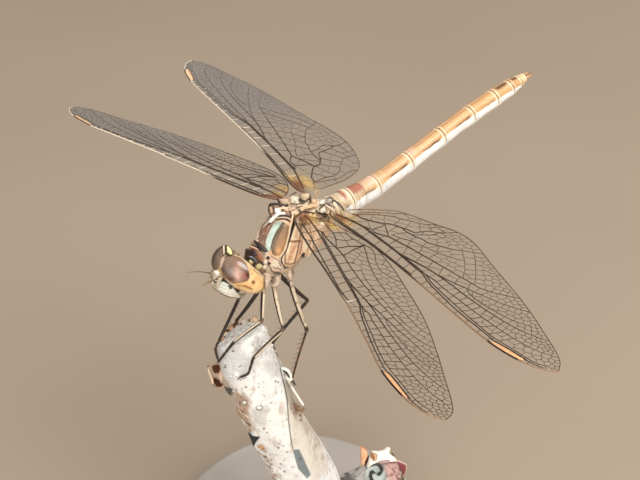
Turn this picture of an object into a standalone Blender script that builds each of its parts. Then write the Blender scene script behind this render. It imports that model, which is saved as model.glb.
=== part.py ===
"""A darter dragonfly at rest on the cut end of a bare twig, as a still, life-size display model.

Lengths are in millimetres in this file and are turned into metres where points are made.
Body frame: f forward, l to the insect's left, u up, measured from the point midway between the two
fore wing bases. World frame: +X is the insect's left, -Y its front, +Z up, with the origin at the
centre of the underside of the stand's base.
"""
import math

import bmesh
import bpy
from mathutils import Matrix, Vector

for old in list(bpy.data.objects):
    bpy.data.objects.remove(old, do_unlink=True)

# ---------------------------------------------------------------- driving dimensions (mm)
MM = 0.001
BODY_AT = (-3.0, 2.0, 47.0)          # world place of the point between the fore wing bases
GAP = 0.2                            # clear space kept between neighbouring pieces
FORE_WING = 28.75                    # length of a fore wing
HIND_WING = 27.4
WING_THICK = 0.5
PLATE_HALF = WING_THICK / 2
# wing bases (f, l, u); poses in degrees: sweep forward, rise, nose-up twist; then the bend of the tip and the
# droop of the rear edge, in mm
FORE_BASE = (0.0, 1.33, 0.0)
HIND_BASE = (-3.12, 1.74, -0.96)
WING_POSE = {
    "wing_fore_left": (24.2, 5.9, 19.7, 0.9, 0.0),
    "wing_fore_right": (17.2, -2.0, 19.2, 0.9, 0.0),
    "wing_hind_left": (6.9, 6.9, 12.7, -1.0, 0.62),
    "wing_hind_right": (-7.0, 4.9, 11.9, -1.0, -0.15),
}
# compound eye: centre, semi-axes (front, side, long), turns about f, l, u in degrees
EYE_AT = (6.59, 1.12, -3.68)
EYE_AXES = (1.36, 1.36, 2.27)
EYE_TURN = (52.0, 30.0, 12.5)
EYE_SEAM = 0.1                       # half of the slot between the two eyes
FACE_AT = (7.05, 0.0, -5.17)
FACE_AXES = (1.79, 1.75, 1.27)
FACE_PITCH = 31.0
SKULL_AT = (6.25, 0.0, -4.0)
SKULL_AXES = (1.25, 2.15, 1.95)
BASE_RADIUS = 15.0
BASE_THICK = 3.5
ROD_RADIUS = 1.0
TWIG_FOOT = 6.5                     # height of the twig's lower cut above the ground


def world(f, l, u):
    return Vector(((l + BODY_AT[0]) * MM, (-f + BODY_AT[1]) * MM, (u + BODY_AT[2]) * MM))


# ---------------------------------------------------------------- collections and materials
def new_collection(name):
    coll = bpy.data.collections.new(name)
    bpy.context.scene.collection.children.link(coll)
    return coll


PARTS = new_collection("dragonfly")
CUTTERS = new_collection("cutters")


def material(name, colour, rough, metal=0.0, alpha=1.0):
    mat = bpy.data.materials.new(name)
    mat.use_nodes = True
    bsdf = mat.node_tree.nodes["Principled BSDF"]
    bsdf.inputs["Base Color"].default_value = (*colour, 1.0)
    bsdf.inputs["Roughness"].default_value = rough
    bsdf.inputs["Metallic"].default_value = metal
    bsdf.inputs["Alpha"].default_value = alpha
    mat.diffuse_color = (*colour, 1.0)
    return mat


MAT = {
    "shell_tan": material("shell_tan", (0.50, 0.35, 0.20), 0.45),
    "shell_brown": material("shell_brown", (0.22, 0.11, 0.06), 0.45),
    "shell_pale": material("shell_pale", (0.80, 0.76, 0.62), 0.4),
    "abdomen_tan": material("abdomen_tan", (0.58, 0.36, 0.20), 0.4),
    "eye_brown": material("eye_brown", (0.22, 0.13, 0.09), 0.15),
    "wing_clear": material("wing_clear", (0.75, 0.72, 0.65), 0.2, 0.0, 0.25),
    "leg_dark": material("leg_dark", (0.06, 0.04, 0.03), 0.45),
    "bark": material("bark", (0.72, 0.72, 0.72), 0.85),
    "stand_plate": material("stand_plate", (0.62, 0.58, 0.52), 0.5),
    "stand_steel": material("stand_steel", (0.55, 0.55, 0.56), 0.3, 1.0),
}


# ---------------------------------------------------------------- mesh helpers
def finish(name, bm, mat, coll=PARTS, smooth=True):
    if bm.calc_volume(signed=True) < 0:
        bmesh.ops.reverse_faces(bm, faces=bm.faces[:])
    mesh = bpy.data.meshes.new(name)
    bm.to_mesh(mesh)
    bm.free()
    ob = bpy.data.objects.new(name, mesh)
    coll.objects.link(ob)
    mesh.materials.append(MAT[mat])
    if smooth:
        mesh.shade_smooth()
    if coll is CUTTERS:
        ob.hide_render = True
        ob.display_type = "WIRE"
    return ob


def cubic(points, t):
    """Catmull-Rom value at t (0 to 1 by index) through tuples of equal length."""
    n = len(points) - 1
    x = min(max(t, 0.0), 1.0) * n
    i = min(int(x), n - 1)
    k = x - i
    p0, p1, p2, p3 = (points[max(i - 1, 0)], points[i], points[i + 1], points[min(i + 2, n)])
    return tuple(
        0.5 * (2 * b + (c - a) * k + (2 * a - 5 * b + 4 * c - d) * k ** 2 + (3 * b - 3 * c + d - a) * k ** 3)
        for a, b, c, d in zip(p0, p1, p2, p3))


def loft(name, rings, mat, coll=PARTS):
    """Closed body through rings of equal count, with flat ends."""
    bm = bmesh.new()
    rows = [[bm.verts.new(p) for p in ring] for ring in rings]
    n = len(rows[0])
    for low, high in zip(rows, rows[1:]):
        for i in range(n):
            bm.faces.new((low[i], low[(i + 1) % n], high[(i + 1) % n], high[i]))
    bm.faces.new(reversed(rows[0]))
    bm.faces.new(rows[-1])
    return finish(name, bm, mat, coll)


def body_ring(f, u, half_w, half_h, sides=16, power=2.0, egg=0.0, lean=0.0, grow=0.0):
    """Ring across the body: rounded section, wider below when egg is above zero, leant back by lean."""
    ring = []
    for i in range(sides):
        a = 2 * math.pi * (i + 0.5) / sides
        c, s = math.cos(a), math.sin(a)
        cl = math.copysign(abs(c) ** (2 / power), c)
        su = math.copysign(abs(s) ** (2 / power), s)
        l = (half_w + grow) * cl * (1 - egg * su)
        h = (half_h + grow) * su
        ring.append(world(f - lean * h, l, u + h))
    return ring


def cut(ob, cutter, mode="DIFFERENCE"):
    mod = ob.modifiers.new("cut_" + cutter.name, "BOOLEAN")
    mod.operation = mode
    mod.solver = "EXACT"
    mod.object = cutter


def tube(name, points, radii, mat, coll=PARTS, sides_level=2):
    """Round tapering limb through body-frame points."""
    curve = bpy.data.curves.new(name, "CURVE")
    curve.dimensions = "3D"
    curve.bevel_depth = MM
    curve.bevel_resolution = sides_level
    curve.use_fill_caps = True
    line = curve.splines.new("POLY")
    line.points.add(len(points) - 1)
    for p, at, r in zip(line.points, points, radii):
        p.co = (*world(*at), 1.0)
        p.radius = r
    curve.materials.append(MAT[mat])
    ob = bpy.data.objects.new(name, curve)
    coll.objects.link(ob)
    return ob


# ---------------------------------------------------------------- head
def ellipsoid(name, at, axes, turn, mat, coll=PARTS, grow=0.0, u_seg=20, v_seg=12, seam=None):
    """Ellipsoid in the body frame; seam cuts it flat at that distance from the mid-plane."""
    bm = bmesh.new()
    bmesh.ops.create_uvsphere(bm, u_segments=u_seg, v_segments=v_seg, radius=1.0)
    rx, ry, rz = (math.radians(t) for t in turn)
    rot = Matrix.Rotation(rz, 3, "Z") @ Matrix.Rotation(ry, 3, "Y") @ Matrix.Rotation(rx, 3, "X")
    side = -1.0 if at[1] < 0 else 1.0
    for v in bm.verts:
        p = rot @ Vector([c * (a + grow) for c, a in zip(v.co, axes)])
        v.co = world(p.x + at[0], side * (p.y + abs(at[1])), p.z + at[2])
    if seam is not None:
        bmesh.ops.bisect_plane(bm, geom=bm.verts[:] + bm.edges[:] + bm.faces[:], dist=1e-7,
                               plane_co=world(0, side * seam, 0), plane_no=Vector((-side, 0, 0)),
                               clear_outer=True)
        bmesh.ops.holes_fill(bm, edges=[e for e in bm.edges if e.is_boundary], sides=0)
    return finish(name, bm, mat, coll)


def mirrored(at):
    return (at[0], -at[1], at[2])


eye_left = ellipsoid("eye_left", EYE_AT, EYE_AXES, EYE_TURN, "eye_brown", seam=EYE_SEAM)
eye_right = ellipsoid("eye_right", mirrored(EYE_AT), EYE_AXES, EYE_TURN, "eye_brown", seam=EYE_SEAM)
room_left = ellipsoid("room_left", EYE_AT, EYE_AXES, EYE_TURN, "eye_brown", CUTTERS, grow=0.15)
room_right = ellipsoid("room_right", mirrored(EYE_AT), EYE_AXES, EYE_TURN, "eye_brown", CUTTERS, grow=0.15)
face = ellipsoid("face", FACE_AT, FACE_AXES, (0, -FACE_PITCH, 0), "shell_pale")
face_room = ellipsoid("face_room", FACE_AT, FACE_AXES, (0, -FACE_PITCH, 0), "shell_pale", CUTTERS, grow=0.15)
skull = ellipsoid("head", SKULL_AT, SKULL_AXES, (0, 0, 0), "shell_tan")
for ob in (face, skull):
    cut(ob, room_left)
    cut(ob, room_right)
cut(skull, face_room)

VERTEX_AT = (8.25, 0.0, -3.35)       # swollen bump between eyes and face, which carries the antennae
vertex = ellipsoid("vertex", VERTEX_AT, (0.42, 0.5, 0.45), (0, -25, 0), "shell_pale", u_seg=12, v_seg=8)
bump_room = ellipsoid("bump_room", VERTEX_AT, (0.42, 0.5, 0.45), (0, -25, 0), "shell_pale", CUTTERS, grow=0.12,
                      u_seg=12, v_seg=8)
cut(vertex, room_left)
cut(vertex, room_right)
cut(face, bump_room)
cut(skull, bump_room)
for side, tag in ((1, "left"), (-1, "right")):
    tube("antenna_" + tag, [(8.75, 0.42 * side, -3.2), (9.4, 0.75 * side, -2.9), (10.6, 1.15 * side, -2.75)],
         [0.25, 0.25, 0.25], "leg_dark")

# ---------------------------------------------------------------- prothorax and thorax
NECK = [  # f, u, half width, half height
    (5.0, -4.0, 0.5, 0.6), (4.75, -3.75, 0.85, 1.1), (4.4, -3.5, 1.0, 1.35), (4.2, -3.45, 0.95, 1.3)]
loft("prothorax", [body_ring(f, u, w, h, 14) for f, u, w, h in NECK], "shell_brown")

THORAX = [  # f, top, bottom, half width
    (4.0, -2.0, -5.0, 0.85), (3.7, -1.75, -5.8, 1.25), (3.1, -1.3, -6.3, 1.65), (2.3, -0.75, -6.6, 1.95),
    (1.5, -0.15, -6.7, 2.15), (0.4, -0.05, -6.4, 2.3), (-0.8, -0.1, -5.55, 2.25), (-2.0, -0.3, -4.8, 2.1),
    (-3.0, -0.7, -4.3, 1.85), (-3.7, -1.05, -4.0, 1.5)]


def thorax_rings(grow=0.0):
    rings = []
    for f, top, low, w in THORAX:
        rings.append(body_ring(f, (top + low) / 2, w, (top - low) / 2, 20, 2.2, 0.2, 0.0, grow))
    return rings


loft("thorax", thorax_rings(), "shell_tan")
thorax_room = loft("thorax_room", thorax_rings(GAP + 0.05), "shell_tan", CUTTERS)

# ---------------------------------------------------------------- abdomen
# joints along the axis: f, u, half width, half height
JOINTS = [
    (-3.95, -2.7, 1.25, 1.45), (-4.75, -2.65, 1.34, 1.52), (-6.57, -2.5, 1.25, 1.4), (-9.97, -2.22, 1.08, 1.16),
    (-14.22, -1.22, 1.0, 1.03), (-18.54, -0.08, 0.97, 0.98), (-22.52, 0.87, 0.97, 0.98), (-25.81, 1.52, 0.95, 0.95),
    (-28.15, 1.93, 0.86, 0.87), (-29.55, 2.2, 0.68, 0.66), (-30.4, 2.38, 0.48, 0.45)]


def abdomen_ring(x, grow=0.0, sides=16):
    """Ring at joint number x, where x may lie between joints; a joint is a little wider than the middle."""
    f, u, w, h = cubic(JOINTS, x / (len(JOINTS) - 1))
    waist = 1.0 - 0.04 * math.sin(math.pi * (x % 1.0)) ** 2
    ahead = cubic(JOINTS, (x - 0.05) / (len(JOINTS) - 1))
    behind = cubic(JOINTS, (x + 0.05) / (len(JOINTS) - 1))
    lean = (behind[1] - ahead[1]) / max(ahead[0] - behind[0], 1e-6)
    return body_ring(f, u, w * waist, h * waist, sides, 2.15, 0.05, -lean, grow)


for k in range(10):
    span = JOINTS[k][0] - JOINTS[k + 1][0]
    trim = GAP / 2 / span
    count = 4 if span > 2 else 3
    rings = [abdomen_ring(k + trim + (1 - 2 * trim) * i / (count - 1)) for i in range(count)]
    loft("abdomen_%02d" % (k + 1), rings, "abdomen_tan")
belly_room = loft("belly_room", [abdomen_ring(x * 0.5, 0.25) for x in range(7)], "abdomen_tan", CUTTERS)
for side, tag in ((1, "left"), (-1, "right")):
    tube("cercus_" + tag, [(-30.6, 0.3 * side, 2.52), (-31.2, 0.36 * side, 2.62), (-31.9, 0.3 * side, 2.6)],
         [0.25, 0.27, 0.18], "shell_brown")

# ---------------------------------------------------------------- wings
# outlines as fractions of the wing's length: (along, across), leading edge and trailing edge, base to tip
FORE_FRONT = [(0.0, 0.0), (0.035, 0.028), (0.08, 0.037), (0.16, 0.034), (0.24, 0.028), (0.32, 0.018), (0.42, 0.009),
              (0.49, 0.005), (0.56, 0.004), (0.70, 0.008), (0.82, 0.012), (0.93, -0.010), (0.985, -0.048), (1.0, -0.085)]
FORE_BACK = [(0.015, -0.036), (0.05, -0.106), (0.13, -0.190), (0.25, -0.218), (0.40, -0.222), (0.55, -0.216),
             (0.70, -0.19), (0.82, -0.163), (0.92, -0.138), (0.97, -0.118), (1.0, -0.085)]
HIND_FRONT = [(0.0, 0.0), (0.03, 0.021), (0.08, 0.025), (0.16, 0.018), (0.25, 0.011), (0.35, 0.010), (0.45, 0.013),
              (0.65, 0.020), (0.82, 0.018), (0.92, -0.004), (0.98, -0.045), (1.0, -0.08)]
HIND_BACK = [(0.012, -0.07), (0.04, -0.20), (0.09, -0.285), (0.17, -0.325), (0.26, -0.342), (0.36, -0.330),
             (0.48, -0.292), (0.62, -0.25), (0.76, -0.205), (0.88, -0.16), (0.96, -0.122), (1.0, -0.08)]


def wing_frame(name):
    sweep, rise, twist, bend, droop = WING_POSE[name]
    sg, de, ta = math.radians(sweep), math.radians(rise), math.radians(twist)
    along = Vector((math.sin(sg) * math.cos(de), math.cos(sg) * math.cos(de), math.sin(de)))
    level = Vector((math.cos(sg), -math.sin(sg), 0.0))
    lift = level.cross(along)
    across = level * math.cos(ta) + lift * math.sin(ta)
    normal = across.cross(along)
    return along, across, normal, bend, droop


def wing_point(name, x, y, z=0.0):
    """Point x along and y across the wing (mm), z above its plane, in the body frame."""
    length = FORE_WING if "fore" in name else HIND_WING
    base = FORE_BASE if "fore" in name else HIND_BASE
    side = 1 if "left" in name else -1
    along, across, normal, bend, droop = wing_frame(name)
    sag = droop * (y / (0.32 * length)) ** 2 * math.exp(-((x / length - 0.11) / 0.15) ** 2)
    p = Vector(base) + along * x + across * y + normal * (z + bend * (x / length) ** 2 - sag)
    return (p.x, side * p.y, p.z)


def wing(name, columns=18, rows=4):
    length = FORE_WING if "fore" in name else HIND_WING
    front, back = (FORE_FRONT, FORE_BACK) if "fore" in name else (HIND_FRONT, HIND_BACK)
    bm = bmesh.new()
    bmesh.ops.create_grid(bm, x_segments=columns, y_segments=rows, size=1.0)
    for v in bm.verts:
        s, t = (v.co.x + 1) / 2, (v.co.y + 1) / 2
        s = 0.97 * s + 0.004
        a, b = cubic(front, s), cubic(back, s)
        v.co = world(*wing_point(name, (a[0] + (b[0] - a[0]) * t) * length, (a[1] + (b[1] - a[1]) * t) * length))
    ob = finish(name, bm, "wing_clear")
    shell = ob.modifiers.new("thickness", "SOLIDIFY")
    shell.thickness = WING_THICK * MM
    shell.offset = 0.0
    cut(ob, thorax_room)
    if "hind" in name:
        cut(ob, belly_room)
    return ob


for name in WING_POSE:
    wing(name)

# ---------------------------------------------------------------- legs
# hip, knee and ankle, then the toes' points, all (f, l, u); femur, tibia and tarsus radii
LEGS = {
    "fore_left": ((4.0, 0.75, -6.9), (6.05, 3.2, -8.15), (8.43, 1.9, -10.35), [(9.4, 0.85, -12.8)]),
    "mid_left": ((3.0, 0.95, -7.2), (4.73, 4.62, -8.93), (7.06, 2.97, -12.3), [(7.67, 2.92, -14.05),
                                                                           (8.3, 2.45, -14.45)]),
    "hind_left": ((1.3, 1.1, -7.1), (0.95, 3.23, -12.25), (3.0, 3.40, -17.51), [(2.1, 2.6, -19.3)]),
    "fore_right": ((3.9, -0.75, -6.9), (5.05, -1.83, -9.39), (8.0, -0.65, -11.5), [(8.65, -1.0, -13.2),
                                                                            (8.85, -0.3, -13.9)]),
    "mid_right": ((2.95, -0.6, -7.7), (5.46, -1.9, -12.05), (4.9, -3.35, -15.3), [(5.3, -3.2, -17.4)]),
    "hind_right": ((1.5, -1.0, -7.1), (-1.55, 0.27, -11.95), (2.85, 0.1, -15.2), [(2.2, -0.1, -17.3)]),
}
LEG_SIZE = {"fore": (0.30, 0.25, 0.25), "mid": (0.32, 0.25, 0.25), "hind": (0.34, 0.25, 0.25)}


def towards(a, b, d):
    a, b = Vector(a), Vector(b)
    return tuple(a + (b - a).normalized() * d)


for tag, (hip, knee, ankle, toes) in LEGS.items():
    rf, rt, rs = LEG_SIZE[tag.split("_")[0]]
    side = 1 if "left" in tag else -1
    coxa = (hip[0] - 0.1, hip[1] - 0.25 * side, hip[2] + 0.35)
    tube("femur_" + tag, [hip, towards(hip, knee, 0.8), towards(knee, hip, 0.4)], [rf, rf * 1.1, rf * 0.85], "leg_dark")
    tube("tibia_" + tag, [towards(knee, ankle, 0.4), towards(ankle, knee, 0.35)], [rt, rt], "leg_dark")
    line = [towards(ankle, toes[0], 0.35)] + toes
    tube("tarsus_" + tag, line, [rs] * len(line), "leg_dark")

# ---------------------------------------------------------------- twig
# axis of the twig: f, l, u and radius
TWIG = [
    (6.12, 0.44, -13.3, 2.32), (5.90, 0.49, -14.8, 2.52), (5.35, 0.62, -17.0, 2.75), (4.70, 0.87, -20.2, 2.85),
    (3.86, 1.20, -23.78, 2.95), (2.55, 1.60, -28.0, 3.15), (1.3, 1.95, -32.4, 3.4), (0.35, 2.25, -36.4, 3.6),
    (-0.2, 2.4, -40.5, 3.7)]
TOP_AT = (6.32, 0.40, -11.25, 2.15)  # middle and radius of the pruned top
TOP_TILT = (-0.31, 0.65)             # rise of the cut per mm forward and per mm to the left
STUB = [                             # side shoot, cut off short: f, l, u, radius
    (0.2, 2.5, -38.9, 1.6), (-2.6, 3.7, -39.0, 1.35), (-6.2, 5.1, -38.1, 2.0), (-9.5, 6.55, -37.6, 2.15)]
# loose flake of bark standing off the front right of the twig: corners f, l, u
FLAKE = [(7.6, -1.2, -15.6), (8.95, -2.05, -15.9), (8.8, -2.0, -17.1), (8.15, -1.6, -18.2), (7.6, -1.25, -17.9)]
FLAKE_THICK = 0.5


def lumpy(a, x, depth):
    return 1 + depth * (math.sin(3 * a + 5 * x) + 0.7 * math.sin(5 * a - 9 * x + 1))


def twig_ring(x, sides=18, grow=0.0):
    f, l, u, r = cubic(TWIG, x)
    angles = [2 * math.pi * i / sides for i in range(sides)]
    return [(f + (r + grow) * lumpy(a, x, 0.03) * math.cos(a), l + (r + grow) * lumpy(a, x, 0.03) * math.sin(a), u)
            for a in angles]


def twig(name, coll, grow=0.0):
    rings = [twig_ring(i / 17, grow=grow) for i in range(18)]
    tf, tl, tu, tr = TOP_AT
    f0, l0, u0, r0 = TWIG[0]
    rim, crown = [], []
    for f, l, u in rings[0]:
        for ring, k, rise in ((rim, tr / r0, 0.0), (crown, 0.72 * tr / r0, 0.16)):
            pf, pl = tf + (f - f0) * k, tl + (l - l0) * k
            ring.append((pf, pl, tu + TOP_TILT[0] * (pf - tf) + TOP_TILT[1] * (pl - tl) + rise))
    return loft(name, [[world(*p) for p in reversed(ring)] for ring in [crown, rim] + rings], "bark", coll)


twig("perch_twig", PARTS)
twig_room = twig("twig_room", CUTTERS, GAP)


def limb_rings(path, count, sides=14, depth=0.03):
    """Rings square to a path of (f, l, u, radius) in the body frame."""
    rings = []
    for j in range(count):
        x = j / (count - 1)
        f, l, u, r = cubic(path, x)
        a, b = cubic(path, x - 0.02), cubic(path, x + 0.02)
        axis = Vector([q - p for p, q in zip(a[:3], b[:3])]).normalized()
        one = axis.cross(Vector((0, 0, 1))).normalized()
        two = axis.cross(one)
        ring = []
        for i in range(sides):
            t = 2 * math.pi * i / sides
            k = r * lumpy(t, x, depth)
            p = Vector((f, l, u)) + (one * math.cos(t) + two * math.sin(t)) * k
            ring.append(world(*p))
        rings.append(ring)
    return rings


stub = loft("perch_stub", limb_rings(STUB, 7), "bark")
cut(stub, twig_room)

inner = [Vector(p) for p in FLAKE]
square = (inner[1] - inner[0]).cross(inner[-1] - inner[0]).normalized() * FLAKE_THICK
flake = loft("perch_flake", [[world(*p) for p in inner], [world(*(p + square)) for p in inner]], "bark")
cut(flake, twig_room)

# ---------------------------------------------------------------- stand
bpy.ops.mesh.primitive_cylinder_add(vertices=64, radius=BASE_RADIUS * MM, depth=BASE_THICK * MM,
                                    location=(0, 0, BASE_THICK * MM / 2))
base = bpy.context.active_object
base.name = "stand_base"
base.data.materials.append(MAT["stand_plate"])
for coll in list(base.users_collection):
    coll.objects.unlink(base)
PARTS.objects.link(base)
edge = base.modifiers.new("soft_rim", "BEVEL")
edge.width = 0.5 * MM
edge.segments = 2
edge.limit_method = "ANGLE"

f1, l1, u1, r1 = TWIG[-1]
rod_top = TWIG_FOOT - 0.3
rod_low = BASE_THICK + 0.3
at = world(f1, l1, 0)
bpy.ops.mesh.primitive_cylinder_add(vertices=20, radius=ROD_RADIUS * MM, depth=(rod_top - rod_low) * MM,
                                    location=(at.x, at.y, (rod_top + rod_low) / 2 * MM))
rod = bpy.context.active_object
rod.name = "stand_rod"
rod.data.materials.append(MAT["stand_steel"])
for coll in list(rod.users_collection):
    coll.objects.unlink(rod)
PARTS.objects.link(rod)
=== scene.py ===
"""Looks of the dragonfly: shell, eyes, veined wings, striped legs, bark and stand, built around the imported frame.

Lengths are in millimetres until a point is handed to Blender. Body frame: f forward, l to the insect's
left, u up, from the point midway between the fore wing bases; the frame's own boxes give its place.
"""

import math
import random

import bpy
import numpy as np
from mathutils import Matrix, Vector, geometry


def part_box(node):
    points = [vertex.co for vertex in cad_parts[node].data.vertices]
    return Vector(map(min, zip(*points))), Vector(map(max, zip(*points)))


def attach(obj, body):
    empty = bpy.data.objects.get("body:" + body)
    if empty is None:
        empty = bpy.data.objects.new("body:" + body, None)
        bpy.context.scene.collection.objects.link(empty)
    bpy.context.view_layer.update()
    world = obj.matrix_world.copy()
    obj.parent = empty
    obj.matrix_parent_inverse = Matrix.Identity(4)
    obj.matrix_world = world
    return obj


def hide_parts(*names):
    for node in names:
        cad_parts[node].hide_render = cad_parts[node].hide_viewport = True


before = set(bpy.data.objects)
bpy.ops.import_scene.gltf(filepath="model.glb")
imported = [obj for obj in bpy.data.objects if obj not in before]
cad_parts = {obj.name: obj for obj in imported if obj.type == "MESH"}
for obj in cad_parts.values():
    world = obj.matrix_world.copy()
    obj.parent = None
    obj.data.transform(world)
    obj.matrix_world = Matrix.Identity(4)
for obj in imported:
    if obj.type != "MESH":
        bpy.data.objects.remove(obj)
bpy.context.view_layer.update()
MM = 0.001
_lo, _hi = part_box("thorax")
_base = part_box("stand_base")
AT = np.array([(_lo.x + _hi.x) / 2 / MM, _lo.y / MM + 4.0, _base[0].z / MM + 47.0])
rng = np.random.default_rng(7)


def W(p):
    """Body-frame points (f, l, u) in mm to world metres."""
    p = np.asarray(p, float)
    return np.stack([p[..., 1] + AT[0], AT[1] - p[..., 0], p[..., 2] + AT[2]], -1) * MM


# ================================================================ colour helpers
def lin(c):
    c = np.asarray(c, float) / 255.0
    return np.where(c <= 0.04045, c / 12.92, ((c + 0.055) / 1.055) ** 2.4)


def step(a, b, x):
    t = np.clip((np.asarray(x, float) - a) / (b - a), 0, 1)
    return t * t * (3 - 2 * t)


def paint(base, colour, mask):
    m = np.clip(mask, 0, 1)[..., None]
    return base * (1 - m) + lin(colour) * m


def bump1(x, centre, width):
    return np.exp(-((np.asarray(x, float) - centre) / width) ** 2)


def near_line(px, py, line):
    """Distance from points to a polyline, and how far along it (0 to 1) the closest place is."""
    line = np.asarray(line, float)
    best = np.full(np.shape(px), 1e9)
    where = np.zeros(np.shape(px))
    n = len(line) - 1
    for i in range(n):
        a, b = line[i], line[i + 1]
        d = b - a
        t = np.clip(((px - a[0]) * d[0] + (py - a[1]) * d[1]) / max(d @ d, 1e-12), 0, 1)
        dist = np.hypot(px - a[0] - t * d[0], py - a[1] - t * d[1])
        closer = dist < best
        best = np.where(closer, dist, best)
        where = np.where(closer, (i + t) / n, where)
    return best, where


def inside(px, py, poly):
    poly = np.asarray(poly, float)
    hit = np.zeros(np.shape(px), bool)
    j = len(poly) - 1
    for i in range(len(poly)):
        xi, yi, xj, yj = *poly[i], *poly[j]
        if yi != yj:
            hit ^= ((yi > py) != (yj > py)) & (px < (xj - xi) * (py - yi) / (yj - yi) + xi)
        j = i
    return hit


def area(px, py, poly, soft=0.05):
    """1 inside a polygon, 0 outside, with a soft edge."""
    d, _ = near_line(px, py, list(poly) + [poly[0]])
    s = np.where(inside(px, py, poly), d, -d)
    return step(-soft, soft, s)


def wave(x, seed, count=4):
    """Smooth wobble of about unit size made of a few sines."""
    r = np.random.default_rng(seed)
    out = np.zeros(np.shape(x))
    for k in range(1, count + 1):
        out = out + math.sqrt(1 / k) * np.sin(np.asarray(x) * k * (1 + 0.3 * r.random()) + 6.28 * r.random())
    return out / 1.6


def catmull(points, t):
    """Smooth curve through rows of points; t from 0 to 1 by index."""
    p = np.asarray(points, float)
    n = len(p) - 1
    x = np.clip(np.asarray(t, float), 0, 1) * n
    i = np.minimum(x.astype(int), n - 1)
    k = (x - i)[..., None]
    a, b, c, d = p[np.maximum(i - 1, 0)], p[i], p[i + 1], p[np.minimum(i + 2, n)]
    return 0.5 * (2 * b + (c - a) * k + (2 * a - 5 * b + 4 * c - d) * k ** 2 + (3 * b - 3 * c + d - a) * k ** 3)


# ================================================================ materials
def new_material(name):
    m = bpy.data.materials.new(name)
    m.use_nodes = True
    nt = m.node_tree
    return m, nt, nt.nodes["Principled BSDF"]


def node(nt, kind, **values):
    n = nt.nodes.new(kind)
    for k, v in values.items():
        if k in n.inputs:
            n.inputs[k].default_value = v
        else:
            setattr(n, k, v)
    return n


def mix_rgb(nt, a, b, fac, mode="MIX"):
    n = nt.nodes.new("ShaderNodeMix")
    n.data_type = "RGBA"
    n.blend_type = mode
    n.clamp_factor = True
    for sock, val in (("Factor", fac), ("A", a), ("B", b)):
        s = [i for i in n.inputs if i.name == sock and (i.type == "RGBA" or sock == "Factor")][0]
        if isinstance(val, bpy.types.NodeSocket):
            nt.links.new(val, s)
        elif sock == "Factor":
            s.default_value = val
        else:
            s.default_value = (*val, 1.0) if len(val) == 3 else val
    return [o for o in n.outputs if o.type == "RGBA"][0]


def ramp(nt, value, stops):
    n = nt.nodes.new("ShaderNodeValToRGB")
    el = n.color_ramp.elements
    while len(el) < len(stops):
        el.new(0.5)
    for e, (p, c) in zip(el, stops):
        e.position = p
        e.color = (c, c, c, 1) if isinstance(c, (int, float)) else (*c, 1)
    nt.links.new(value, n.inputs["Fac"])
    return n.outputs["Color"]


def shell_material(name, rough=0.42, spot=0.12, grain=9000.0, bump=0.25, coat=0.0, pits=14000.0, sss=0.0):
    """Painted by the vertex colours, with fine mottling, uneven gloss and a leathery bump."""
    m, nt, b = new_material(name)
    at = node(nt, "ShaderNodeAttribute", attribute_name="Col")
    tc = nt.nodes.new("ShaderNodeTexCoord")
    n1 = node(nt, "ShaderNodeTexNoise", Scale=grain, Detail=3.0, Roughness=0.6)
    n2 = node(nt, "ShaderNodeTexNoise", Scale=grain * 0.22, Detail=2.0, Roughness=0.5)
    for n in (n1, n2):
        nt.links.new(tc.outputs["Object"], n.inputs["Vector"])
    k1 = ramp(nt, n1.outputs["Fac"], [(0.3, 1 - spot), (0.7, 1 + spot * 0.4)])
    k2 = ramp(nt, n2.outputs["Fac"], [(0.35, 1 - spot * 0.8), (0.65, 1.0)])
    c = mix_rgb(nt, at.outputs["Color"], k1, 1.0, "MULTIPLY")
    c = mix_rgb(nt, c, k2, 1.0, "MULTIPLY")
    nt.links.new(c, b.inputs["Base Color"])
    r = nt.nodes.new("ShaderNodeMapRange")
    r.inputs["To Min"].default_value = rough - 0.09
    r.inputs["To Max"].default_value = rough + 0.12
    nt.links.new(n2.outputs["Fac"], r.inputs["Value"])
    nt.links.new(r.outputs["Result"], b.inputs["Roughness"])
    v = node(nt, "ShaderNodeTexVoronoi", Scale=pits)
    nt.links.new(tc.outputs["Object"], v.inputs["Vector"])
    bp = node(nt, "ShaderNodeBump", Strength=bump, Distance=0.00003)
    nt.links.new(v.outputs["Distance"], bp.inputs["Height"])
    nt.links.new(bp.outputs["Normal"], b.inputs["Normal"])
    b.inputs["Coat Weight"].default_value = coat
    b.inputs["Coat Roughness"].default_value = 0.18
    b.inputs["Subsurface Weight"].default_value = sss
    b.inputs["Subsurface Radius"].default_value = (0.0004, 0.0002, 0.0001)
    return m


MAT_SHELL = shell_material("shell", 0.40, 0.16, 9000, 0.25, 0.12)
MAT_ABDOMEN = shell_material("abdomen_shell", 0.38, 0.14, 7000, 0.22, 0.15)
MAT_FACE = shell_material("face_shell", 0.34, 0.08, 9000, 0.12, 0.25)
MAT_LEG = shell_material("leg_shell", 0.38, 0.14, 12000, 0.2, 0.1)


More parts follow.
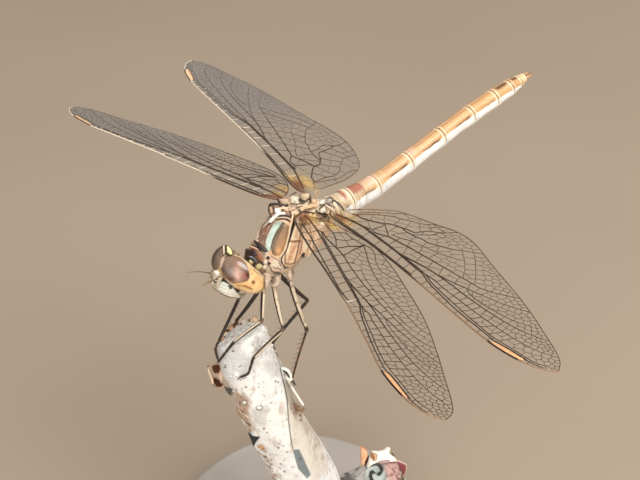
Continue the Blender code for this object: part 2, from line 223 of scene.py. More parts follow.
def eye_material(name, coat):
    m, nt, b = new_material(name)
    at = node(nt, "ShaderNodeAttribute", attribute_name="Col")
    tc = nt.nodes.new("ShaderNodeTexCoord")
    n = node(nt, "ShaderNodeTexNoise", Scale=3500.0, Detail=3.0)
    nt.links.new(tc.outputs["Object"], n.inputs["Vector"])
    v = node(nt, "ShaderNodeTexVoronoi", Scale=26000.0)
    nt.links.new(tc.outputs["Object"], v.inputs["Vector"])
    k = ramp(nt, n.outputs["Fac"], [(0.3, 0.9), (0.7, 1.04)])
    c = mix_rgb(nt, at.outputs["Color"], k, 1.0, "MULTIPLY")
    k2 = ramp(nt, v.outputs["Distance"], [(0.0, 1.06), (0.7, 0.86)])
    c = mix_rgb(nt, c, k2, 1.0, "MULTIPLY")
    nt.links.new(c, b.inputs["Base Color"])
    b.inputs["Roughness"].default_value = 0.3
    b.inputs["Specular IOR Level"].default_value = 0.3
    b.inputs["Coat Weight"].default_value = coat
    b.inputs["Coat Roughness"].default_value = 0.1
    bp = node(nt, "ShaderNodeBump", Strength=0.12, Distance=0.00001)
    nt.links.new(v.outputs["Distance"], bp.inputs["Height"])
    nt.links.new(bp.outputs["Normal"], b.inputs["Normal"])
    return m


MAT_EYE = eye_material("eye", 0.85)
MAT_EYE_FAR = eye_material("eye_far", 0.15)


# ================================================================ mesh helpers
def make(name, verts, faces, mat, colours=None, smooth=True, replace=(), slot=None):
    """One piece from world points; colours are linear, one for each point."""
    me = bpy.data.meshes.new(name)
    verts = np.asarray(verts, float)
    me.from_pydata(verts.tolist(), [], [tuple(int(i) for i in f) for f in faces])
    if colours is not None:
        col = me.color_attributes.new("Col", "FLOAT_COLOR", "POINT")
        c = np.ones((len(verts), 4), np.float32)
        c[:, :np.shape(colours)[1]] = np.clip(colours, 0, 1)
        col.data.foreach_set("color", c.ravel())
    me.materials.append(mat)
    if smooth:
        me.shade_smooth()
    me.validate()
    me.update()
    ob = bpy.data.objects.new(name, me)
    bpy.context.scene.collection.objects.link(ob)
    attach(ob, "root")
    if replace:
        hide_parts(*replace)
    return ob


def grid_faces(rows, cols, wrap=True, start=0, flip=False):
    out = []
    last = cols if wrap else cols - 1
    for i in range(rows - 1):
        for j in range(last):
            a = start + i * cols + j
            b = start + i * cols + (j + 1) % cols
            q = (a, b, b + cols, a + cols)
            out.append(q[::-1] if flip else q)
    return out


class Bag:
    """Collects many small pieces into one mesh."""

    def __init__(self):
        self.v, self.f, self.c, self.n = [], [], [], 0

    def add(self, verts, faces, colour):
        verts = np.asarray(verts, float)
        mid = verts.mean(0)
        tri = np.array([(f[0], f[k], f[k + 1]) for f in faces for k in range(1, len(f) - 1)])
        a, b, c = (verts[tri[:, k]] - mid for k in range(3))
        if np.einsum("ij,ij->i", a, np.cross(b, c)).sum() < 0:
            faces = [tuple(f)[::-1] for f in faces]
        self.v.append(verts)
        self.f.extend(tuple(i + self.n for i in f) for f in faces)
        col = np.asarray(colour, float)
        self.c.append(np.broadcast_to(col, (len(verts), 3)) if col.ndim == 1 else col)
        self.n += len(verts)

    def tube(self, path, radii, sides, colour, twist=0.0, squash=1.0):
        """Closed tapering tube through body-frame points; colour is one, one a ring, or a function of ring and angle."""
        path = np.asarray(path, float)
        n = len(path)
        radii = np.broadcast_to(np.asarray(radii, float), (n,))
        d = np.gradient(path, axis=0)
        d /= np.maximum(np.linalg.norm(d, axis=1, keepdims=True), 1e-12)
        ref = np.array([0.0, 0.0, 1.0]) if abs(d[:, 2]).mean() < 0.85 else np.array([0.0, 1.0, 0.0])
        one = np.cross(d, ref)
        one /= np.maximum(np.linalg.norm(one, axis=1, keepdims=True), 1e-12)
        two = np.cross(one, d)
        a = 2 * math.pi * np.arange(sides) / sides + twist
        ring = (path[:, None] + radii[:, None, None] * (one[:, None] * np.cos(a)[None, :, None]
                                                        + two[:, None] * squash * np.sin(a)[None, :, None]))
        v = ring.reshape(-1, 3)
        faces = grid_faces(n, sides)
        faces.append(tuple(range(sides))[::-1])
        faces.append(tuple(range((n - 1) * sides, n * sides)))
        if callable(colour):
            col = colour(np.repeat(np.linspace(0, 1, n), sides), np.tile(a, n), v)
        else:
            col = np.asarray(colour, float)
            if col.ndim == 2:
                col = np.repeat(col, sides, axis=0)
        self.add(W(v), faces, col)

    def ball(self, at, axes, colour, rot=None, seg=14, rings=9, shape=None):
        th = np.linspace(0, math.pi, rings)
        ph = 2 * math.pi * np.arange(seg) / seg
        q = np.stack([np.sin(th)[:, None] * np.cos(ph), np.sin(th)[:, None] * np.sin(ph),
                      np.cos(th)[:, None] + 0 * ph], -1)
        q = q[1:-1].reshape(-1, 3)
        q = np.concatenate([q, [[0, 0, 1.0]], [[0, 0, -1.0]]])
        p = q * np.asarray(axes, float)
        if shape is not None:
            p = shape(p)
        if rot is not None:
            p = p @ np.asarray(rot).T
        p = p + np.asarray(at, float)
        n = rings - 2
        faces = grid_faces(n, seg, flip=True)
        top, low = n * seg, n * seg + 1
        faces += [(top, j, (j + 1) % seg) for j in range(seg)]
        faces += [(low, (n - 1) * seg + (j + 1) % seg, (n - 1) * seg + j) for j in range(seg)]
        self.add(W(p), faces, colour(q, p) if callable(colour) else lin(colour))

    def done(self, name, mat, **kw):
        return make(name, np.concatenate(self.v), self.f, mat, np.concatenate(self.c), **kw)


def turn(rx, ry, rz):
    m = Matrix.Rotation(math.radians(rz), 3, "Z") @ Matrix.Rotation(math.radians(ry), 3, "Y") \
        @ Matrix.Rotation(math.radians(rx), 3, "X")
    return np.array(m)


# ================================================================ camera, floor and light
cam_data = bpy.data.cameras.new("camera")
cam_data.lens = 56.5125
cam_data.sensor_width = 36.0
cam_data.clip_start = 0.001
cam_data.clip_end = 10.0
camera = bpy.data.objects.new("camera", cam_data)
bpy.context.scene.collection.objects.link(camera)
_right = Vector((0.63291, 0.77422, 0.0))
_up = Vector((-0.47717, 0.39008, 0.78750))
_back = Vector((0.60970, -0.49842, 0.61632))
_eye_at = Vector(((AT[0] + 57.9295) * MM, (AT[1] - 44.0743) * MM, (AT[2] + 53.0782) * MM))
camera.matrix_world = Matrix((
    (_right.x, _up.x, _back.x, _eye_at.x), (_right.y, _up.y, _back.y, _eye_at.y),
    (_right.z, _up.z, _back.z, _eye_at.z), (0, 0, 0, 1)))
bpy.context.scene.camera = camera
bpy.context.scene.view_settings.view_transform = "Standard"


def floor_material():
    m, nt, b = new_material("floor")
    tc = nt.nodes.new("ShaderNodeTexCoord")
    n = node(nt, "ShaderNodeTexNoise", Scale=14.0, Detail=2.0)
    nt.links.new(tc.outputs["Object"], n.inputs["Vector"])
    c = ramp(nt, n.outputs["Fac"], [(0.3, (0.37, 0.293, 0.222)), (0.7, (0.395, 0.315, 0.24))])
    nt.links.new(c, b.inputs["Base Color"])
    b.inputs["Roughness"].default_value = 0.9
    b.inputs["Specular IOR Level"].default_value = 0.1
    return m


floor_mesh = bpy.data.meshes.new("floor")
floor_mesh.from_pydata([(-3, -3, 0), (3, -3, 0), (3, 3, 0), (-3, 3, 0)], [], [(0, 1, 2, 3)])
floor_mesh.materials.append(floor_material())
floor = bpy.data.objects.new("floor", floor_mesh)
floor.location.z = _base[0].z - 0.00005
bpy.context.scene.collection.objects.link(floor)

world = bpy.data.worlds.new("studio")
bpy.context.scene.world = world
world.use_nodes = True
world.node_tree.nodes["Background"].inputs["Color"].default_value = (1.0, 0.965, 0.92, 1)
world.node_tree.nodes["Background"].inputs["Strength"].default_value = 0.28


def area_light(name, direction, distance, size, power, colour=(1, 1, 1), tall=None):
    data = bpy.data.lights.new(name, "AREA")
    data.shape = "ELLIPSE" if tall else "DISK"
    data.size = size
    if tall:
        data.size_y = tall
    data.energy = power
    data.color = colour
    ob = bpy.data.objects.new(name, data)
    d = Vector(direction).normalized()
    centre = Vector(W((0, 0, 0)))
    ob.location = centre + d * distance
    ob.rotation_euler = d.to_track_quat("Z", "Y").to_euler()
    bpy.context.scene.collection.objects.link(ob)
    return ob


# ================================================================ noise
def _hash(i, j, k, seed):
    h = (i * 374761393 + j * 668265263 + k * 2147483647 + seed * 144665) & 0xFFFFFFFF
    h = ((h ^ (h >> 13)) * 1274126177) & 0xFFFFFFFF
    return ((h ^ (h >> 16)) & 0xFFFF) / 65535.0


def noise(p, scale, seed=0):
    """Smooth value noise, 0 to 1, at points; scale is in bumps per mm."""
    q = np.asarray(p, float) * scale
    i = np.floor(q).astype(np.int64)
    t = q - i
    t = t * t * (3 - 2 * t)
    out = 0
    for a in (0, 1):
        for b in (0, 1):
            for c in (0, 1):
                w = (t[..., 0] if a else 1 - t[..., 0]) * (t[..., 1] if b else 1 - t[..., 1]) * (t[..., 2] if c else 1 - t[..., 2])
                out = out + w * _hash(i[..., 0] + a, i[..., 1] + b, i[..., 2] + c, seed)
    return out


def fbm(p, scale, octaves=3, seed=0):
    total, amp, norm = 0, 1.0, 0
    for k in range(octaves):
        total = total + amp * noise(p, scale * 2 ** k, seed + 7 * k)
        norm += amp
        amp *= 0.55
    return total / norm


def unit(v):
    v = np.asarray(v, float)
    return v / np.maximum(np.linalg.norm(v, axis=-1, keepdims=True), 1e-12)


def near3(p, line):
    """Distance of points from a line of body-frame points."""
    line = np.asarray(line, float)
    best = np.full(p.shape[:-1], 1e9)
    for a, b in zip(line[:-1], line[1:]):
        d = b - a
        t = np.clip(((p - a) @ d) / max(d @ d, 1e-12), 0, 1)[..., None]
        best = np.minimum(best, np.linalg.norm(p - a - t * d, axis=-1))
    return best


CAM_RIGHT, TOWARD = unit((-0.774, 0.633, 0.0)), unit((0.498, 0.61, 0.616))
UPWARD = unit(np.cross(TOWARD, CAM_RIGHT))
UPWARD = UPWARD if UPWARD[2] > 0 else -UPWARD


_LENS = 56.5125 / 36 * 640


def sight(p):
    """Where body-frame points fall in a 640 by 480 picture from the scene's camera, to place marks."""
    q = np.stack([p[..., 1], -p[..., 0], p[..., 2]], -1) - np.array([57.9295, -44.0743, 53.0782])
    depth = -(q @ np.array(_back))
    return 320 + _LENS * (q @ np.array(_right)) / depth, 240 - _LENS * (q @ np.array(_up)) / depth


def plate(bag, outline_px, anchor, thick, face, edge, bulge=0.0, fold=0.0, mirror=False):
    """A thin torn flake: its outline as seen in the picture, at the depth of a body-frame point."""
    x0, y0 = (float(k) for k in sight(np.array(anchor, float)))
    c = np.array([57.9295, -44.0743, 53.0782])
    d = np.array([anchor[1], -anchor[0], anchor[2]]) - c
    scale = -(d @ np.array(_back)) / _LENS
    poly = np.array(outline_px, float)
    # densify the outline with a little raggedness
    pts = []
    for i in range(len(poly)):
        p0, p1 = poly[i], poly[(i + 1) % len(poly)]
        for k in range(6):
            s = k / 6
            j = 0.10 * math.sin(12.9 * i + 7.3 * k)
            pts.append(p0 * (1 - s) + p1 * s + (np.array([p1[1] - p0[1], p0[0] - p1[0]]) * 0.06 * j * (k > 0)))
    pts = np.array(pts)
    mid = pts.mean(0)
    rings = []
    for k in (1.0, 0.92, 0.75, 0.5, 0.25):
        q = mid + (pts - mid) * k
        rings.append((q, k))
    front, back, colour = [], [], []
    anchor = np.array(anchor, float)
    for q, k in rings:
        dx, dy = (q[:, 0] - x0) * scale, -(q[:, 1] - y0) * scale
        w = bulge * (1 - k * k) + fold * dx
        front.append(anchor + CAM_RIGHT * dx[:, None] + UPWARD * dy[:, None] + TOWARD * (w + thick / 2 * min(1, (1 - k) * 12 + 0.2))[:, None])
        back.append(anchor + CAM_RIGHT * dx[:, None] + UPWARD * dy[:, None] + TOWARD * (w - thick / 2 * min(1, (1 - k) * 12 + 0.2))[:, None])
        colour.append(np.broadcast_to(lin(edge if k > 0.9 else face), (len(q), 3)))
    n = len(pts)
    m = len(rings)
    v = np.concatenate(front + back)
    cc = np.concatenate(colour + [np.broadcast_to(lin(edge), (n, 3))] * m)
    cc = cc * (0.8 + 0.36 * fbm(v, 3.0, 3, 91))[:, None]
    faces = grid_faces(m, n) + grid_faces(m, n, start=m * n, flip=True)
    faces.append(tuple(range((m - 1) * n, m * n)))
    faces.append(tuple(range((2 * m - 1) * n, 2 * m * n))[::-1])
    for j in range(n):
        faces.append(((j + 1) % n, j, m * n + j, m * n + (j + 1) % n))
    if mirror:
        v = v * np.array([1, -1, 1]) + np.array([-0.05, 0.22, -0.62])
    bag.add(W(v), faces, cc)


def lay(points, at, lift=0.0):
    """Body-frame points under picture positions, at the depth of body-frame points."""
    out = []
    for (x, y), anchor in zip(points, at):
        c = np.array([57.9295, -44.0743, 53.0782])
        q = np.array([anchor[1], -anchor[0], anchor[2]]) - c
        depth = -(q @ np.array(_back)) - lift
        w = c + depth * (-np.array(_back) + np.array(_right) * (x - 320) / _LENS + np.array(_up) * (240 - y) / _LENS)
        out.append((-w[1], w[0], w[2]))
    return np.array(out)


def close_up(p):
    """Picture places of points mirrored to the insect's left, 22.4 steps a pixel from (205, 235)."""
    q = np.array(p, float)
    q[..., 1] = np.abs(q[..., 1])
    px, py = sight(q)
    return (px - 205) * 22.4, (py - 235) * 22.4


def blob(x, y, cx, cy, w, h):
    return np.exp(-((x - cx) / w) ** 2 - ((y - cy) / h) ** 2)


def stroke(x, y, line, wide):
    return np.exp(-(near_line(x, y, line)[0] / wide) ** 2)




# ================================================================ thorax
THORAX = [  # f, top, bottom, half width
    (4.0, -2.0, -5.0, 0.85), (3.7, -1.75, -5.8, 1.25), (3.1, -1.3, -6.3, 1.65), (2.3, -0.75, -6.6, 1.95),
    (1.5, -0.15, -6.7, 2.15), (0.4, -0.05, -6.4, 2.3), (-0.8, -0.1, -5.55, 2.25), (-2.0, -0.3, -4.8, 2.1),
    (-3.0, -0.7, -4.3, 1.85), (-3.7, -1.05, -4.0, 1.5)]
HUMERAL = [(0.25, -0.40), (0.83, -1.17), (1.21, -1.65), (1.66, -2.27), (1.96, -2.87), (2.40, -3.47), (2.75, -4.1),
           (2.95, -4.8)]
INTER = [(-0.45, -0.80), (0.21, -1.71), (0.68, -2.29), (1.22, -2.99), (1.67, -3.58), (2.01, -4.23), (2.25, -4.9)]
META = [(-2.2, -1.0), (-1.6, -1.8), (-0.95, -2.6), (-0.25, -3.4), (0.5, -4.2), (1.1, -5.0)]
CROSS = [(1.58, -2.08), (0.58, -2.42)]
OVAL = [(1.57, -0.90), (1.36, -1.34), (1.70, -1.96), (2.20, -2.79), (2.72, -3.33), (3.20, -3.0), (2.95, -2.05),
        (2.23, -1.36)]
LOW_EDGE = [(3.3, -4.0), (2.9, -4.9), (2.2, -5.2), (1.2, -5.35), (0.2, -5.0), (-0.9, -4.5), (-2.2, -4.1)]


def surface_normals(p, wrap=True):
    """Unit normals of a grid of points, pointing out of a body whose rings turn from l to u."""
    du = np.gradient(p, axis=0)
    if wrap:
        dv = (np.roll(p, -1, 1) - np.roll(p, 1, 1)) / 2
    else:
        dv = np.gradient(p, axis=1)
    n = np.cross(du, dv)
    n /= np.maximum(np.linalg.norm(n, axis=2, keepdims=True), 1e-9)
    return n


def thorax_surface(rows, cols, inset=0.03):
    t = np.linspace(0, 1, rows)[:, None]
    a = (2 * math.pi * np.arange(cols) / cols)[None, :]
    prof = catmull(THORAX, t[:, 0])
    f, top, low, w = [prof[:, i][:, None] for i in range(4)]
    c, s = np.cos(a), np.sin(a)
    cl = np.sign(c) * np.abs(c) ** (2 / 2.2)
    su = np.sign(s) * np.abs(s) ** (2 / 2.2)
    l = (w - inset) * cl * (1 - 0.2 * su)
    u = (top + low) / 2 + ((top - low) / 2 - inset) * su
    return np.stack([f + 0 * a, l, u], -1)


def thorax_marks(p):
    """Relief in mm along the normal, and linear colour, for points on the thorax."""
    f, l, u = p[..., 0], p[..., 1], p[..., 2]
    al = np.abs(l)
    dh, th = near_line(f, u, HUMERAL)
    di, ti = near_line(f, u, INTER)
    dm, tm = near_line(f, u, META)
    dc, _ = near_line(f, u, CROSS)
    de, te = near_line(f, u, LOW_EDGE)
    side = step(0.55, 1.1, al)
    front = step(0.2, 0.7, f - np.interp(u, [-4.8, -3.47, -2.27, -1.17, -0.4], [2.95, 2.4, 1.66, 0.83, 0.25])) \
        * step(-4.6, -4.1, u)
    relief = (-0.07 * np.exp(-(dh / 0.09) ** 2) - 0.06 * np.exp(-(di / 0.07) ** 2)
              - 0.045 * np.exp(-(dm / 0.07) ** 2) - 0.03 * np.exp(-(dc / 0.05) ** 2)) * side
    relief += -0.06 * np.exp(-(de / 0.08) ** 2) * side
    # plates swell between the sutures
    relief += 0.06 * side * step(0.05, 0.45, np.minimum(np.minimum(dh, di), dm)) * step(-5.2, -4.4, u)
    crest = np.exp(-(al / 0.07) ** 2) * step(1.3, 1.8, f) * step(-2.6, -2.2, u)
    relief += 0.10 * crest
    relief -= 0.03 * np.exp(-((al - 0.2) / 0.1) ** 2) * step(1.3, 1.8, f) * step(-2.6, -2.2, u)
    # colour
    wob = 0.03 * wave(f * 3 + u * 2, 3)
    col = np.broadcast_to(lin((203, 166, 128)), p.shape).copy()
    col = paint(col, (214, 182, 146), step(-3.0, -4.0, u))
    col = paint(col, (196, 158, 118), bump1(di, 0.45, 0.3) * side * 0.6)
    col = paint(col, (232, 208, 176), np.exp(-((np.minimum(dh, di) - 0.17) / 0.06) ** 2) * side * 0.75)
    # mesothorax front: brown, with a dark red middle, a pale stripe and the brown oval
    col = paint(col, (126, 90, 66), front * step(-3.7, -3.3, u))
    col = paint(col, (84, 38, 26), front * np.exp(-((al - 0.13) / 0.09) ** 2) * step(1.7, 2.2, f) * 0.8)
    col = paint(col, (222, 205, 178), crest * step(2.2, 1.5, f))
    left = np.interp(f, [1.6, 2.18, 2.69, 3.27, 3.65, 3.9], [0.36, 0.38, 0.44, 0.59, 0.78, 0.95])
    right = np.interp(f, [1.3, 1.65, 2.3, 2.8, 3.35, 3.7], [0.80, 0.80, 0.84, 0.96, 1.14, 1.2])
    mint = step(left - 0.04, left + 0.04, al + wob) * step(right + 0.04, right - 0.04, al + wob) \
        * step(1.50, 1.68, f) * step(-3.3, -3.05, u)
    oval = area(f, u, OVAL, 0.06) * step(0.9, 1.05, al)
    ring, _ = near_line(f, u, OVAL + [OVAL[0]])
    band = front * step(right, right + 0.06, al) * (1 - oval) * step(-3.4, -3.1, u)
    col = paint(col, (92, 84, 60), band * 0.85)
    col = paint(col, (228, 196, 160), np.exp(-((ring - 0.02) / 0.07) ** 2) * step(1.0, 1.15, al) * (1 - oval)
                * step(0.9, 1.3, al))
    core = oval * step(0.08, 0.3, ring)
    col = paint(col, (150, 108, 72), oval)
    col = paint(col, (176, 132, 90), core * step(-1.6, -2.6, u))
    col = paint(col, (112, 88, 56), oval * step(2.3, 3.0, f) * 0.7)
    col = paint(col, (218, 226, 206), mint)
    col = paint(col, (190, 196, 172), mint * (0.35 + 0.25 * wave(f * 9 + l * 4, 5)))
    # sutures
    wh = np.interp(th, [0, 0.30, 0.45, 0.8, 1], [0.16, 0.15, 0.06, 0.045, 0.03])
    col = paint(col, (30, 19, 13), step(wh + 0.03, wh - 0.03, dh) * side * step(1.0, 0.9, th) * 1.0)
    wi = np.interp(ti, [0, 0.3, 1], [0.07, 0.045, 0.035])
    col = paint(col, (44, 28, 18), step(wi + 0.03, wi - 0.02, di) * side * step(1.0, 0.92, ti))
    col = paint(col, (60, 40, 26), step(0.06, 0.02, dm) * side * step(1.0, 0.9, tm))
    col = paint(col, (44, 28, 18), step(0.055, 0.02, dc) * side)
    col = paint(col, (84, 74, 62), step(0.13, 0.04, de) * side * (0.55 + 0.35 * wave(te * 20, 8)))
    # thin scratch lines that part the lower plates
    col = paint(col, (150, 118, 88), np.exp(-(near_line(f, u, [(1.35, -3.1), (0.85, -4.2)])[0] / 0.04) ** 2) * side)
    col = paint(col, (120, 92, 70), np.exp(-(near_line(f, u, [(-0.2, -1.6), (0.0, -2.6), (0.4, -3.6)])[0] / 0.04) ** 2) * side * 0.7)
    # pleura behind: paler
    col = paint(col, (222, 196, 164), step(-2.2, -3.2, f) * step(-1.0, -1.6, u) * 0.7)
    # underside: pinkish beige with grey patches
    low = step(-4.6, -5.3, u)
    col = paint(col, (206, 178, 150), low)
    col = paint(col, (92, 84, 74), low * step(0.1, 0.55, wave(f * 2.2 + l * 1.3, 11) * wave(f * 1.3 - l * 2.7, 12)) * 0.8)
    # top between the wings: cream plates with dark seams
    top = step(1.25, 0.95, f) * step(1.25, 1.0, al) * step(-1.3, -0.9, u)
    col = paint(col, (226, 208, 178), top)
    seam = np.minimum(np.minimum(abs(f - 0.1 - 0.25 * al), abs(f + 1.25 + 0.2 * al)), abs(f + 2.5 - 0.2 * al))
    col = paint(col, (60, 44, 34), top * step(0.09, 0.03, seam) * 0.8)
    col = paint(col, (238, 230, 208), top * np.exp(-(al / 0.3) ** 2) * 0.8)
    relief += top * (-0.06 * np.exp(-(seam / 0.08) ** 2))
    # dark edge where the front meets the neck
    col = paint(col, (40, 28, 24), step(3.72, 3.92, f) * step(-4.4, -3.8, u))
    return relief, col


def side_view(p):
    """Picture places of points mirrored to the insect's left, 14.25 steps a pixel from (240, 180)."""
    q = np.array(p, float)
    q[..., 1] = np.abs(q[..., 1])
    px, py = sight(q)
    return (px - 240) * 14.25, (py - 180) * 14.25


MINT = [(505, 590), (445, 690), (398, 790), (366, 890), (368, 955), (398, 1018), (430, 1008), (442, 935), (462, 855), (502, 758), (562, 662), (612, 592)]
OVALS = [(655, 636), (702, 648), (688, 780), (662, 892), (622, 996), (566, 1072), (500, 1084), (452, 1036), (450, 978), (490, 862), (540, 742), (598, 662)]


def thorax_side(p, n, col, relief):
    """Marks of the thorax's side and front as the photo shows them."""
    X, Y = side_view(p)
    X = X + 7 * (fbm(p, 2.2, 2, 13) - 0.5)
    Y = Y + 7 * (fbm(p, 2.2, 2, 14) - 0.5)
    m = n * np.stack([np.ones(n.shape[:2]), np.sign(p[..., 1] + 1e-9), np.ones(n.shape[:2])], -1)
    seen = step(-0.02, 0.12, m @ TOWARD)
    c = np.broadcast_to(lin((212, 172, 136)), p.shape).copy()
    c = paint(c, (222, 184, 150), blob(X, Y, 940, 740, 70, 110) * 0.8)
    c = paint(c, (246, 222, 190), blob(X, Y, 930, 930, 50, 110) * 0.9)
    c = paint(c, (244, 220, 188), blob(X, Y, 1030, 900, 44, 70) * 0.8)
    c = paint(c, (226, 188, 152), step(860, 960, X) * step(1010, 1090, Y) * 0.8)
    c = paint(c, (234, 200, 168), step(960, 1080, X) * 0.6)
    c = paint(c, (218, 188, 158), step(1190, 1260, Y) * 0.8)
    # plates between the seams, each with a paler rim
    for poly, tone, rim in (
            ([(800, 640), (836, 640), (848, 720), (846, 856), (742, 860), (748, 760), (770, 690)], (214, 174, 138), (244, 214, 178)),
            ([(712, 900), (836, 894), (812, 1000), (786, 1100), (762, 1176), (650, 1180), (652, 1110), (676, 1010)], (208, 164, 128), (240, 208, 172)),
            ([(900, 700), (980, 690), (1000, 780), (970, 850), (915, 830)], (224, 182, 146), (244, 216, 184))):
        a = area(X, Y, poly, 12)
        d = near_line(X, Y, poly + [poly[0]])[0]
        c = paint(c, tone, a)
        c = paint(c, rim, np.exp(-((d - 16) / 9) ** 2) * a * 0.9)
    c = paint(c, (232, 196, 158), np.exp(-(near_line(X, Y, [(668, 1060), (722, 1066), (784, 1052)])[0] / 9) ** 2) * 0.8)
    # lower front: pinkish cream, cut by dark lines
    lowf = 1.0 * step(0, 30, Y - np.interp(X, [330, 440, 520, 600, 660], [1010, 1075, 1105, 1100, 1200])) * step(640, 590, X)
    c = paint(c, (244, 214, 190), lowf)
    c = paint(c, (248, 222, 196), lowf * blob(X, Y, 500, 1190, 60, 46) * 0.9)
    c = paint(c, (206, 168, 144), lowf * blob(X, Y, 440, 1130, 44, 30) * 0.8)
    c = paint(c, (252, 232, 206), lowf * blob(X, Y, 375, 1255, 52, 26))
    c = paint(c, (248, 226, 198), lowf * blob(X, Y, 405, 1335, 30, 60))
    for line, w in (([(402, 1150), (396, 1200), (440, 1250), (452, 1300), (500, 1318), (560, 1322)], 11), ([(436, 1078), (500, 1120), (545, 1140), (600, 1118)], 7),
                    ([(340, 1190), (330, 1240), (356, 1290), (352, 1380)], 10), ([(560, 1150), (580, 1230), (636, 1262)], 8),
                    ([(470, 1235), (520, 1262), (584, 1270)], 8)):
        c = paint(c, (52, 36, 26), np.exp(-(near_line(X, Y, line)[0] / w) ** 2) * 0.9)
    c = paint(c, (96, 82, 66), blob(X, Y, 540, 1330, 80, 34) * 0.8)
    # brown front with its dark red middle line
    front = area(X, Y, [(395, 440), (505, 560), (445, 690), (392, 790), (358, 890), (352, 1010), (180, 900), (215, 760), (300, 560)], 12)
    c = paint(c, (132, 98, 78), front)
    c = paint(c, (104, 74, 60), front * blob(X, Y, 300, 800, 60, 60) * 0.8)
    c = paint(c, (150, 116, 94), front * blob(X, Y, 330, 680, 30, 80) * 0.6)
    c = paint(c, (110, 30, 18), front * np.exp(-(near_line(X, Y, [(428, 590), (388, 670), (362, 736)])[0] / 13) ** 2))
    c = paint(c, (54, 34, 26), np.exp(-(near_line(X, Y, [(480, 582), (430, 660), (385, 760), (352, 860), (352, 930)])[0] / 8) ** 2) * 0.85)
    c = paint(c, (206, 176, 150), np.exp(-(near_line(X, Y, [(455, 600), (405, 690), (368, 790)])[0] / 6) ** 2) * 0.55)
    # mint stripe
    mint = area(X, Y, MINT, 9)
    c = paint(c, (184, 200, 188), mint)
    c = paint(c, (140, 152, 136), mint * step(690, 600, Y) * 0.85)
    c = paint(c, (166, 182, 168), mint * blob(X, Y, 462, 770, 30, 40) * 0.8)
    # olive band, then the oval plate with its cream rim
    olive = area(X, Y, [(612, 592), (660, 628), (598, 662), (540, 742), (490, 862), (450, 978), (430, 1004), (442, 935), (462, 855), (502, 758), (562, 662)], 8)
    c = paint(c, (66, 60, 42), olive)
    oval = area(X, Y, OVALS, 9)
    rimd = near_line(X, Y, OVALS + [OVALS[0]])[0]
    c = paint(c, (240, 208, 172), np.exp(-(rimd / 15) ** 2) * step(560, 640, X + 0.35 * Y - 250) * (1 - oval * 0.6) * step(600, 680, Y))
    c = paint(c, (158, 120, 86), oval)
    c = paint(c, (132, 100, 70), oval * step(900, 700, Y) * 0.6)
    c = paint(c, (92, 76, 52), oval * step(56, 20, X - np.interp(Y, [650, 742, 862, 978, 1040], [604, 540, 490, 450, 452])) * 0.9)
    # painted highlight: an orange glint low on the oval plate
    c = paint(c, (212, 160, 106), oval * blob(X, Y, 545, 1000, 40, 56) * 0.9)
    c = paint(c, (186, 140, 98), oval * blob(X, Y, 610, 900, 34, 70) * 0.6)
    # the seams of the side
    hum = near_line(X, Y, [(790, 500), (778, 600), (748, 700), (720, 800), (700, 880), (672, 972), (634, 1050), (592, 1120), (600, 1196), (656, 1262)])[0]
    wide = np.interp(Y, [480, 560, 660, 760, 880, 960, 1200], [20, 26, 25, 17, 13, 9, 10])
    cream = np.exp(-((hum - wide - 14) / 10) ** 2) * step(1200, 1100, Y)
    c = paint(c, (246, 220, 186), cream * step(0, 30, X - np.interp(Y, [500, 700, 880, 1050, 1200], [790, 748, 700, 634, 600]) + 60))
    c = paint(c, (30, 18, 12), step(wide + 7, wide - 5, hum))
    c = paint(c, (104, 50, 26), np.exp(-(near_line(X, Y, [(716, 878), (790, 872), (862, 872)])[0] / 13) ** 2))
    for line, w, tone in (
            ([(842, 560), (858, 660), (860, 780), (852, 880), (826, 985), (796, 1090), (770, 1178)], 10, (96, 62, 40)),
            ([(886, 640), (892, 780), (880, 900), (860, 1000), (846, 1060)], 8, (120, 84, 58)),
            ([(690, 905), (664, 1010), (640, 1110), (640, 1184), (700, 1204), (768, 1182)], 8, (84, 56, 38)),
            ([(606, 1206), (668, 1252), (760, 1216), (836, 1140), (880, 1084)], 12, (84, 72, 56)),
            ([(700, 1240), (800, 1180), (866, 1110)], 7, (222, 196, 166)),
            ([(882, 1096), (940, 1094), (1000, 1078)], 11, (40, 28, 20)),
            ([(984, 660), (1010, 780), (1046, 860), (1040, 960)], 8, (130, 94, 68)),
            ([(965, 1010), (985, 930), (1000, 860)], 7, (110, 78, 54)),
            ([(840, 640), (900, 630), (980, 640)], 10, (92, 60, 34))):
        c = paint(c, tone, np.exp(-(near_line(X, Y, line)[0] / w) ** 2) * 0.95)
    c = paint(c, (18, 14, 12), step(26, 16, np.hypot((X - 904) * 1.1, (Y - 1062) * 0.7)))
    c = np.minimum(c * (1.02 + 0.28 * fbm(p, 5.0, 3, 15))[..., None], 0.95)
    # the top, between the wings: cream with fine dark seams
    roof = step(470, 420, Y - np.interp(X, [420, 560, 700, 850, 1100, 1300], [60, 40, 30, 0, 20, 40])) * step(560, 600, X)
    c = paint(c, (232, 208, 178), roof)
    seen = seen * (1 - step(-3.0, -3.4, p[..., 0]))
    relief = relief + seen * (0.05 * oval * step(10, 40, rimd) + 0.04 * mint - 0.05 * olive - 0.05 * step(wide + 8, wide - 6, hum))
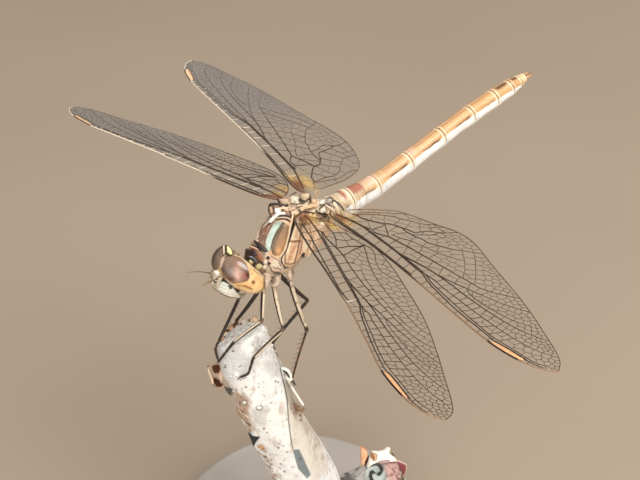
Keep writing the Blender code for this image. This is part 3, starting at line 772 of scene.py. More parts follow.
    # the same stripe looks pinkish beige on the far side
    far = step(-0.05, -0.2, p[..., 1])
    c = paint(c, (226, 198, 172), mint * far * 0.85)
    px, py = sight(p)
    U, V = (px - 240) * 14.25, (py - 180) * 14.25
    other = step(0.30, 0.10, p[..., 1]) * step(0.0, 0.08, n @ TOWARD) * step(1.0, 1.3, p[..., 0])
    pale = area(U, V, [(150, 900), (180, 740), (250, 600), (320, 480), (400, 430), (446, 500), (402, 560), (332, 650), (286, 740), (262, 850), (250, 900)], 10)
    c = paint(c, (236, 208, 182), pale * other)
    c = paint(c, (60, 38, 30), np.exp(-(near_line(U, V, [(446, 500), (402, 560), (332, 650), (286, 740), (262, 850)])[0] / 9) ** 2) * other * 0.9)
    k = seen[..., None]
    return relief, col * (1 - k) + c * k


def skin_loft(name, p, relief, col, mat, slot, replace):
    n = surface_normals(p)
    if (n * (p - p.mean(axis=1, keepdims=True))).sum() < 0:
        n = -n
    p = p + n * relief[..., None]
    rows, cols = p.shape[:2]
    v = list(p.reshape(-1, 3))
    c = list(col.reshape(-1, 3))
    faces = grid_faces(rows, cols)
    v += [p[0].mean(0), p[-1].mean(0)]
    c += [col[0].mean(0), col[-1].mean(0)]
    a, b = rows * cols, rows * cols + 1
    faces += [(a, (j + 1) % cols, j) for j in range(cols)]
    faces += [(b, (rows - 1) * cols + j, (rows - 1) * cols + (j + 1) % cols) for j in range(cols)]
    ob = make(name, W(np.array(v)), faces, mat, np.array(c), replace=replace, slot=slot)
    return outward(ob)


def outward(ob):
    """Turns a closed mesh's faces outward."""
    me = ob.data
    tri = [(p.vertices[0], p.vertices[k], p.vertices[k + 1]) for p in me.polygons for k in range(1, len(p.vertices) - 1)]
    co = np.array([v.co for v in me.vertices])
    t = np.array(tri)
    vol = np.einsum("ij,ij->i", co[t[:, 0]], np.cross(co[t[:, 1]], co[t[:, 2]])).sum()
    if vol < 0:
        me.flip_normals()
    return ob


def trim_below(p):
    """Draws the thorax's underside in to the outline it has in the picture."""
    px, py = sight(p)
    out, along = 0.72 * px + 0.69 * py, -0.69 * px + 0.72 * py
    line = [(310.3, 255.5), (302.9, 257.6), (299.7, 261.3), (295.5, 266.6), (289.2, 271.3), (288.2, 274.5), (282.9, 273.9), (274.5, 273.5)]
    w = [-48.0] + [-0.69 * x + 0.72 * y for x, y in line] + [16.0]
    e = [430.0] + [0.72 * x + 0.69 * y for x, y in line] + [405.0]
    over = out - np.interp(along, w, e)
    over = over - 1.0
    soft = np.where(over > -6, -6 * np.exp(-(np.maximum(over, -6) + 6) / 6), over)
    return p + (CAM_RIGHT * 0.72 - UPWARD * 0.69) * ((soft - over) / 11.16)[..., None]


p = trim_below(thorax_surface(230, 300))
relief, col = thorax_marks(p)
_n = surface_normals(p)
relief, col = thorax_side(p, _n if (_n * (p - p.mean(axis=1, keepdims=True))).sum() > 0 else -_n, col, relief)
skin_loft("thorax_skin", p, relief, col, MAT_SHELL, "shell_brown", ["thorax"])

# ---------------------------------------------------------------- wing roots and the ridge between them
_n = surface_normals(p)
if (_n * (p - p.mean(axis=1, keepdims=True))).sum() < 0:
    _n = -_n
_face = (_n @ TOWARD > 0.05)
_skin = p[_face]
_sx, _sy = sight(_skin)
roof = Bag()


def seat(points, lift=0.0):
    """Body-frame points on the thorax under picture positions given 14.25 steps a pixel from (240, 180)."""
    px = [(240 + x / 14.25, 180 + y / 14.25) for x, y in points]
    anchors = []
    for x, y in px:
        d = np.hypot(_sx - x, _sy - y)
        anchors.append(tuple(_skin[int(np.argmin(d + 0.0))]))
    return lay(px, anchors, lift)


def strip(points, r, tone, lift=0.05, ends=0.4, on=None):
    t = np.linspace(0, 1, 6 * len(points))
    rr = r * np.interp(t, [0, 0.12, 0.88, 1], [ends, 1, 1, ends])
    if on is None:
        path = seat(points, lift)
    else:
        path = lay([(240 + x / 14.25, 180 + y / 14.25) for x, y in points], [tuple(seat([on])[0])] * len(points), lift)
    roof.tube(catmull(path, t), rr, 8, lambda tt, aa, v: lin(tone) * (0.82 + 0.3 * fbm(v, 4.0, 2, 19))[:, None])


def knob(x, y, r, tone, lift=0.05, long=1.0, lean=0.0):
    at = seat([(x, y)], lift)[0]
    roof.ball(at, (r * long, r, r * 0.9), lambda q, v, tone=tone: lin(tone) * (0.8 + 0.34 * fbm(v, 3.5, 3, 23))[:, None], turn(lean, 25, 0), seg=22, rings=15,
              shape=lambda v: v * (1 + 0.16 * (fbm(v, 3.0, 2, 29) - 0.5))[:, None])


def flap(outline, thick, tone, rim, lift=0.1, bulge=0.1, fold=0.0):
    mid = np.array(outline, float).mean(0)
    plate(roof, [(240 + x / 14.25, 180 + y / 14.25) for x, y in outline], tuple(seat([tuple(mid)], lift)[0]), thick, tone, rim, bulge, fold)


# ridge across the front, with the white Y on its middle
flap([(412, 470), (408, 400), (420, 348), (470, 336), (560, 338), (600, 372), (660, 400), (720, 440), (740, 500), (735, 560), (700, 560), (600, 520), (520, 530), (450, 560)],
     0.30, (166, 130, 102), (76, 54, 40), 0.16, 0.10)
strip([(436, 380), (444, 430), (452, 470)], 0.16, (196, 160, 130), 0.46, on=(577, 448))
strip([(412, 470), (412, 400), (424, 350), (474, 338), (560, 342), (596, 376)], 0.085, (52, 34, 24), 0.46, on=(577, 448))
strip([(476, 366), (470, 430), (478, 490)], 0.07, (60, 40, 30), 0.46, on=(577, 448))
strip([(508, 402), (524, 440), (536, 486), (486, 534), (448, 574), (418, 608)], 0.17, (255, 252, 240), 0.46, on=(577, 448))
strip([(540, 486), (590, 478), (648, 478)], 0.13, (255, 250, 238), 0.46, on=(577, 448))
strip([(534, 400), (552, 440), (552, 480)], 0.19, (250, 246, 236), 0.46, on=(577, 448))
strip([(556, 420), (590, 400), (640, 404), (690, 440)], 0.13, (232, 202, 172), 0.46, on=(577, 448))
strip([(560, 372), (600, 396), (610, 440)], 0.07, (64, 44, 32), 0.46, on=(577, 448))
strip([(524, 528), (590, 508), (660, 504), (712, 528)], 0.085, (44, 30, 22), 0.46, on=(577, 448))
strip([(520, 546), (600, 534), (680, 542), (722, 566)], 0.07, (226, 198, 166), 0.46, on=(577, 448))
strip([(514, 566), (600, 554), (680, 572), (716, 600)], 0.085, (56, 38, 26), 0.46, on=(577, 448))
strip([(470, 560), (440, 600), (420, 640)], 0.06, (60, 30, 22), 0.46, on=(577, 448))
# far wing roots
flap([(540, 262), (640, 250), (706, 262), (712, 320), (690, 380), (640, 420), (580, 400), (548, 330)], 0.7, (206, 176, 146), (150, 116, 88), 0.15, 0.25)
strip([(540, 262), (556, 310), (600, 348), (650, 372)], 0.10, (70, 48, 34), 0.45)
strip([(580, 252), (620, 300), (650, 352), (684, 366)], 0.09, (66, 44, 30), 0.50)
strip([(604, 362), (640, 396), (700, 400)], 0.10, (232, 204, 172), 0.40)
knob(660, 300, 0.22, (236, 196, 170), 0.45)
strip([(690, 250), (700, 300), (690, 350)], 0.09, (226, 196, 164), 0.45)
knob(770, 300, 0.44, (232, 224, 200), 0.25, 1.2)
knob(742, 262, 0.30, (226, 208, 180), 0.25)
knob(806, 322, 0.26, (220, 206, 184), 0.36)
strip([(716, 330), (770, 352), (830, 344)], 0.06, (120, 98, 74), 0.50)
strip([(790, 250), (800, 290), (832, 310)], 0.05, (150, 128, 100), 0.62)
strip([(716, 232), (760, 196), (806, 176)], 0.07, (96, 72, 54), 0.40)
strip([(840, 276), (880, 296), (920, 318)], 0.15, (66, 58, 50), 0.45)
strip([(846, 320), (900, 316), (950, 290), (1000, 250)], 0.08, (104, 76, 54), 0.40)
flap([(850, 210), (900, 180), (990, 184), (1010, 260), (990, 330), (930, 350), (860, 300)], 0.6, (214, 188, 154), (150, 120, 88), 0.10, 0.2)
strip([(930, 230), (990, 220), (1006, 280), (996, 340)], 0.08, (84, 60, 42), 0.50)
strip([(1100, 140), (1076, 180), (1082, 240), (1070, 300)], 0.07, (206, 176, 128), 0.35)
strip([(1128, 130), (1126, 180), (1108, 240)], 0.05, (206, 178, 132), 0.40)
knob(1046, 310, 0.30, (226, 184, 144), 0.20)
# cream ridges down the middle
strip([(700, 440), (740, 412), (790, 396)], 0.12, (224, 190, 156), 0.30)
strip([(786, 400), (840, 386), (900, 378)], 0.07, (112, 84, 62), 0.36)
strip([(850, 436), (920, 416), (1020, 390), (1110, 366)], 0.17, (232, 194, 150), 0.30)
strip([(846, 404), (920, 392), (1010, 364), (1090, 340)], 0.11, (240, 208, 168), 0.30)
strip([(900, 424), (980, 410), (1060, 388)], 0.045, (112, 76, 46), 0.50)
knob(1165, 322, 0.29, (232, 228, 212), 0.20, 1.25)
knob(1196, 316, 0.20, (214, 204, 184), 0.26)
strip([(1136, 292), (1180, 294), (1212, 306)], 0.08, (84, 62, 46), 0.42)
strip([(1130, 352), (1180, 362), (1214, 340)], 0.07, (92, 70, 54), 0.40)
knob(1172, 436, 0.28, (228, 216, 194), 0.20, 1.35)
knob(1206, 446, 0.20, (206, 190, 166), 0.26)
strip([(1124, 420), (1150, 396), (1210, 396), (1236, 430), (1216, 468), (1160, 476), (1120, 452)], 0.065, (70, 52, 40), 0.36)
strip([(1086, 420), (1094, 450), (1130, 480), (1200, 492), (1270, 486)], 0.08, (54, 40, 30), 0.36)
knob(1262, 300, 0.30, (178, 172, 158), 0.10, 1.2)
knob(1292, 286, 0.22, (206, 198, 180), 0.16)
strip([(1228, 262), (1290, 254), (1322, 292), (1310, 340)], 0.07, (84, 70, 58), 0.32)
strip([(1214, 350), (1250, 380), (1300, 410), (1350, 450)], 0.10, (236, 220, 196), 0.30)
strip([(1330, 290), (1400, 330), (1450, 390), (1486, 440)], 0.085, (36, 28, 24), 0.30)
strip([(1240, 350), (1300, 356), (1360, 400)], 0.05, (110, 92, 74), 0.32)
# near wing roots
strip([(842, 436), (820, 470), (800, 520), (800, 590)], 0.14, (236, 204, 168), 0.30)
strip([(826, 430), (860, 452), (880, 480)], 0.10, (50, 34, 24), 0.45)
strip([(900, 460), (960, 458), (1040, 474), (1100, 510)], 0.08, (60, 42, 28), 0.35)
knob(890, 520, 0.30, (226, 160, 110), 0.28)
knob(925, 520, 0.16, (120, 50, 18), 0.48)
knob(900, 575, 0.30, (226, 172, 106), 0.25, 1.3)
knob(960, 585, 0.24, (236, 190, 126), 0.25)
strip([(850, 545), (884, 570), (880, 610)], 0.06, (120, 62, 28), 0.50)
knob(905, 632, 0.12, (60, 38, 22), 0.30, 2.2)
knob(930, 690, 0.30, (234, 196, 160), 0.14, 1.5)
knob(1040, 530, 0.26, (214, 180, 120), 0.25, 1.5)
knob(1090, 560, 0.24, (178, 150, 112), 0.25)
knob(1000, 500, 0.20, (226, 186, 130), 0.32)
knob(1160, 640, 0.34, (246, 226, 196), 0.10, 1.4)
knob(1230, 560, 0.30, (136, 116, 84), 0.20, 1.2)
knob(1150, 560, 0.18, (60, 46, 34), 0.25)
knob(1290, 500, 0.24, (238, 212, 176), 0.25, 1.4)
strip([(1180, 520), (1240, 540), (1262, 620), (1252, 700)], 0.09, (74, 52, 34), 0.30)
strip([(1266, 560), (1290, 620), (1282, 680)], 0.14, (226, 184, 104), 0.22)
strip([(960, 1090), (990, 1050), (1000, 1010)], 0.14, (240, 214, 182), 0.10)
knob(896, 1060, 0.17, (16, 12, 10), 0.06, 1.2)
outward(roof.done("wing_roots", MAT_SHELL, slot="shell_brown"))

# ================================================================ abdomen
JOINTS = [
    (-3.95, -2.7, 1.25, 1.45), (-4.75, -2.65, 1.34, 1.52), (-6.57, -2.5, 1.25, 1.4), (-9.97, -2.22, 1.08, 1.16),
    (-14.22, -1.22, 1.0, 1.03), (-18.54, -0.08, 0.97, 0.98), (-22.52, 0.87, 0.97, 0.98), (-25.81, 1.52, 0.95, 0.95),
    (-28.15, 1.93, 0.86, 0.87), (-29.55, 2.2, 0.68, 0.66), (-30.4, 2.38, 0.48, 0.45)]
ROWS = [14, 26, 40, 44, 44, 42, 36, 28, 20, 14]


def abdomen_x():
    xs = []
    for k, n in enumerate(ROWS):
        s = np.linspace(0, 1, n, endpoint=False)
        s = s - 0.10 * np.sin(2 * math.pi * s) / (2 * math.pi) * 6 * 0.9   # closer rows at the joints
        xs.append(k + s)
    return np.append(np.concatenate(xs), 10.0)


def abdomen_surface(cols=150, inset=0.03):
    x = abdomen_x()
    a = (2 * math.pi * np.arange(cols) / cols)[None, :]
    t = x / 10
    row, ahead, behind = catmull(JOINTS, t), catmull(JOINTS, t - 0.005), catmull(JOINTS, t + 0.005)
    lean = -(behind[:, 1] - ahead[:, 1]) / np.maximum(ahead[:, 0] - behind[:, 0], 1e-6)
    s = x % 1.0
    waist = 1.0 - 0.04 * np.sin(math.pi * s) ** 2
    c, sn = np.cos(a), np.sin(a)
    cl = np.sign(c) * np.abs(c) ** (2 / 2.15)
    su = np.sign(sn) * np.abs(sn) ** (2 / 2.15)
    w = (row[:, 2] * waist - inset)[:, None]
    h = (row[:, 3] * waist - inset)[:, None] * su
    l = w * cl * (1 - 0.05 * su)
    f = row[:, 0][:, None] - lean[:, None] * h * -1 * -1
    return x[:, None] + 0 * a, a + 0 * x[:, None], np.stack([f, l, row[:, 1][:, None] + h], -1)


x, a, p = abdomen_surface()
seg = np.clip(x.astype(int), 0, 9)          # 0 is S1
s = np.clip(x - seg, 0, 1)
span = np.array([JOINTS[k][0] - JOINTS[k + 1][0] for k in range(10)])[seg]
ahead_mm, behind_mm = s * span, (1 - s) * span     # distance from the ring's front and rear joints
alt = np.sin(a)                              # 1 on the back, -1 underneath
alv = np.abs(np.cos(a))
joint = np.minimum(ahead_mm, behind_mm)
relief = -0.05 * np.exp(-((ahead_mm - 0.05) / 0.05) ** 2)
relief += 0.055 * np.exp(-((behind_mm - 0.13) / 0.10) ** 2) + 0.04 * np.exp(-((ahead_mm - 0.27) / 0.075) ** 2)
keel = np.exp(-((a - math.pi / 2) / 0.07) ** 2)
relief += 0.03 * keel * step(1.5, 2.5, x)
cross1 = np.where((seg >= 1) & (seg <= 3), np.exp(-((ahead_mm - np.where(seg == 1, 0.55, 0.75)) / 0.05) ** 2), 0)
cross2 = np.where((seg == 1) | (seg == 2), np.exp(-((ahead_mm - np.where(seg == 1, 1.2, 1.7)) / 0.05) ** 2), 0)
relief += 0.03 * (cross1 + cross2) * step(-0.6, -0.2, alt)
fold = np.exp(-((alt - 0.38) / 0.05) ** 2)      # edge where the back plate folds under
relief += 0.03 * fold * step(0.5, 1.5, x) - 0.03 * np.exp(-((alt + 0.60) / 0.06) ** 2)
col = np.broadcast_to(lin((222, 174, 120)), p.shape).copy()
tone = wave(x * 2.1 + alt, 21)
col = paint(col, (206, 156, 100), 0.30 + 0.25 * tone)
col = paint(col, (236, 198, 152), step(0.0, 0.5, alt) * step(6.5, 2.0, x) * 0.45)
col = paint(col, (232, 176, 120), step(0.3, 0.9, alt) * step(3.0, 6.0, x) * 0.6)
# S1 to S3 paler beige with red marks on the back
early = step(3.0, 2.2, x)
col = paint(col, (218, 196, 164), early * 0.85)
col = paint(col, (176, 84, 62), step(0.72, 0.9, alt) * step(0.25, 0.6, wave(x * 3.4, 5) + 0.2) * step(3.6, 3.0, x) * step(1.2, 1.6, x) * 0.8)
col = paint(col, (120, 100, 84), early * step(0.2, 0.7, wave(x * 5 + alt * 3, 9)) * step(0.85, 0.5, alt) * 0.45)
# white underside, which climbs well up the sides, with a soft upper edge
edge = np.interp(x, [0.6, 1.2, 2, 3, 4, 5, 6, 7, 8, 8.8, 9.1], [-0.1, 0.18, 0.34, 0.42, 0.46, 0.46, 0.44, 0.38, 0.26, 0.06, -0.9]) \
    + 0.025 * wave(x * 6, 31) - 0.06 * step(0.10, 0.0, s)
white = step(edge + 0.07, edge - 0.05, alt)
col = paint(col, (255, 254, 250), white * step(0.9, 1.6, x))
# painted shade: a grey-blue line along the fold low on the white flank
col = paint(col, (206, 212, 210), white * stroke(x * 1.0, alt, [(0, -0.55), (10, -0.62)], 0.05) * 0.7)
col = paint(col, (222, 222, 214), white * step(0.50, 0.66, fbm(p, 1.1, 3, 61)) * 0.7 * step(4.5, 2.0, x))
# dark streak along each side, in the rear half of each ring
mid = edge + 0.11
streak = np.exp(-((alt - mid) / (0.045 + 0.05 * step(0.3, 0.8, s))) ** 2) * step(0.30, 0.42, s) * step(0.90, 0.84, s)
amount = np.interp(seg, [0, 1, 2, 3, 4, 5, 6, 7, 8, 9], [0, 0.3, 0.6, 1, 1, 0.85, 0.4, 0.15, 0, 0])
col = paint(col, (44, 28, 14), np.minimum(1, streak * amount * (0.95 + 0.3 * wave(x * 12 + alt * 9, 41))))
col = paint(col, (186, 132, 78), np.exp(-((alt - mid - 0.14) / 0.12) ** 2) * step(0.15, 0.3, s) * amount * 0.5)
# thin dark keel and dark marks on the back of S8 and S9
col = paint(col, (120, 78, 44), keel * step(3, 4, x) * 0.6)
col = paint(col, (52, 34, 24), np.exp(-((a - math.pi / 2) / 0.30) ** 2) * np.where((seg == 7) | (seg == 8), step(0.15, 0.3, s) * step(0.9, 0.75, s), 0) * 0.85)
# joints: two cream rings, before and after each, with a dark hair line between
ring1 = np.exp(-((behind_mm - 0.13) / 0.10) ** 2) * step(0.4, 0.9, x)
ring2 = np.exp(-((ahead_mm - 0.27) / 0.075) ** 2) * step(1.5, 2.2, x) * step(8.6, 7.6, x)
col = paint(col, (252, 232, 198), np.maximum(ring1, ring2 * 0.9) * step(-0.6, 0.0, alt))
col = paint(col, (70, 46, 24), np.exp(-((ahead_mm - 0.06) / 0.045) ** 2) * step(-0.4, 0.1, alt) * step(0.2, 0.8, x) * 0.85)
col = paint(col, (88, 60, 30), np.exp(-((ahead_mm - 0.40) / 0.035) ** 2) * step(0.1, 0.5, alt) * step(1.5, 2.2, x) * step(8.6, 7.6, x) * 0.6)
col = paint(col, (90, 70, 56), (cross1 + cross2) * step(-0.3, 0.0, alt) * 0.35)
col = paint(col, (255, 216, 168), step(9.05, 9.2, x) * 0.9)
# painted highlights: pinkish spots on the back of S3 and S4
col = paint(col, (250, 200, 176), blob(x, alt, 2.85, 0.95, 0.16, 0.10) * 0.8 + blob(x, alt, 4.15, 0.97, 0.10, 0.06) * 0.7)
skin_loft("abdomen_skin", p, relief, col, MAT_ABDOMEN, "abdomen_tan", ["abdomen_%02d" % k for k in range(1, 11)])

# tail appendages
tail = Bag()
for side in (1, -1):
    t = np.linspace(0, 1, 12)
    path = catmull([(-30.25, 0.24 * side, 2.42), (-30.75, 0.29 * side, 2.46), (-31.25, 0.25 * side, 2.46), (-31.65, 0.15 * side, 2.42)], t)
    r = np.interp(t, [0, 0.3, 0.75, 1], [0.13, 0.17, 0.12, 0.03])
    tail.tube(path, r, 12, lambda tt, aa, v: paint(np.broadcast_to(lin((206, 160, 116)), (len(tt), 3)), (120, 86, 58), step(0.5, 1, tt) * 0.7))
path = catmull([(-30.3, 0, 2.2), (-30.75, 0, 2.22), (-31.05, 0, 2.27)], np.linspace(0, 1, 8))
tail.tube(path, np.interp(np.linspace(0, 1, 8), [0, 0.6, 1], [0.22, 0.17, 0.04]), 12, lin((176, 128, 84)))
outward(tail.done("tail_appendages", MAT_ABDOMEN, replace=["cercus_left", "cercus_right"], slot="abdomen_tan"))

# ================================================================ head
EYE_AT, EYE_AXES, EYE_TURN = (6.59, 1.12, -3.68), (1.36, 1.36, 2.27), (52.0, 30.0, 12.5)
EYE_ROT = turn(*EYE_TURN)
EYE_REAR = 1.18


CAP = [(520, 425), (640, 462), (760, 495), (860, 565), (930, 650), (975, 740), (992, 830), (1008, 900), (1000, 965),
       (955, 1025), (880, 1058), (790, 1072), (700, 1085), (620, 1085), (545, 1045), (470, 965), (425, 885), (372, 800),
       (362, 700), (400, 590), (450, 500)]


def eye_colour(q, p, n):
    """q: place on the unit sphere in the eye's own axes (front, side, long); p, n: body-frame point and normal (left eye)."""
    x, y, z = q[..., 0], q[..., 1], q[..., 2]
    zb = -0.33 + np.where(x < 0.14, 1.14, 0.75) * (x - 0.14) ** 2 + 0.012 * wave(x * 9, 2)
    col = np.broadcast_to(lin((226, 180, 118)), q.shape).copy()
    col = paint(col, (244, 210, 152), step(-0.35, -0.7, z) * 0.7)
    col = paint(col, (186, 138, 82), step(0.1, 0.7, wave(np.arctan2(z, x) * 4 + z * 3, 6)) * step(0.0, -0.3, z) * 0.35)
    cap = step(zb - 0.045, zb + 0.045, z)
    col = paint(col, (126, 102, 88), cap)
    col = paint(col, (108, 86, 74), cap * step(0.35, 0.75, z) * 0.6)
    col = paint(col, (112, 66, 48), cap * bump1(z - zb, 0.06, 0.08) * step(0.2, 0.6, x) * 0.7)
    rim = step(-0.70, -0.80, x)
    col = paint(col, (238, 208, 166), rim)
    col = paint(col, (96, 72, 48), np.exp(-((x + 0.70) / 0.03) ** 2) * 0.6)
    # the side that shows in the photo, mark by mark
    X, Y = close_up(p)
    X = X + 9 * (fbm(p, 2.6, 2, 3) - 0.5)
    Y = Y + 9 * (fbm(p, 2.6, 2, 4) - 0.5)
    seen = step(0.0, 0.12, n @ TOWARD)
    c = np.broadcast_to(lin((240, 196, 134)), q.shape).copy()
    c = paint(c, (246, 208, 144), blob(X, Y, 1150, 1180, 200, 90) * 0.8)
    c = paint(c, (252, 220, 158), blob(X, Y, 1060, 1245, 170, 38))
    c = paint(c, (214, 164, 104), blob(X, Y, 1180, 970, 70, 60) * 0.7)
    c = paint(c, (206, 160, 102), blob(X, Y, 1275, 1070, 50, 60) * 0.6)
    c = paint(c, (226, 178, 124), blob(X, Y, 1010, 1130, 160, 40) * 0.6)
    c = paint(c, (242, 212, 172), stroke(X, Y, [(560, 428), (700, 450), (830, 500), (945, 600), (1060, 715), (1180, 815), (1300, 930)], 44))
    c = paint(c, (250, 224, 176), stroke(X, Y, [(1020, 640), (1120, 745), (1220, 835), (1310, 930)], 18) * 0.8)
    c = paint(c, (170, 116, 68), stroke(X, Y, [(1085, 770), (1160, 840), (1260, 905)], 15) * 0.9)
    c = paint(c, (150, 96, 54), stroke(X, Y, [(1012, 770), (1055, 870)], 15) * 0.9)
    c = paint(c, (244, 206, 156), stroke(X, Y, [(1030, 800), (1020, 900), (1030, 980), (985, 1060)], 18) * 0.7)
    c = paint(c, (140, 94, 46), step(54, 34, np.hypot(X - 1082, Y - 1060)))
    c = paint(c, (156, 102, 52), stroke(X, Y, [(895, 1145), (960, 1172), (1045, 1212)], 24))
    c = paint(c, (168, 122, 72), stroke(X, Y, [(735, 1130), (830, 1134), (900, 1150)], 17) * 0.8)
    c = paint(c, (184, 118, 74), stroke(X, Y, [(740, 1205), (820, 1245), (925, 1292)], 26) * 0.8)
    c = paint(c, (248, 212, 156), stroke(X, Y, [(790, 1185), (880, 1220), (960, 1262)], 22) * 0.9)
    # painted shadow: a dark olive band and line along the eye's right rim, where it meets the neck
    c = paint(c, (84, 62, 26), step(1290, 1335, X) * step(880, 960, Y) * 0.85)
    c = paint(c, (112, 82, 34), stroke(X, Y, [(1318, 900), (1330, 1000), (1326, 1100), (1300, 1200), (1230, 1270), (1130, 1308)], 12) * 0.8)
    c = paint(c, (62, 42, 26), stroke(X, Y, [(352, 740), (398, 862), (440, 958), (520, 1062), (604, 1146), (706, 1246)], 20) * 0.9)
    c = paint(c, (240, 206, 180), stroke(X, Y, [(470, 985), (560, 1082), (664, 1160)], 9) * 0.8)
    c = paint(c, (146, 116, 66), stroke(X, Y, [(1270, 1235), (1140, 1318), (990, 1338), (850, 1290)], 20) * 0.6)
    m = area(X, Y, CAP, 14)
    k = np.broadcast_to(lin((130, 108, 92)), q.shape).copy()
    k = paint(k, (146, 122, 102), blob(X, Y, 600, 540, 130, 90) * 0.8)
    k = paint(k, (112, 94, 82), blob(X, Y, 470, 830, 110, 130) * 0.9)
    # painted highlight: a small lighter band on the cap's upper left
    k = paint(k, (152, 126, 112), blob(X, Y, 500, 690, 40, 90) * 0.7)
    k = paint(k, (150, 106, 86), blob(X, Y, 740, 620, 80, 140) * 0.8)
    k = paint(k, (208, 160, 134), blob(X, Y, 730, 900, 85, 190) * 0.95)
    k = paint(k, (104, 60, 44), blob(X, Y, 560, 985, 95, 48) * 0.95)
    k = paint(k, (156, 62, 26), blob(X, Y, 885, 925, 75, 85) * 0.95)
    k = paint(k, (72, 16, 2), blob(X, Y, 956, 900, 50, 95))
    k = paint(k, (112, 56, 30), blob(X, Y, 930, 1010, 60, 28) * 0.9)
    k = paint(k, (72, 56, 48), stroke(X, Y, [(450, 520), (402, 620), (375, 720), (405, 850), (450, 950)], 26) * 0.75)
    c = c * (1 - m[..., None]) + k * m[..., None]
    c = paint(c, (240, 208, 186), stroke(X, Y, [(535, 420), (440, 510), (385, 610), (355, 690), (290, 750)], 22) * 0.95)
    c = paint(c, (240, 214, 176), stroke(X, Y, [(470, 985), (560, 1070), (660, 1130)], 10) * 0.5)
    col = col * (1 - seen[..., None]) + c * seen[..., None]
    # the seam where the two eyes meet
    l = p[..., 1]
    col = paint(col, (216, 190, 168), step(0.20, 0.12, l) * step(-3.3, -3.0, p[..., 2]) * (1 - seen))
    return col


def refit(p, facing, centre, outline, mirror):
    """Moves an eye's surface in the plane across the camera so its edge follows an outline."""
    q = p * np.array([1, -1, 1]) if mirror else p.copy()
    px, py = sight(q)
    X, Y = (px - 205) * 22.4, (py - 235) * 22.4
    dx, dy = X - centre[0], Y - centre[1]
    ang, rad = np.arctan2(dy, dx), np.hypot(dx, dy)
    want = np.array(outline, float) - np.array(centre)
    wa, wr = np.arctan2(want[:, 1], want[:, 0]), np.hypot(want[:, 0], want[:, 1])
    bins = np.linspace(wa[0], wa[-1], 25)
    have = []
    for b in bins:
        m = (np.abs(ang - b) < 0.07)
        have.append(rad[m].max() if m.any() else np.interp(b, wa, wr))
    have = np.convolve(np.pad(have, 2, mode="edge"), np.ones(5) / 5, "valid")
    s = np.interp(ang, bins, np.interp(bins, wa, wr) / have)
    fade = step(wa[0] - 0.30, wa[0] + 0.05, ang) * step(wa[-1] + 0.30, wa[-1] - 0.05, ang)
    s = 1 + (s - 1) * fade * step(0.15, 0.75, rad / np.interp(ang, bins, have))
    mid = lay([(205 + centre[0] / 22.4, 235 + centre[1] / 22.4)], [tuple(q.reshape(-1, 3).mean(0))])[0]
    d = q - mid
    a, b = d @ CAM_RIGHT, d @ UPWARD
    q = q + (a * (s - 1))[..., None] * CAM_RIGHT + (b * (s - 1))[..., None] * UPWARD
    return q * np.array([1, -1, 1]) if mirror else q


NEAR_EDGE = [(560, 408), (640, 430), (760, 450), (850, 474), (950, 562), (1050, 664), (1110, 728), (1210, 822), (1296, 880), (1350, 960), (1372, 1060), (1356, 1150), (1300, 1240),
             (1194, 1302), (1080, 1328), (960, 1318), (862, 1290), (790, 1258)]
FAR_EDGE = [(330, 250), (400, 224), (440, 220), (500, 224), (560, 240), (610, 296), (640, 366), (652, 430)]


def far_eye(p, col):
    """The far eye as the photo shows it: grey-brown, dark at its outer edge."""
    px, py = sight(p)
    X, Y = (px - 205) * 22.4, (py - 235) * 22.4
    m = area(X, Y, [(100, 150), (416, 150), (418, 470), (360, 560), (322, 700), (270, 790), (100, 790)], 10)
    k = np.broadcast_to(lin((140, 118, 98)), p.shape).copy()
    k = paint(k, (118, 98, 82), blob(X, Y, 230, 620, 90, 130) * 0.7)
    k = paint(k, (44, 28, 14), stroke(X, Y, [(420, 235), (338, 285), (264, 360), (208, 450), (174, 560), (164, 660), (184, 750)], 30) * 0.97)
    k = paint(k, (60, 42, 26), stroke(X, Y, [(165, 745), (230, 760), (290, 750)], 12) * 0.8)
    col = col * (1 - m[..., None]) + k * m[..., None]
    return paint(col, (84, 64, 34), step(500, 560, X) * step(440, 420, Y) * 0.9)


def eye(side):
    rows, cols = 130, 180
    th = np.linspace(0, math.pi, rows)
    ph = 2 * math.pi * np.arange(cols) / cols
    q = np.stack([np.sin(th)[:, None] * np.cos(ph), np.sin(th)[:, None] * np.sin(ph), np.cos(th)[:, None] + 0 * ph], -1)
    grow = np.array(EYE_AXES) * np.stack([np.where(q[..., 0] < 0, 1 + (EYE_REAR - 1) * step(0.25, -0.45, q[..., 2]), 1.0), np.ones(q.shape[:2]), np.where(q[..., 2] < 0, 1.05, 1.0)], -1)
    p = (q * grow) @ EYE_ROT.T + np.array(EYE_AT)
    n = unit(q / grow) @ EYE_ROT.T
    # soft flattening where the two eyes meet
    before = p.copy()
    p = refit(p, n @ TOWARD > -0.1, (870, 870), NEAR_EDGE, False)
    p = refit(p, n @ TOWARD > -0.1, (400, 480), FAR_EDGE, True)
    move = p - before       # evened out, so that the eye stays smoothly round
    for _ in range(140):
        up, down = np.concatenate([move[:1], move[:-1]]), np.concatenate([move[1:], move[-1:]])
        move = 0.5 * move + 0.125 * (np.roll(move, 1, 1) + np.roll(move, -1, 1) + up + down)
    p = before + move
    l = p[..., 1]
    p[..., 1] = np.where(l < 0.22, 0.06 + 0.16 * np.exp((l - 0.22) / 0.16), l)
    col = eye_colour(q, p, n)
    p[..., 1] *= side
    if side < 0:
        col = far_eye(p, col)
    v = p.reshape(-1, 3)
    ob = make("eye_%s_cornea" % ("left" if side > 0 else "right"), W(v), grid_faces(rows, cols), MAT_EYE if side > 0 else MAT_EYE_FAR,
              col.reshape(-1, 3), replace=["eye_left" if side > 0 else "eye_right"], slot="eye")
    me = ob.data
    import bmesh
    bm = bmesh.new()
    bm.from_mesh(me)
    bmesh.ops.remove_doubles(bm, verts=bm.verts, dist=1e-7)
    bm.to_mesh(me)
    bm.free()
    me.shade_smooth()
    return outward(ob)


eye(1)
eye(-1)

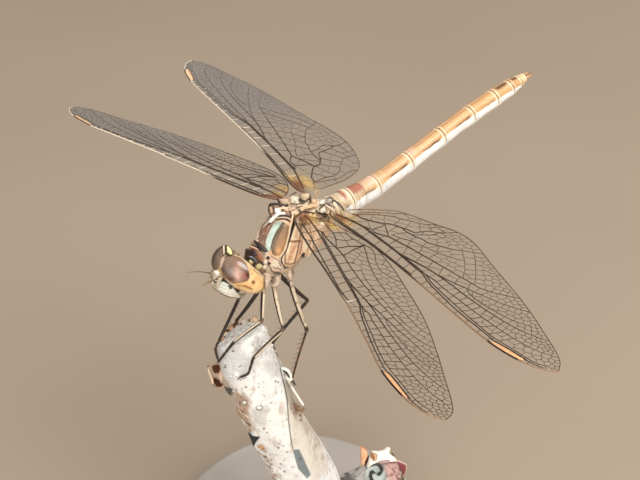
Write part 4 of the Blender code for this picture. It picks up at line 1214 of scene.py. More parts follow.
shell = Bag()
FACE_AT, FACE_AXES, FACE_PITCH = (7.05, 0.0, -5.17), (1.79, 1.75, 1.27), 31.0
FACE_ROT = turn(0, -FACE_PITCH, 0)


def face_shape(p):
    """Frons above, clypeus and lip below, parted by grooves; p in the face's own axes."""
    x, y, z = p[:, 0] / FACE_AXES[0], p[:, 1] / FACE_AXES[1], p[:, 2] / FACE_AXES[2]
    r = 1 + 0.05 * np.exp(-((z - 0.42) / 0.28) ** 2) * np.exp(-(y / 0.6) ** 2) * (x > 0)
    for z0, depth in ((0.10, 0.035), (-0.22, 0.03), (-0.50, 0.06)):
        r = r - depth * np.exp(-((z - z0 - 0.10 * y * y) / 0.045) ** 2) * step(0.0, 0.3, x)
    r = r - 0.05 * np.exp(-(y / 0.06) ** 2) * step(0.25, 0.5, z) * step(0, 0.3, x)
    r = r - 0.03 * step(0.82, 1.0, z)
    return p * r[:, None]


def face_colour(q, p):
    x, y, z = q[:, 0], q[:, 1], q[:, 2]
    ay = np.abs(y)
    col = np.broadcast_to(lin((240, 232, 210)), q.shape).copy()
    col = paint(col, (214, 226, 206), bump1(z, 0.35, 0.25) * step(0.1, 0.5, ay) * 0.6)
    col = paint(col, (236, 216, 182), step(-0.10, -0.3, z) * 0.8)
    col = paint(col, (206, 176, 138), step(-0.45, -0.6, z) * 0.8)
    col = paint(col, (40, 30, 20), step(0.66, 0.78, z) * 0.95)                         # black base of the frons
    col = paint(col, (120, 98, 66), np.exp(-((z + 0.22 - 0.10 * y * y) / 0.025) ** 2) * 0.5)
    col = paint(col, (64, 50, 34), np.exp(-((z + 0.50 - 0.10 * y * y) / 0.03) ** 2) * 0.85)
    col = paint(col, (36, 28, 20), step(0.80, 0.88, ay + 0.25 * np.maximum(0, z)) * step(-0.3, 0.0, z) * 0.9)
    X, Y = close_up(p)
    n = unit(q / np.array(FACE_AXES)) @ FACE_ROT.T
    n = n * np.stack([np.ones(len(n)), np.sign(p[:, 1] + 1e-9), np.ones(len(n))], -1)
    seen = step(0.0, 0.12, n @ TOWARD) * step(-0.05, 0.1, np.abs(p[:, 1]))
    c = np.broadcast_to(lin((255, 250, 234)), q.shape).copy()
    c = paint(c, (222, 238, 216), blob(X, Y, 420, 1150, 110, 75) * 0.85)
    c = paint(c, (252, 246, 230), blob(X, Y, 600, 1300, 120, 50) * 0.8)
    c = paint(c, (234, 216, 190), blob(X, Y, 170, 1130, 80, 110) * 0.8)
    c = paint(c, (128, 108, 76), stroke(X, Y, [(400, 1035), (335, 1085), (268, 1185)], 12) * 0.85)
    low = step(-12, 12, Y - np.interp(X, [180, 310, 450, 580, 680, 780], [1180, 1272, 1352, 1402, 1402, 1450]))
    c = paint(c, (216, 188, 150), low)
    c = paint(c, (118, 88, 56), stroke(X, Y, [(225, 1210), (310, 1272), (450, 1352), (580, 1402), (680, 1402), (770, 1445)], 14) * 0.9)
    c = paint(c, (150, 116, 82), stroke(X, Y, [(150, 980), (128, 1060), (160, 1130), (210, 1180)], 13) * 0.7)
    c = paint(c, (160, 128, 94), stroke(X, Y, [(210, 1060), (240, 1130), (235, 1200)], 12) * 0.6)
    c = paint(c, (132, 118, 84), area(X, Y, [(690, 1270), (740, 1290), (900, 1290), (930, 1380), (820, 1440), (770, 1360)], 16) * 0.9)
    c = paint(c, (255, 248, 228), blob(X, Y, 700, 1368, 60, 24))
    black = area(X, Y, [(150, 900), (215, 985), (262, 1018), (340, 1030), (425, 1052), (560, 1128), (605, 1155), (690, 1262),
                        (722, 1300), (800, 1270), (700, 1050), (480, 800), (300, 800)], 10)
    c = paint(c, (32, 24, 17), black)
    c = paint(c, (32, 24, 17), area(X, Y, [(500, 1148), (530, 1162), (552, 1228), (606, 1200), (616, 1150), (560, 1120)], 8))
    seen = seen * step(1480, 1380, Y)
    return col * (1 - seen[:, None]) + c * seen[:, None]


shell.ball(FACE_AT, FACE_AXES, lambda q, p: face_colour(q, p) * 0.84, FACE_ROT, seg=150, rings=110, shape=face_shape)


def skull_colour(q, p):
    f, l, u = p[:, 0], np.abs(p[:, 1]), p[:, 2]
    col = np.broadcast_to(lin((226, 196, 146)), q.shape).copy()
    col = paint(col, (44, 34, 26), step(5.55, 5.25, f) * step(0.25, 0.45, np.abs(wave(u * 2.0 + l * 1.6, 17))) * 0.85)
    col = paint(col, (30, 24, 20), step(0.7, 0.4, l) * step(5.6, 5.2, f) * 0.8)
    col = paint(col, (110, 88, 60), step(-4.9, -5.6, u) * 0.7)
    return col


shell.ball((6.2, 0, -4.15), (0.96, 1.8, 1.36), skull_colour, None, seg=60, rings=44)


def vertex_colour(q, p):
    col = np.broadcast_to(lin((226, 214, 190)), q.shape).copy()
    col = paint(col, (252, 244, 222), step(0.3, 0.8, q[:, 2]) * 0.9)
    col = paint(col, (132, 116, 92), step(0.50, 0.62, fbm(p, 2.4, 3, 4)) * 0.7)
    col = paint(col, (34, 26, 18), step(-0.62, -0.78, q[:, 2]))
    return col


shell.ball((8.40, 0, -3.70), (0.50, 0.58, 0.52), vertex_colour, turn(0, -25, 0), seg=44, rings=32,
           shape=lambda p: p * (1 + 0.10 * (noise(p, 2.6, 8) - 0.5))[:, None])
for at, s, tone in (((8.72, -0.62, -4.30), 0.20, (206, 180, 150)), ((8.62, -0.40, -4.62), 0.17, (236, 216, 190)),
                    ((8.72, 0.62, -4.30), 0.12, (206, 180, 150)), ((8.75, -0.85, -4.75), 0.20, (196, 166, 136)),
                    ((8.60, 0.0, -4.20), 0.16, (60, 46, 32))):
    shell.ball(at, (s, s * 1.1, s * 0.9), tone, turn(0, 30, 0), seg=16, rings=11)
for side in (1, -1):
    at = lay([(221.3, 275.6)], [(8.35, 0.35, -3.90)])[0] * np.array([1, side, 1])
    shell.ball(at, (0.24, 0.24, 0.22), (248, 236, 212), None, seg=18, rings=12)
# lower jaws and lip flaps under the face
for side in (1, -1):
    shell.ball((6.85, 0.75 * side, -6.05), (0.85, 0.55, 0.42), lambda q, p: paint(paint(
        np.broadcast_to(lin((206, 184, 146)), q.shape), (74, 62, 42), step(0.15, 0.6, wave(q[:, 0] * 4 + q[:, 2] * 3, 2)) * 0.7),
        (96, 80, 54), step(0.0, -0.8, q[:, 2]) * 0.7), turn(0, -25, 12 * side), seg=30, rings=20)
shell.ball((7.35, 0, -6.1), (0.75, 0.75, 0.40), (206, 180, 140), turn(0, -35, 0), seg=30, rings=20)
outward(shell.done("head_shell", MAT_FACE, replace=["head", "face", "vertex"], slot="head_shell"))

# occiput: the yellow triangle behind the eyes' seam, edged black, and small knobs of the head's rear
occ = Bag()
plate(occ, [(226.6, 245.2), (229.4, 246.2), (232.0, 249.6), (233.4, 254.8), (230.6, 255.4), (226.8, 252.4)], (6.86, 0.0, -1.70), 0.5,
      (246, 232, 164), (96, 78, 44), 0.16)
plate(occ, [(224.9, 245.0), (226.7, 245.0), (227.0, 253.4), (225.0, 254.6)], (6.92, -0.02, -1.66), 0.5, (34, 24, 12), (30, 20, 12), 0.05)
plate(occ, [(223.2, 245.6), (224.9, 245.1), (225.1, 254.8), (223.6, 254.4)], (6.98, -0.05, -1.70), 0.4, (236, 208, 182), (214, 184, 156), 0.05)
for x, y, s, tone in ((234.4, 250.6, 0.07, (176, 150, 84)), (238.2, 254.4, 0.09, (128, 108, 72)), (235.2, 252.4, 0.06, (120, 100, 66))):
    occ.ball(lay([(x, y)], [(6.2, 0.2, -1.95)])[0], (s, s * 1.3, s * 1.6), tone, None, seg=12, rings=9)
occ.done("occiput", MAT_FACE, slot="head_shell")

# simple eyes and feelers
beads = Bag()
for at, r in (((8.90, 0.0, -3.55), 0.12), ((8.48, 0.50, -3.42), 0.10), ((8.48, -0.50, -3.42), 0.10)):
    beads.ball(at, (r, r, r), (122, 96, 70), seg=14, rings=9)
outward(beads.done("simple_eyes", MAT_EYE, slot="eye"))
feel = Bag()
for side in (1, -1):
    feel.tube(catmull([(8.55, 0.42 * side, -3.65), (8.75, 0.50 * side, -3.52)], np.linspace(0, 1, 5)), [0.11, 0.12, 0.12, 0.11, 0.08], 10, lin((150, 124, 94)))
    feel.tube(catmull([(8.72, 0.49 * side, -3.54), (8.92, 0.58 * side, -3.44)], np.linspace(0, 1, 5)), [0.07, 0.08, 0.08, 0.07, 0.05], 10, lin((92, 70, 50)))
    t = np.linspace(0, 1, 14)
    feel.tube(catmull([(8.9, 0.57 * side, -3.45), (9.5, 0.80 * side, -3.15), (10.2, 1.03 * side, -2.95), (10.75, 1.18 * side, -2.87)], t),
              np.interp(t, [0, 0.4, 1], [0.045, 0.03, 0.015]), 8, lin((96, 76, 56)))
outward(feel.done("feelers", MAT_LEG, replace=["antenna_left", "antenna_right"], slot="leg"))

# ================================================================ prothorax
neck = Bag()
neck.ball((4.50, 0, -3.80), (0.55, 0.95, 1.15), lambda q, p: paint(paint(paint(np.broadcast_to(lin((118, 84, 66)), q.shape),
          (44, 34, 32), step(0.50, 0.62, fbm(p, 1.6, 2, 3)) * 0.8), (60, 46, 40), step(0.35, 0.7, q[:, 2]) * 0.8),
          (232, 208, 176), step(-0.30, -0.6, q[:, 2]) * 0.9), turn(0, 12, 0), seg=44, rings=30)


def both(outline, anchor, *args, **kw):
    for mirror in (False, True):
        plate(neck, outline, anchor, *args, mirror=mirror, **kw)


# hind lobe: brown, nearly black at its middle; a black band behind it, a dark band in front whose blue-grey tone is
# painted sheen
both([(248.8, 245.3), (252, 246.2), (256, 248.4), (260.4, 251.6), (264.4, 255.5), (264.2, 259.4), (262.8, 262), (257.2, 259.1), (252.4, 256.4),
      (249.6, 254), (248.9, 249.7)], (4.40, 0.42, -2.75), 0.30, (150, 102, 76), (190, 154, 128), 0.16, fold=0.35)
both([(249.4, 249.8), (252.0, 249.0), (255.8, 251.4), (257.6, 255.4), (255.0, 256.6), (250.0, 254.8)], (4.62, 0.56, -2.62), 0.22, (40, 24, 26), (84, 48, 40), 0.05, fold=0.35)
both([(256.4, 253), (259.6, 253.6), (263, 257), (262.6, 260.4), (259, 258.4)], (4.60, 0.72, -2.66), 0.16, (170, 112, 78), (150, 100, 74), 0.05, fold=0.35)
both([(253.6, 239.6), (256.4, 241), (259.6, 242.8), (263.8, 246.4), (267.8, 251.2), (266, 252.8), (262.4, 251.2), (259, 248.2), (256, 245.2), (253.8, 242.4)],
     (4.05, 0.45, -2.40), 0.34, (36, 28, 28), (74, 60, 54), 0.10, fold=0.35)
both([(247.6, 255.4), (250, 255.8), (254.4, 258), (258.2, 261.2), (257, 263.2), (253.6, 262), (250.4, 259.8), (248, 257.6)], (4.95, 0.55, -3.20), 0.30,
     (58, 58, 66), (100, 96, 98), 0.10, fold=0.3)
for side in (1, -1):
    mir = np.array([1, side, 1])
    low = np.zeros(3) if side > 0 else np.array([-0.05, 0.25, -0.55])
    # the first three streaks, pale grey to blue-grey, are painted highlights on the black bands
    for pts, anchor, r, tone in (
            ([(257.6, 243.4), (260.4, 245), (263.2, 246.9)], (4.15, 0.50, -2.32), 0.07, (206, 200, 196)),
            ([(260, 248.2), (262.2, 250.2), (264.4, 251.8)], (4.12, 0.60, -2.40), 0.05, (150, 144, 140)),
            ([(250, 256.6), (253, 257.8), (256, 260)], (5.05, 0.62, -3.15), 0.06, (176, 178, 188)),
            ([(249.4, 246), (254, 247.4), (258.6, 250.2)], (4.68, 0.6, -2.62), 0.06, (214, 180, 152))):
        neck.tube(catmull(lay(pts, [anchor] * len(pts)) * mir + low, np.linspace(0, 1, 10)), [0.3 * r] + [r] * 8 + [0.3 * r], 8, lin(tone))
    for x, y, anchor, s, tone in (
            (266.6, 253.0, (3.75, 0.95, -3.0), 0.20, (246, 226, 208)), (265.3, 261.9, (3.95, 1.05, -3.82), 0.23, (248, 230, 208)),
            (258.6, 265.8, (4.55, 0.85, -4.05), 0.34, (246, 236, 176)), (251.4, 261.3, (5.05, 0.55, -3.45), 0.25, (244, 226, 176)),
            (264.4, 267.3, (4.05, 1.15, -4.26), 0.24, (232, 208, 186)), (268.2, 257.4, (3.80, 1.10, -3.40), 0.20, (40, 30, 26)),
            (266.4, 258.2, (3.85, 1.10, -3.50), 0.10, (222, 196, 176)), (254.8, 263.0, (4.85, 0.72, -3.72), 0.17, (66, 60, 58)),
            (269.4, 263.0, (3.75, 1.2, -3.95), 0.18, (60, 46, 38)), (261.6, 263.2, (4.3, 1.0, -3.85), 0.15, (70, 50, 40))):
        at = lay([(x, y)], [anchor])[0] * mir + low
        neck.ball(at, (s, s * 0.92, s * 1.02), lambda q, p, tone=tone: lin(tone) * (0.86 + 0.22 * fbm(p, 4.0, 2, 6))[:, None],
                  turn(0, 20, 20 * side), seg=20, rings=14)
outward(neck.done("prothorax_shell", MAT_SHELL, replace=["prothorax"], slot="shell_brown"))


# ================================================================ wings
FORE_WING, HIND_WING = 28.75, 27.4
FORE_BASE, HIND_BASE = (0.0, 1.33, 0.0), (-3.12, 1.74, -0.96)
WING_POSE = {
    "wing_fore_left": (24.2, 5.9, 19.7, 0.9, 0.0),
    "wing_fore_right": (17.2, -2.0, 19.2, 0.9, 0.0),
    "wing_hind_left": (6.9, 6.9, 12.7, -1.0, 0.62),
    "wing_hind_right": (-7.0, 4.9, 11.9, -1.0, -0.15),
}
FORE_FRONT = [(0.0, 0.0), (0.035, 0.028), (0.08, 0.037), (0.16, 0.034), (0.24, 0.028), (0.32, 0.018), (0.42, 0.009),
              (0.49, 0.005), (0.56, 0.004), (0.70, 0.008), (0.82, 0.012), (0.93, -0.010), (0.985, -0.048), (1.0, -0.085)]
FORE_BACK = [(0.015, -0.036), (0.05, -0.106), (0.13, -0.190), (0.25, -0.218), (0.40, -0.222), (0.55, -0.216),
             (0.70, -0.19), (0.82, -0.163), (0.92, -0.138), (0.97, -0.118), (1.0, -0.085)]
HIND_FRONT = [(0.0, 0.0), (0.03, 0.021), (0.08, 0.025), (0.16, 0.018), (0.25, 0.011), (0.35, 0.010), (0.45, 0.013),
              (0.65, 0.020), (0.82, 0.018), (0.92, -0.004), (0.98, -0.045), (1.0, -0.08)]
HIND_BACK = [(0.012, -0.07), (0.04, -0.20), (0.09, -0.285), (0.17, -0.325), (0.26, -0.342), (0.36, -0.330),
             (0.48, -0.292), (0.62, -0.25), (0.76, -0.205), (0.88, -0.16), (0.96, -0.122), (1.0, -0.08)]

# main veins (x along, y across, mm), each with its radius at the two ends
FORE_VEINS = {
    "sc": ([(0.9, 0.25), (2.2, 0.32), (3.5, 0.18), (4.8, 0.12), (6, 0.12), (8, 0.08), (10, 0.03), (12, 0), (13, -0.1), (14.15, -0.28)], 0.075, 0.06),
    "r": ([(0.4, -0.28), (1, -0.45), (2, -0.6), (3, -0.72), (4, -0.76), (6, -0.8), (8, -0.87), (10, -0.9), (12, -0.94), (14, -0.97), (14.6, -0.95),
           (15, -0.88), (16, -0.62), (17, -0.46), (18, -0.34), (19, -0.22), (20, -0.12), (21, -0.05), (22, 0), (23, 0), (23.7, -0.12),
           (24.5, -0.27), (25.5, -0.42), (26.4, -0.56), (27.3, -0.85), (28.1, -1.35)], 0.10, 0.04),
    "rp": ([(3.0, -1.12), (4.2, -0.99), (5, -1.0), (6, -1.03), (8, -1.08), (10, -1.12), (12, -1.14), (14, -1.12), (15, -1.05), (16, -0.86),
            (17, -0.75), (18, -0.65), (19, -0.58), (20, -0.45), (21, -0.38), (22, -0.35), (23, -0.38), (24, -0.55), (25, -0.72), (26, -0.88),
            (27, -1.2), (27.9, -1.8)], 0.07, 0.035),
    "rp2": ([(14.6, -1.1), (15.2, -1.2), (15.9, -1.4), (16.9, -1.33), (18, -1.42), (19, -1.46), (20, -1.52), (21, -1.62), (22, -1.75),
             (23, -1.9), (24, -2.1), (25, -2.38), (26, -2.78), (27.1, -3.4)], 0.055, 0.03),
    "ir2": ([(10.6, -1.13), (11, -1.17), (12, -1.35), (13, -1.62), (14, -1.85), (15, -1.98), (16, -2.05), (17, -2.1), (18, -2.15),
             (19, -2.25), (20, -2.35), (21, -2.47), (22, -2.65), (23, -2.95), (24, -3.35), (25, -3.95), (25.3, -4.2)], 0.08, 0.03),
    "rp34": ([(14.2, -1.92), (15, -2.25), (15.9, -2.5), (16.8, -2.8), (17.6, -3.05), (18.3, -3.4), (19, -3.7), (20, -4.1), (21, -4.55),
              (21.9, -5.1)], 0.055, 0.03),
    "rspl": ([(16.2, -2.58), (17.5, -2.5), (18.6, -2.62), (19.4, -2.75), (20.3, -2.95), (21.4, -3.35), (22.4, -3.95)], 0.04, 0.03),
    "arc": ([(2.95, -0.72), (3.0, -1.0), (3.15, -1.25)], 0.055, 0.055),
    "ma": ([(3.15, -1.25), (4, -1.3), (5, -1.58), (5.6, -1.78), (6.7, -2.05), (8, -2.12), (9, -2.2), (10, -2.3), (11, -2.42), (12, -2.57),
            (13, -2.74), (14, -2.92), (15, -3.15), (16, -3.42), (17, -3.75), (18, -4.1), (18.7, -4.5), (19.4, -5.0), (19.9, -5.6)], 0.075, 0.03),
    "mspl": ([(9.1, -2.97), (10.5, -2.9), (12, -3.1), (13, -3.32), (14, -3.55), (15, -3.74), (16.2, -4.0), (17.2, -4.5)], 0.04, 0.03),
    "tri1": ([(6.7, -2.05), (6.4, -2.5), (6, -2.95), (5.5, -3.45), (4.9, -4.2), (4.25, -4.85)], 0.055, 0.055),
    "tri2": ([(5.6, -1.78), (5.35, -2.5), (5.1, -2.95), (5.0, -3.5), (4.7, -4.2), (4.25, -4.85)], 0.055, 0.055),
    "mp": ([(4.25, -4.85), (5, -4.67), (6, -4.5), (7, -4.3), (8, -4.15), (9, -4.05), (10, -4.05), (11, -4.1), (12, -4.2), (13, -4.38),
            (14, -4.58), (15, -4.78), (16, -4.98), (17, -5.2), (17.6, -5.5), (18.1, -6.0)], 0.055, 0.03),
    "cua": ([(4.25, -4.85), (4.3, -5.05), (4.8, -5.35), (5.4, -5.42), (6.2, -5.28), (7, -5.05), (8, -4.95), (8.6, -5.05), (9.1, -5.4),
             (9.7, -5.75), (10.2, -6.4)], 0.05, 0.03),
    "cup": ([(0.1, -1.5), (1, -1.9), (2, -2.05), (3, -2.27), (4, -2.2), (4.8, -2.0), (5.6, -1.78)], 0.075, 0.05),
    "sub1": ([(2.9, -2.25), (2.75, -3.0), (2.75, -3.6), (3.4, -3.85), (3.7, -4.3), (4.25, -4.85)], 0.045, 0.045),
    "sub2": ([(4.0, -2.2), (4.1, -2.9), (3.9, -3.5), (3.55, -4.0)], 0.04, 0.035),
    "sub3": ([(4.05, -3.1), (5.05, -3.15)], 0.035, 0.035),
    "an1": ([(1.6, -1.95), (1.6, -2.6), (1.4, -3.3), (1.3, -3.8)], 0.04, 0.035),
    "an2": ([(0.5, -1.75), (0.8, -2.3), (1.0, -2.9), (1.1, -3.3)], 0.06, 0.04),
    "an3": ([(2.75, -3.6), (2.1, -3.75), (1.5, -3.75)], 0.035, 0.03),
}
FORE_CROSS = [
    [(2.2, 1.2), (2.1, 0.35)], [(4.95, 1.1), (4.85, 0.12)], [(6.7, 0.95), (6.55, 0.12)], [(8.4, 0.75), (8.25, 0.08)],
    [(10.1, 0.5), (10.0, 0.03)], [(11.95, 0.35), (11.85, 0.0)], [(13.2, 0.25), (13.1, -0.12)],
    [(2.05, 0.3), (1.7, -0.55)], [(3.4, 0.18), (3.0, -0.72)], [(4.8, 0.12), (4.35, -0.76)], [(6.4, 0.12), (5.95, -0.8)], [(8.15, 0.08), (7.7, -0.86)],
    [(9.9, 0.03), (9.45, -0.9)], [(11.7, 0.0), (11.3, -0.93)], [(12.9, -0.1), (12.6, -0.95)],
    [(14.35, 0.16), (14.2, -0.28), (13.9, -0.95)],
    [(15.9, 0.12), (15.7, -0.68)], [(17.1, 0.14), (16.9, -0.48)], [(18.45, 0.2), (18.3, -0.3)], [(19.3, 0.24), (19.15, -0.22)], [(20.1, 0.26), (19.85, -0.15)],
    [(21.2, 0.3), (21.0, -0.05)], [(22.3, 0.36), (22.2, 0.0)], [(23.1, 0.36), (23.0, 0.0)], [(27.2, -0.35), (27.0, -0.75)],
    [(27.8, -0.8), (27.5, -0.98)],
    [(16.4, -0.54), (16.3, -0.82)], [(18.6, -0.3), (18.5, -0.62)], [(19.9, -0.15), (19.7, -0.5)], [(21.5, -0.02), (21.4, -0.37)], [(22.6, 0.0), (22.5, -0.36)],
    [(24.8, -0.3), (24.7, -0.66)], [(26, -0.5), (25.9, -0.86)], [(26.9, -0.7), (26.7, -1.08)],
    [(15.6, -0.93), (15.5, -1.28)], [(16.9, -0.76), (16.8, -1.33)], [(18.0, -0.65), (17.9, -1.41)], [(18.78, -0.6), (18.72, -1.45)], [(19.45, -0.52), (19.35, -1.48)],
    [(20.35, -0.42), (20.2, -1.54)], [(21.3, -0.37), (21.15, -1.64)], [(22.2, -0.36), (22.1, -1.77)], [(23.1, -0.4), (23.0, -1.9)],
    [(23.95, -0.54), (23.85, -2.08)],
    [(15.95, -1.4), (15.9, -2.04)], [(17.75, -1.4), (17.6, -2.13)], [(18.85, -1.46), (18.75, -2.22)], [(19.8, -1.5), (19.6, -2.3)],
    [(20.75, -1.6), (20.35, -2.39)], [(21.7, -1.72), (21.3, -2.52)], [(22.6, -1.85), (22.2, -2.7)],
    [(7.1, -1.06), (6.65, -2.03)], [(8.4, -1.09), (7.9, -2.12)], [(9.7, -1.12), (9.05, -2.2)], [(10.9, -1.18), (10.2, -2.32)],
    [(12.1, -1.4), (11.5, -2.48)], [(13.4, -1.72), (12.7, -2.7)], [(14.6, -2.08), (14.1, -2.92)], [(15.5, -2.4), (15.1, -3.17)],
    [(16.4, -2.68), (16.0, -3.42)], [(17.3, -2.96), (16.9, -3.72)],
    [(7.95, -2.12), (7.75, -2.8)], [(9.15, -2.2), (9.1, -2.97)], [(10.6, -2.38), (10.55, -2.9)], [(12.05, -2.58), (12.0, -3.1)],
    [(13.4, -2.83), (13.4, -3.42)], [(14.6, -3.06), (14.5, -3.65)], [(15.6, -3.32), (15.5, -3.85)],
]
HIND_VEINS = {
    "sc": ([(0.9, 0.2), (2, 0.32), (3.1, 0.25), (4, 0.2), (6, 0.08), (8, 0.04), (10, 0.05), (12.35, 0.05)], 0.07, 0.06),
    "r": ([(0.8, -0.08), (1.5, -0.3), (2.3, -0.5), (3, -0.7), (3.8, -0.88), (5, -0.88), (7, -0.9), (9, -0.92), (10, -0.86), (12, -0.8),
           (12.6, -0.8), (12.8, -0.75), (14, -0.45), (15, -0.27), (16, -0.15), (17, -0.05), (18, 0.03), (20, 0.06), (22, 0.03),
           (22.7, 0), (23.4, -0.2), (24.2, -0.42), (25.1, -0.62), (26, -0.9), (26.7, -1.35)], 0.10, 0.04),
    "rp": ([(3.8, -1.08), (5, -1.06), (7, -1.08), (9.2, -1.05), (11, -1.02), (12.7, -0.95), (14, -0.64), (15, -0.52), (16, -0.42),
            (17, -0.35), (18, -0.28), (19, -0.22), (20, -0.2), (22, -0.24), (23, -0.45), (24, -0.7), (25, -0.9), (26, -1.2), (26.6, -1.8)], 0.07, 0.035),
    "rp2": ([(12.9, -0.92), (13.6, -1.1), (14.3, -1.15), (15, -1.08), (16, -1.1), (17, -1.17), (18, -1.2), (19, -1.25), (20, -1.35),
             (21, -1.45), (22, -1.6), (23, -1.8), (24, -2.08), (25, -2.5), (26.0, -3.3)], 0.055, 0.03),
    "ir2": ([(9.2, -1.0), (10, -1.25), (11, -1.55), (12, -1.8), (13, -1.95), (14, -2.05), (15, -2.1), (16, -2.1), (17, -2.13), (18, -2.2),
             (19, -2.27), (20, -2.4), (21, -2.6), (22, -2.92), (23, -3.45), (24, -4.2), (24.2, -4.5)], 0.08, 0.03),
    "rp34": ([(13, -1.95), (14, -2.25), (15, -2.55), (16, -2.95), (16.5, -3.15), (17.2, -3.55), (18, -4.0), (19, -4.6), (20, -5.25),
              (20.7, -5.8)], 0.05, 0.03),
    "rspl": ([(16.1, -2.75), (17.2, -2.52), (18, -2.57), (19, -2.76), (20, -3.05), (21, -3.5), (22.1, -4.4)], 0.04, 0.03),
    "arc": ([(3.75, -0.88), (3.85, -1.1), (4.3, -1.32), (4.5, -1.5)], 0.055, 0.055),
    "tri0": ([(4.5, -1.5), (4.75, -1.38), (5.2, -1.38), (5.7, -1.7), (6.1, -2.1)], 0.06, 0.07),
    "tri1": ([(4.5, -1.5), (4.35, -2.1), (4.2, -2.8), (3.8, -3.3)], 0.05, 0.05),
    "tri2": ([(6.1, -2.1), (5, -2.72), (3.8, -3.3)], 0.06, 0.06),
    "ma": ([(6.1, -2.1), (7, -2.3), (8, -2.5), (9, -2.7), (10, -2.85), (11, -3.05), (12, -3.2), (13, -3.4), (14, -3.6), (15, -3.9),
            (15.9, -4.1), (16.5, -4.45), (17.4, -5.1), (18.4, -6.0), (18.7, -6.5)], 0.075, 0.03),
    "cup": ([(1.2, -1.55), (1.6, -1.85), (2.2, -1.95), (2.7, -2.3), (3.3, -2.75), (3.8, -3.3), (3.9, -3.9), (4.3, -4.32), (5.0, -4.8)], 0.075, 0.07),
    "mp": ([(4.8, -4.6), (5.3, -4.5), (6, -4.5), (6.7, -4.62), (7.3, -4.92), (8, -4.95), (8.7, -5.35), (9.4, -5.8), (10, -6.2),
            (10.4, -6.8), (10.8, -7.5), (11.2, -8.2), (11.8, -8.95)], 0.06, 0.035),
    "cua": ([(5.0, -4.8), (5.4, -5.0), (5.95, -5.2), (6.05, -6.0), (6.3, -6.9), (6.6, -7.4), (6.75, -8.3), (7.0, -9.4)], 0.06, 0.04),
    "cub": ([(6.3, -4.55), (6.6, -5.6), (6.95, -6.2), (6.9, -6.9), (6.6, -7.4)], 0.045, 0.04),
    "mid": ([(1.5, -1.85), (1.6, -2.5), (1.8, -3.4), (1.95, -4.5), (2.35, -5.3), (2.7, -5.6), (3.1, -5.9), (3.4, -6.2), (3.8, -6.6),
             (4.25, -7.05), (4.45, -7.8), (4.5, -9.2)], 0.05, 0.03),
    "out": ([(1.4, -1.8), (1.3, -2.6), (1.35, -4.2), (1.6, -5.2), (1.95, -6.1), (2.1, -7.0), (2.0, -7.6)], 0.045, 0.03),
    "mspl": ([(6.0, -2.65), (6.8, -2.95), (7.5, -3.5), (8.2, -3.8), (8.7, -4.0), (9.4, -4.3), (10.1, -4.6), (11.2, -5.3), (12.0, -5.95)], 0.04, 0.03),
    "l1": ([(10.45, -6.95), (11.3, -6.35), (12.1, -5.85), (12.8, -5.3), (13.2, -5.0), (13.6, -4.6), (14.0, -4.15), (14.45, -3.75)], 0.035, 0.035),
    "l2": ([(10.95, -7.85), (11.8, -7.25), (12.4, -6.8), (13.0, -6.3), (13.6, -5.85), (14.2, -5.35), (14.75, -4.85), (15.3, -4.3), (15.55, -4.02)], 0.035, 0.035),
}
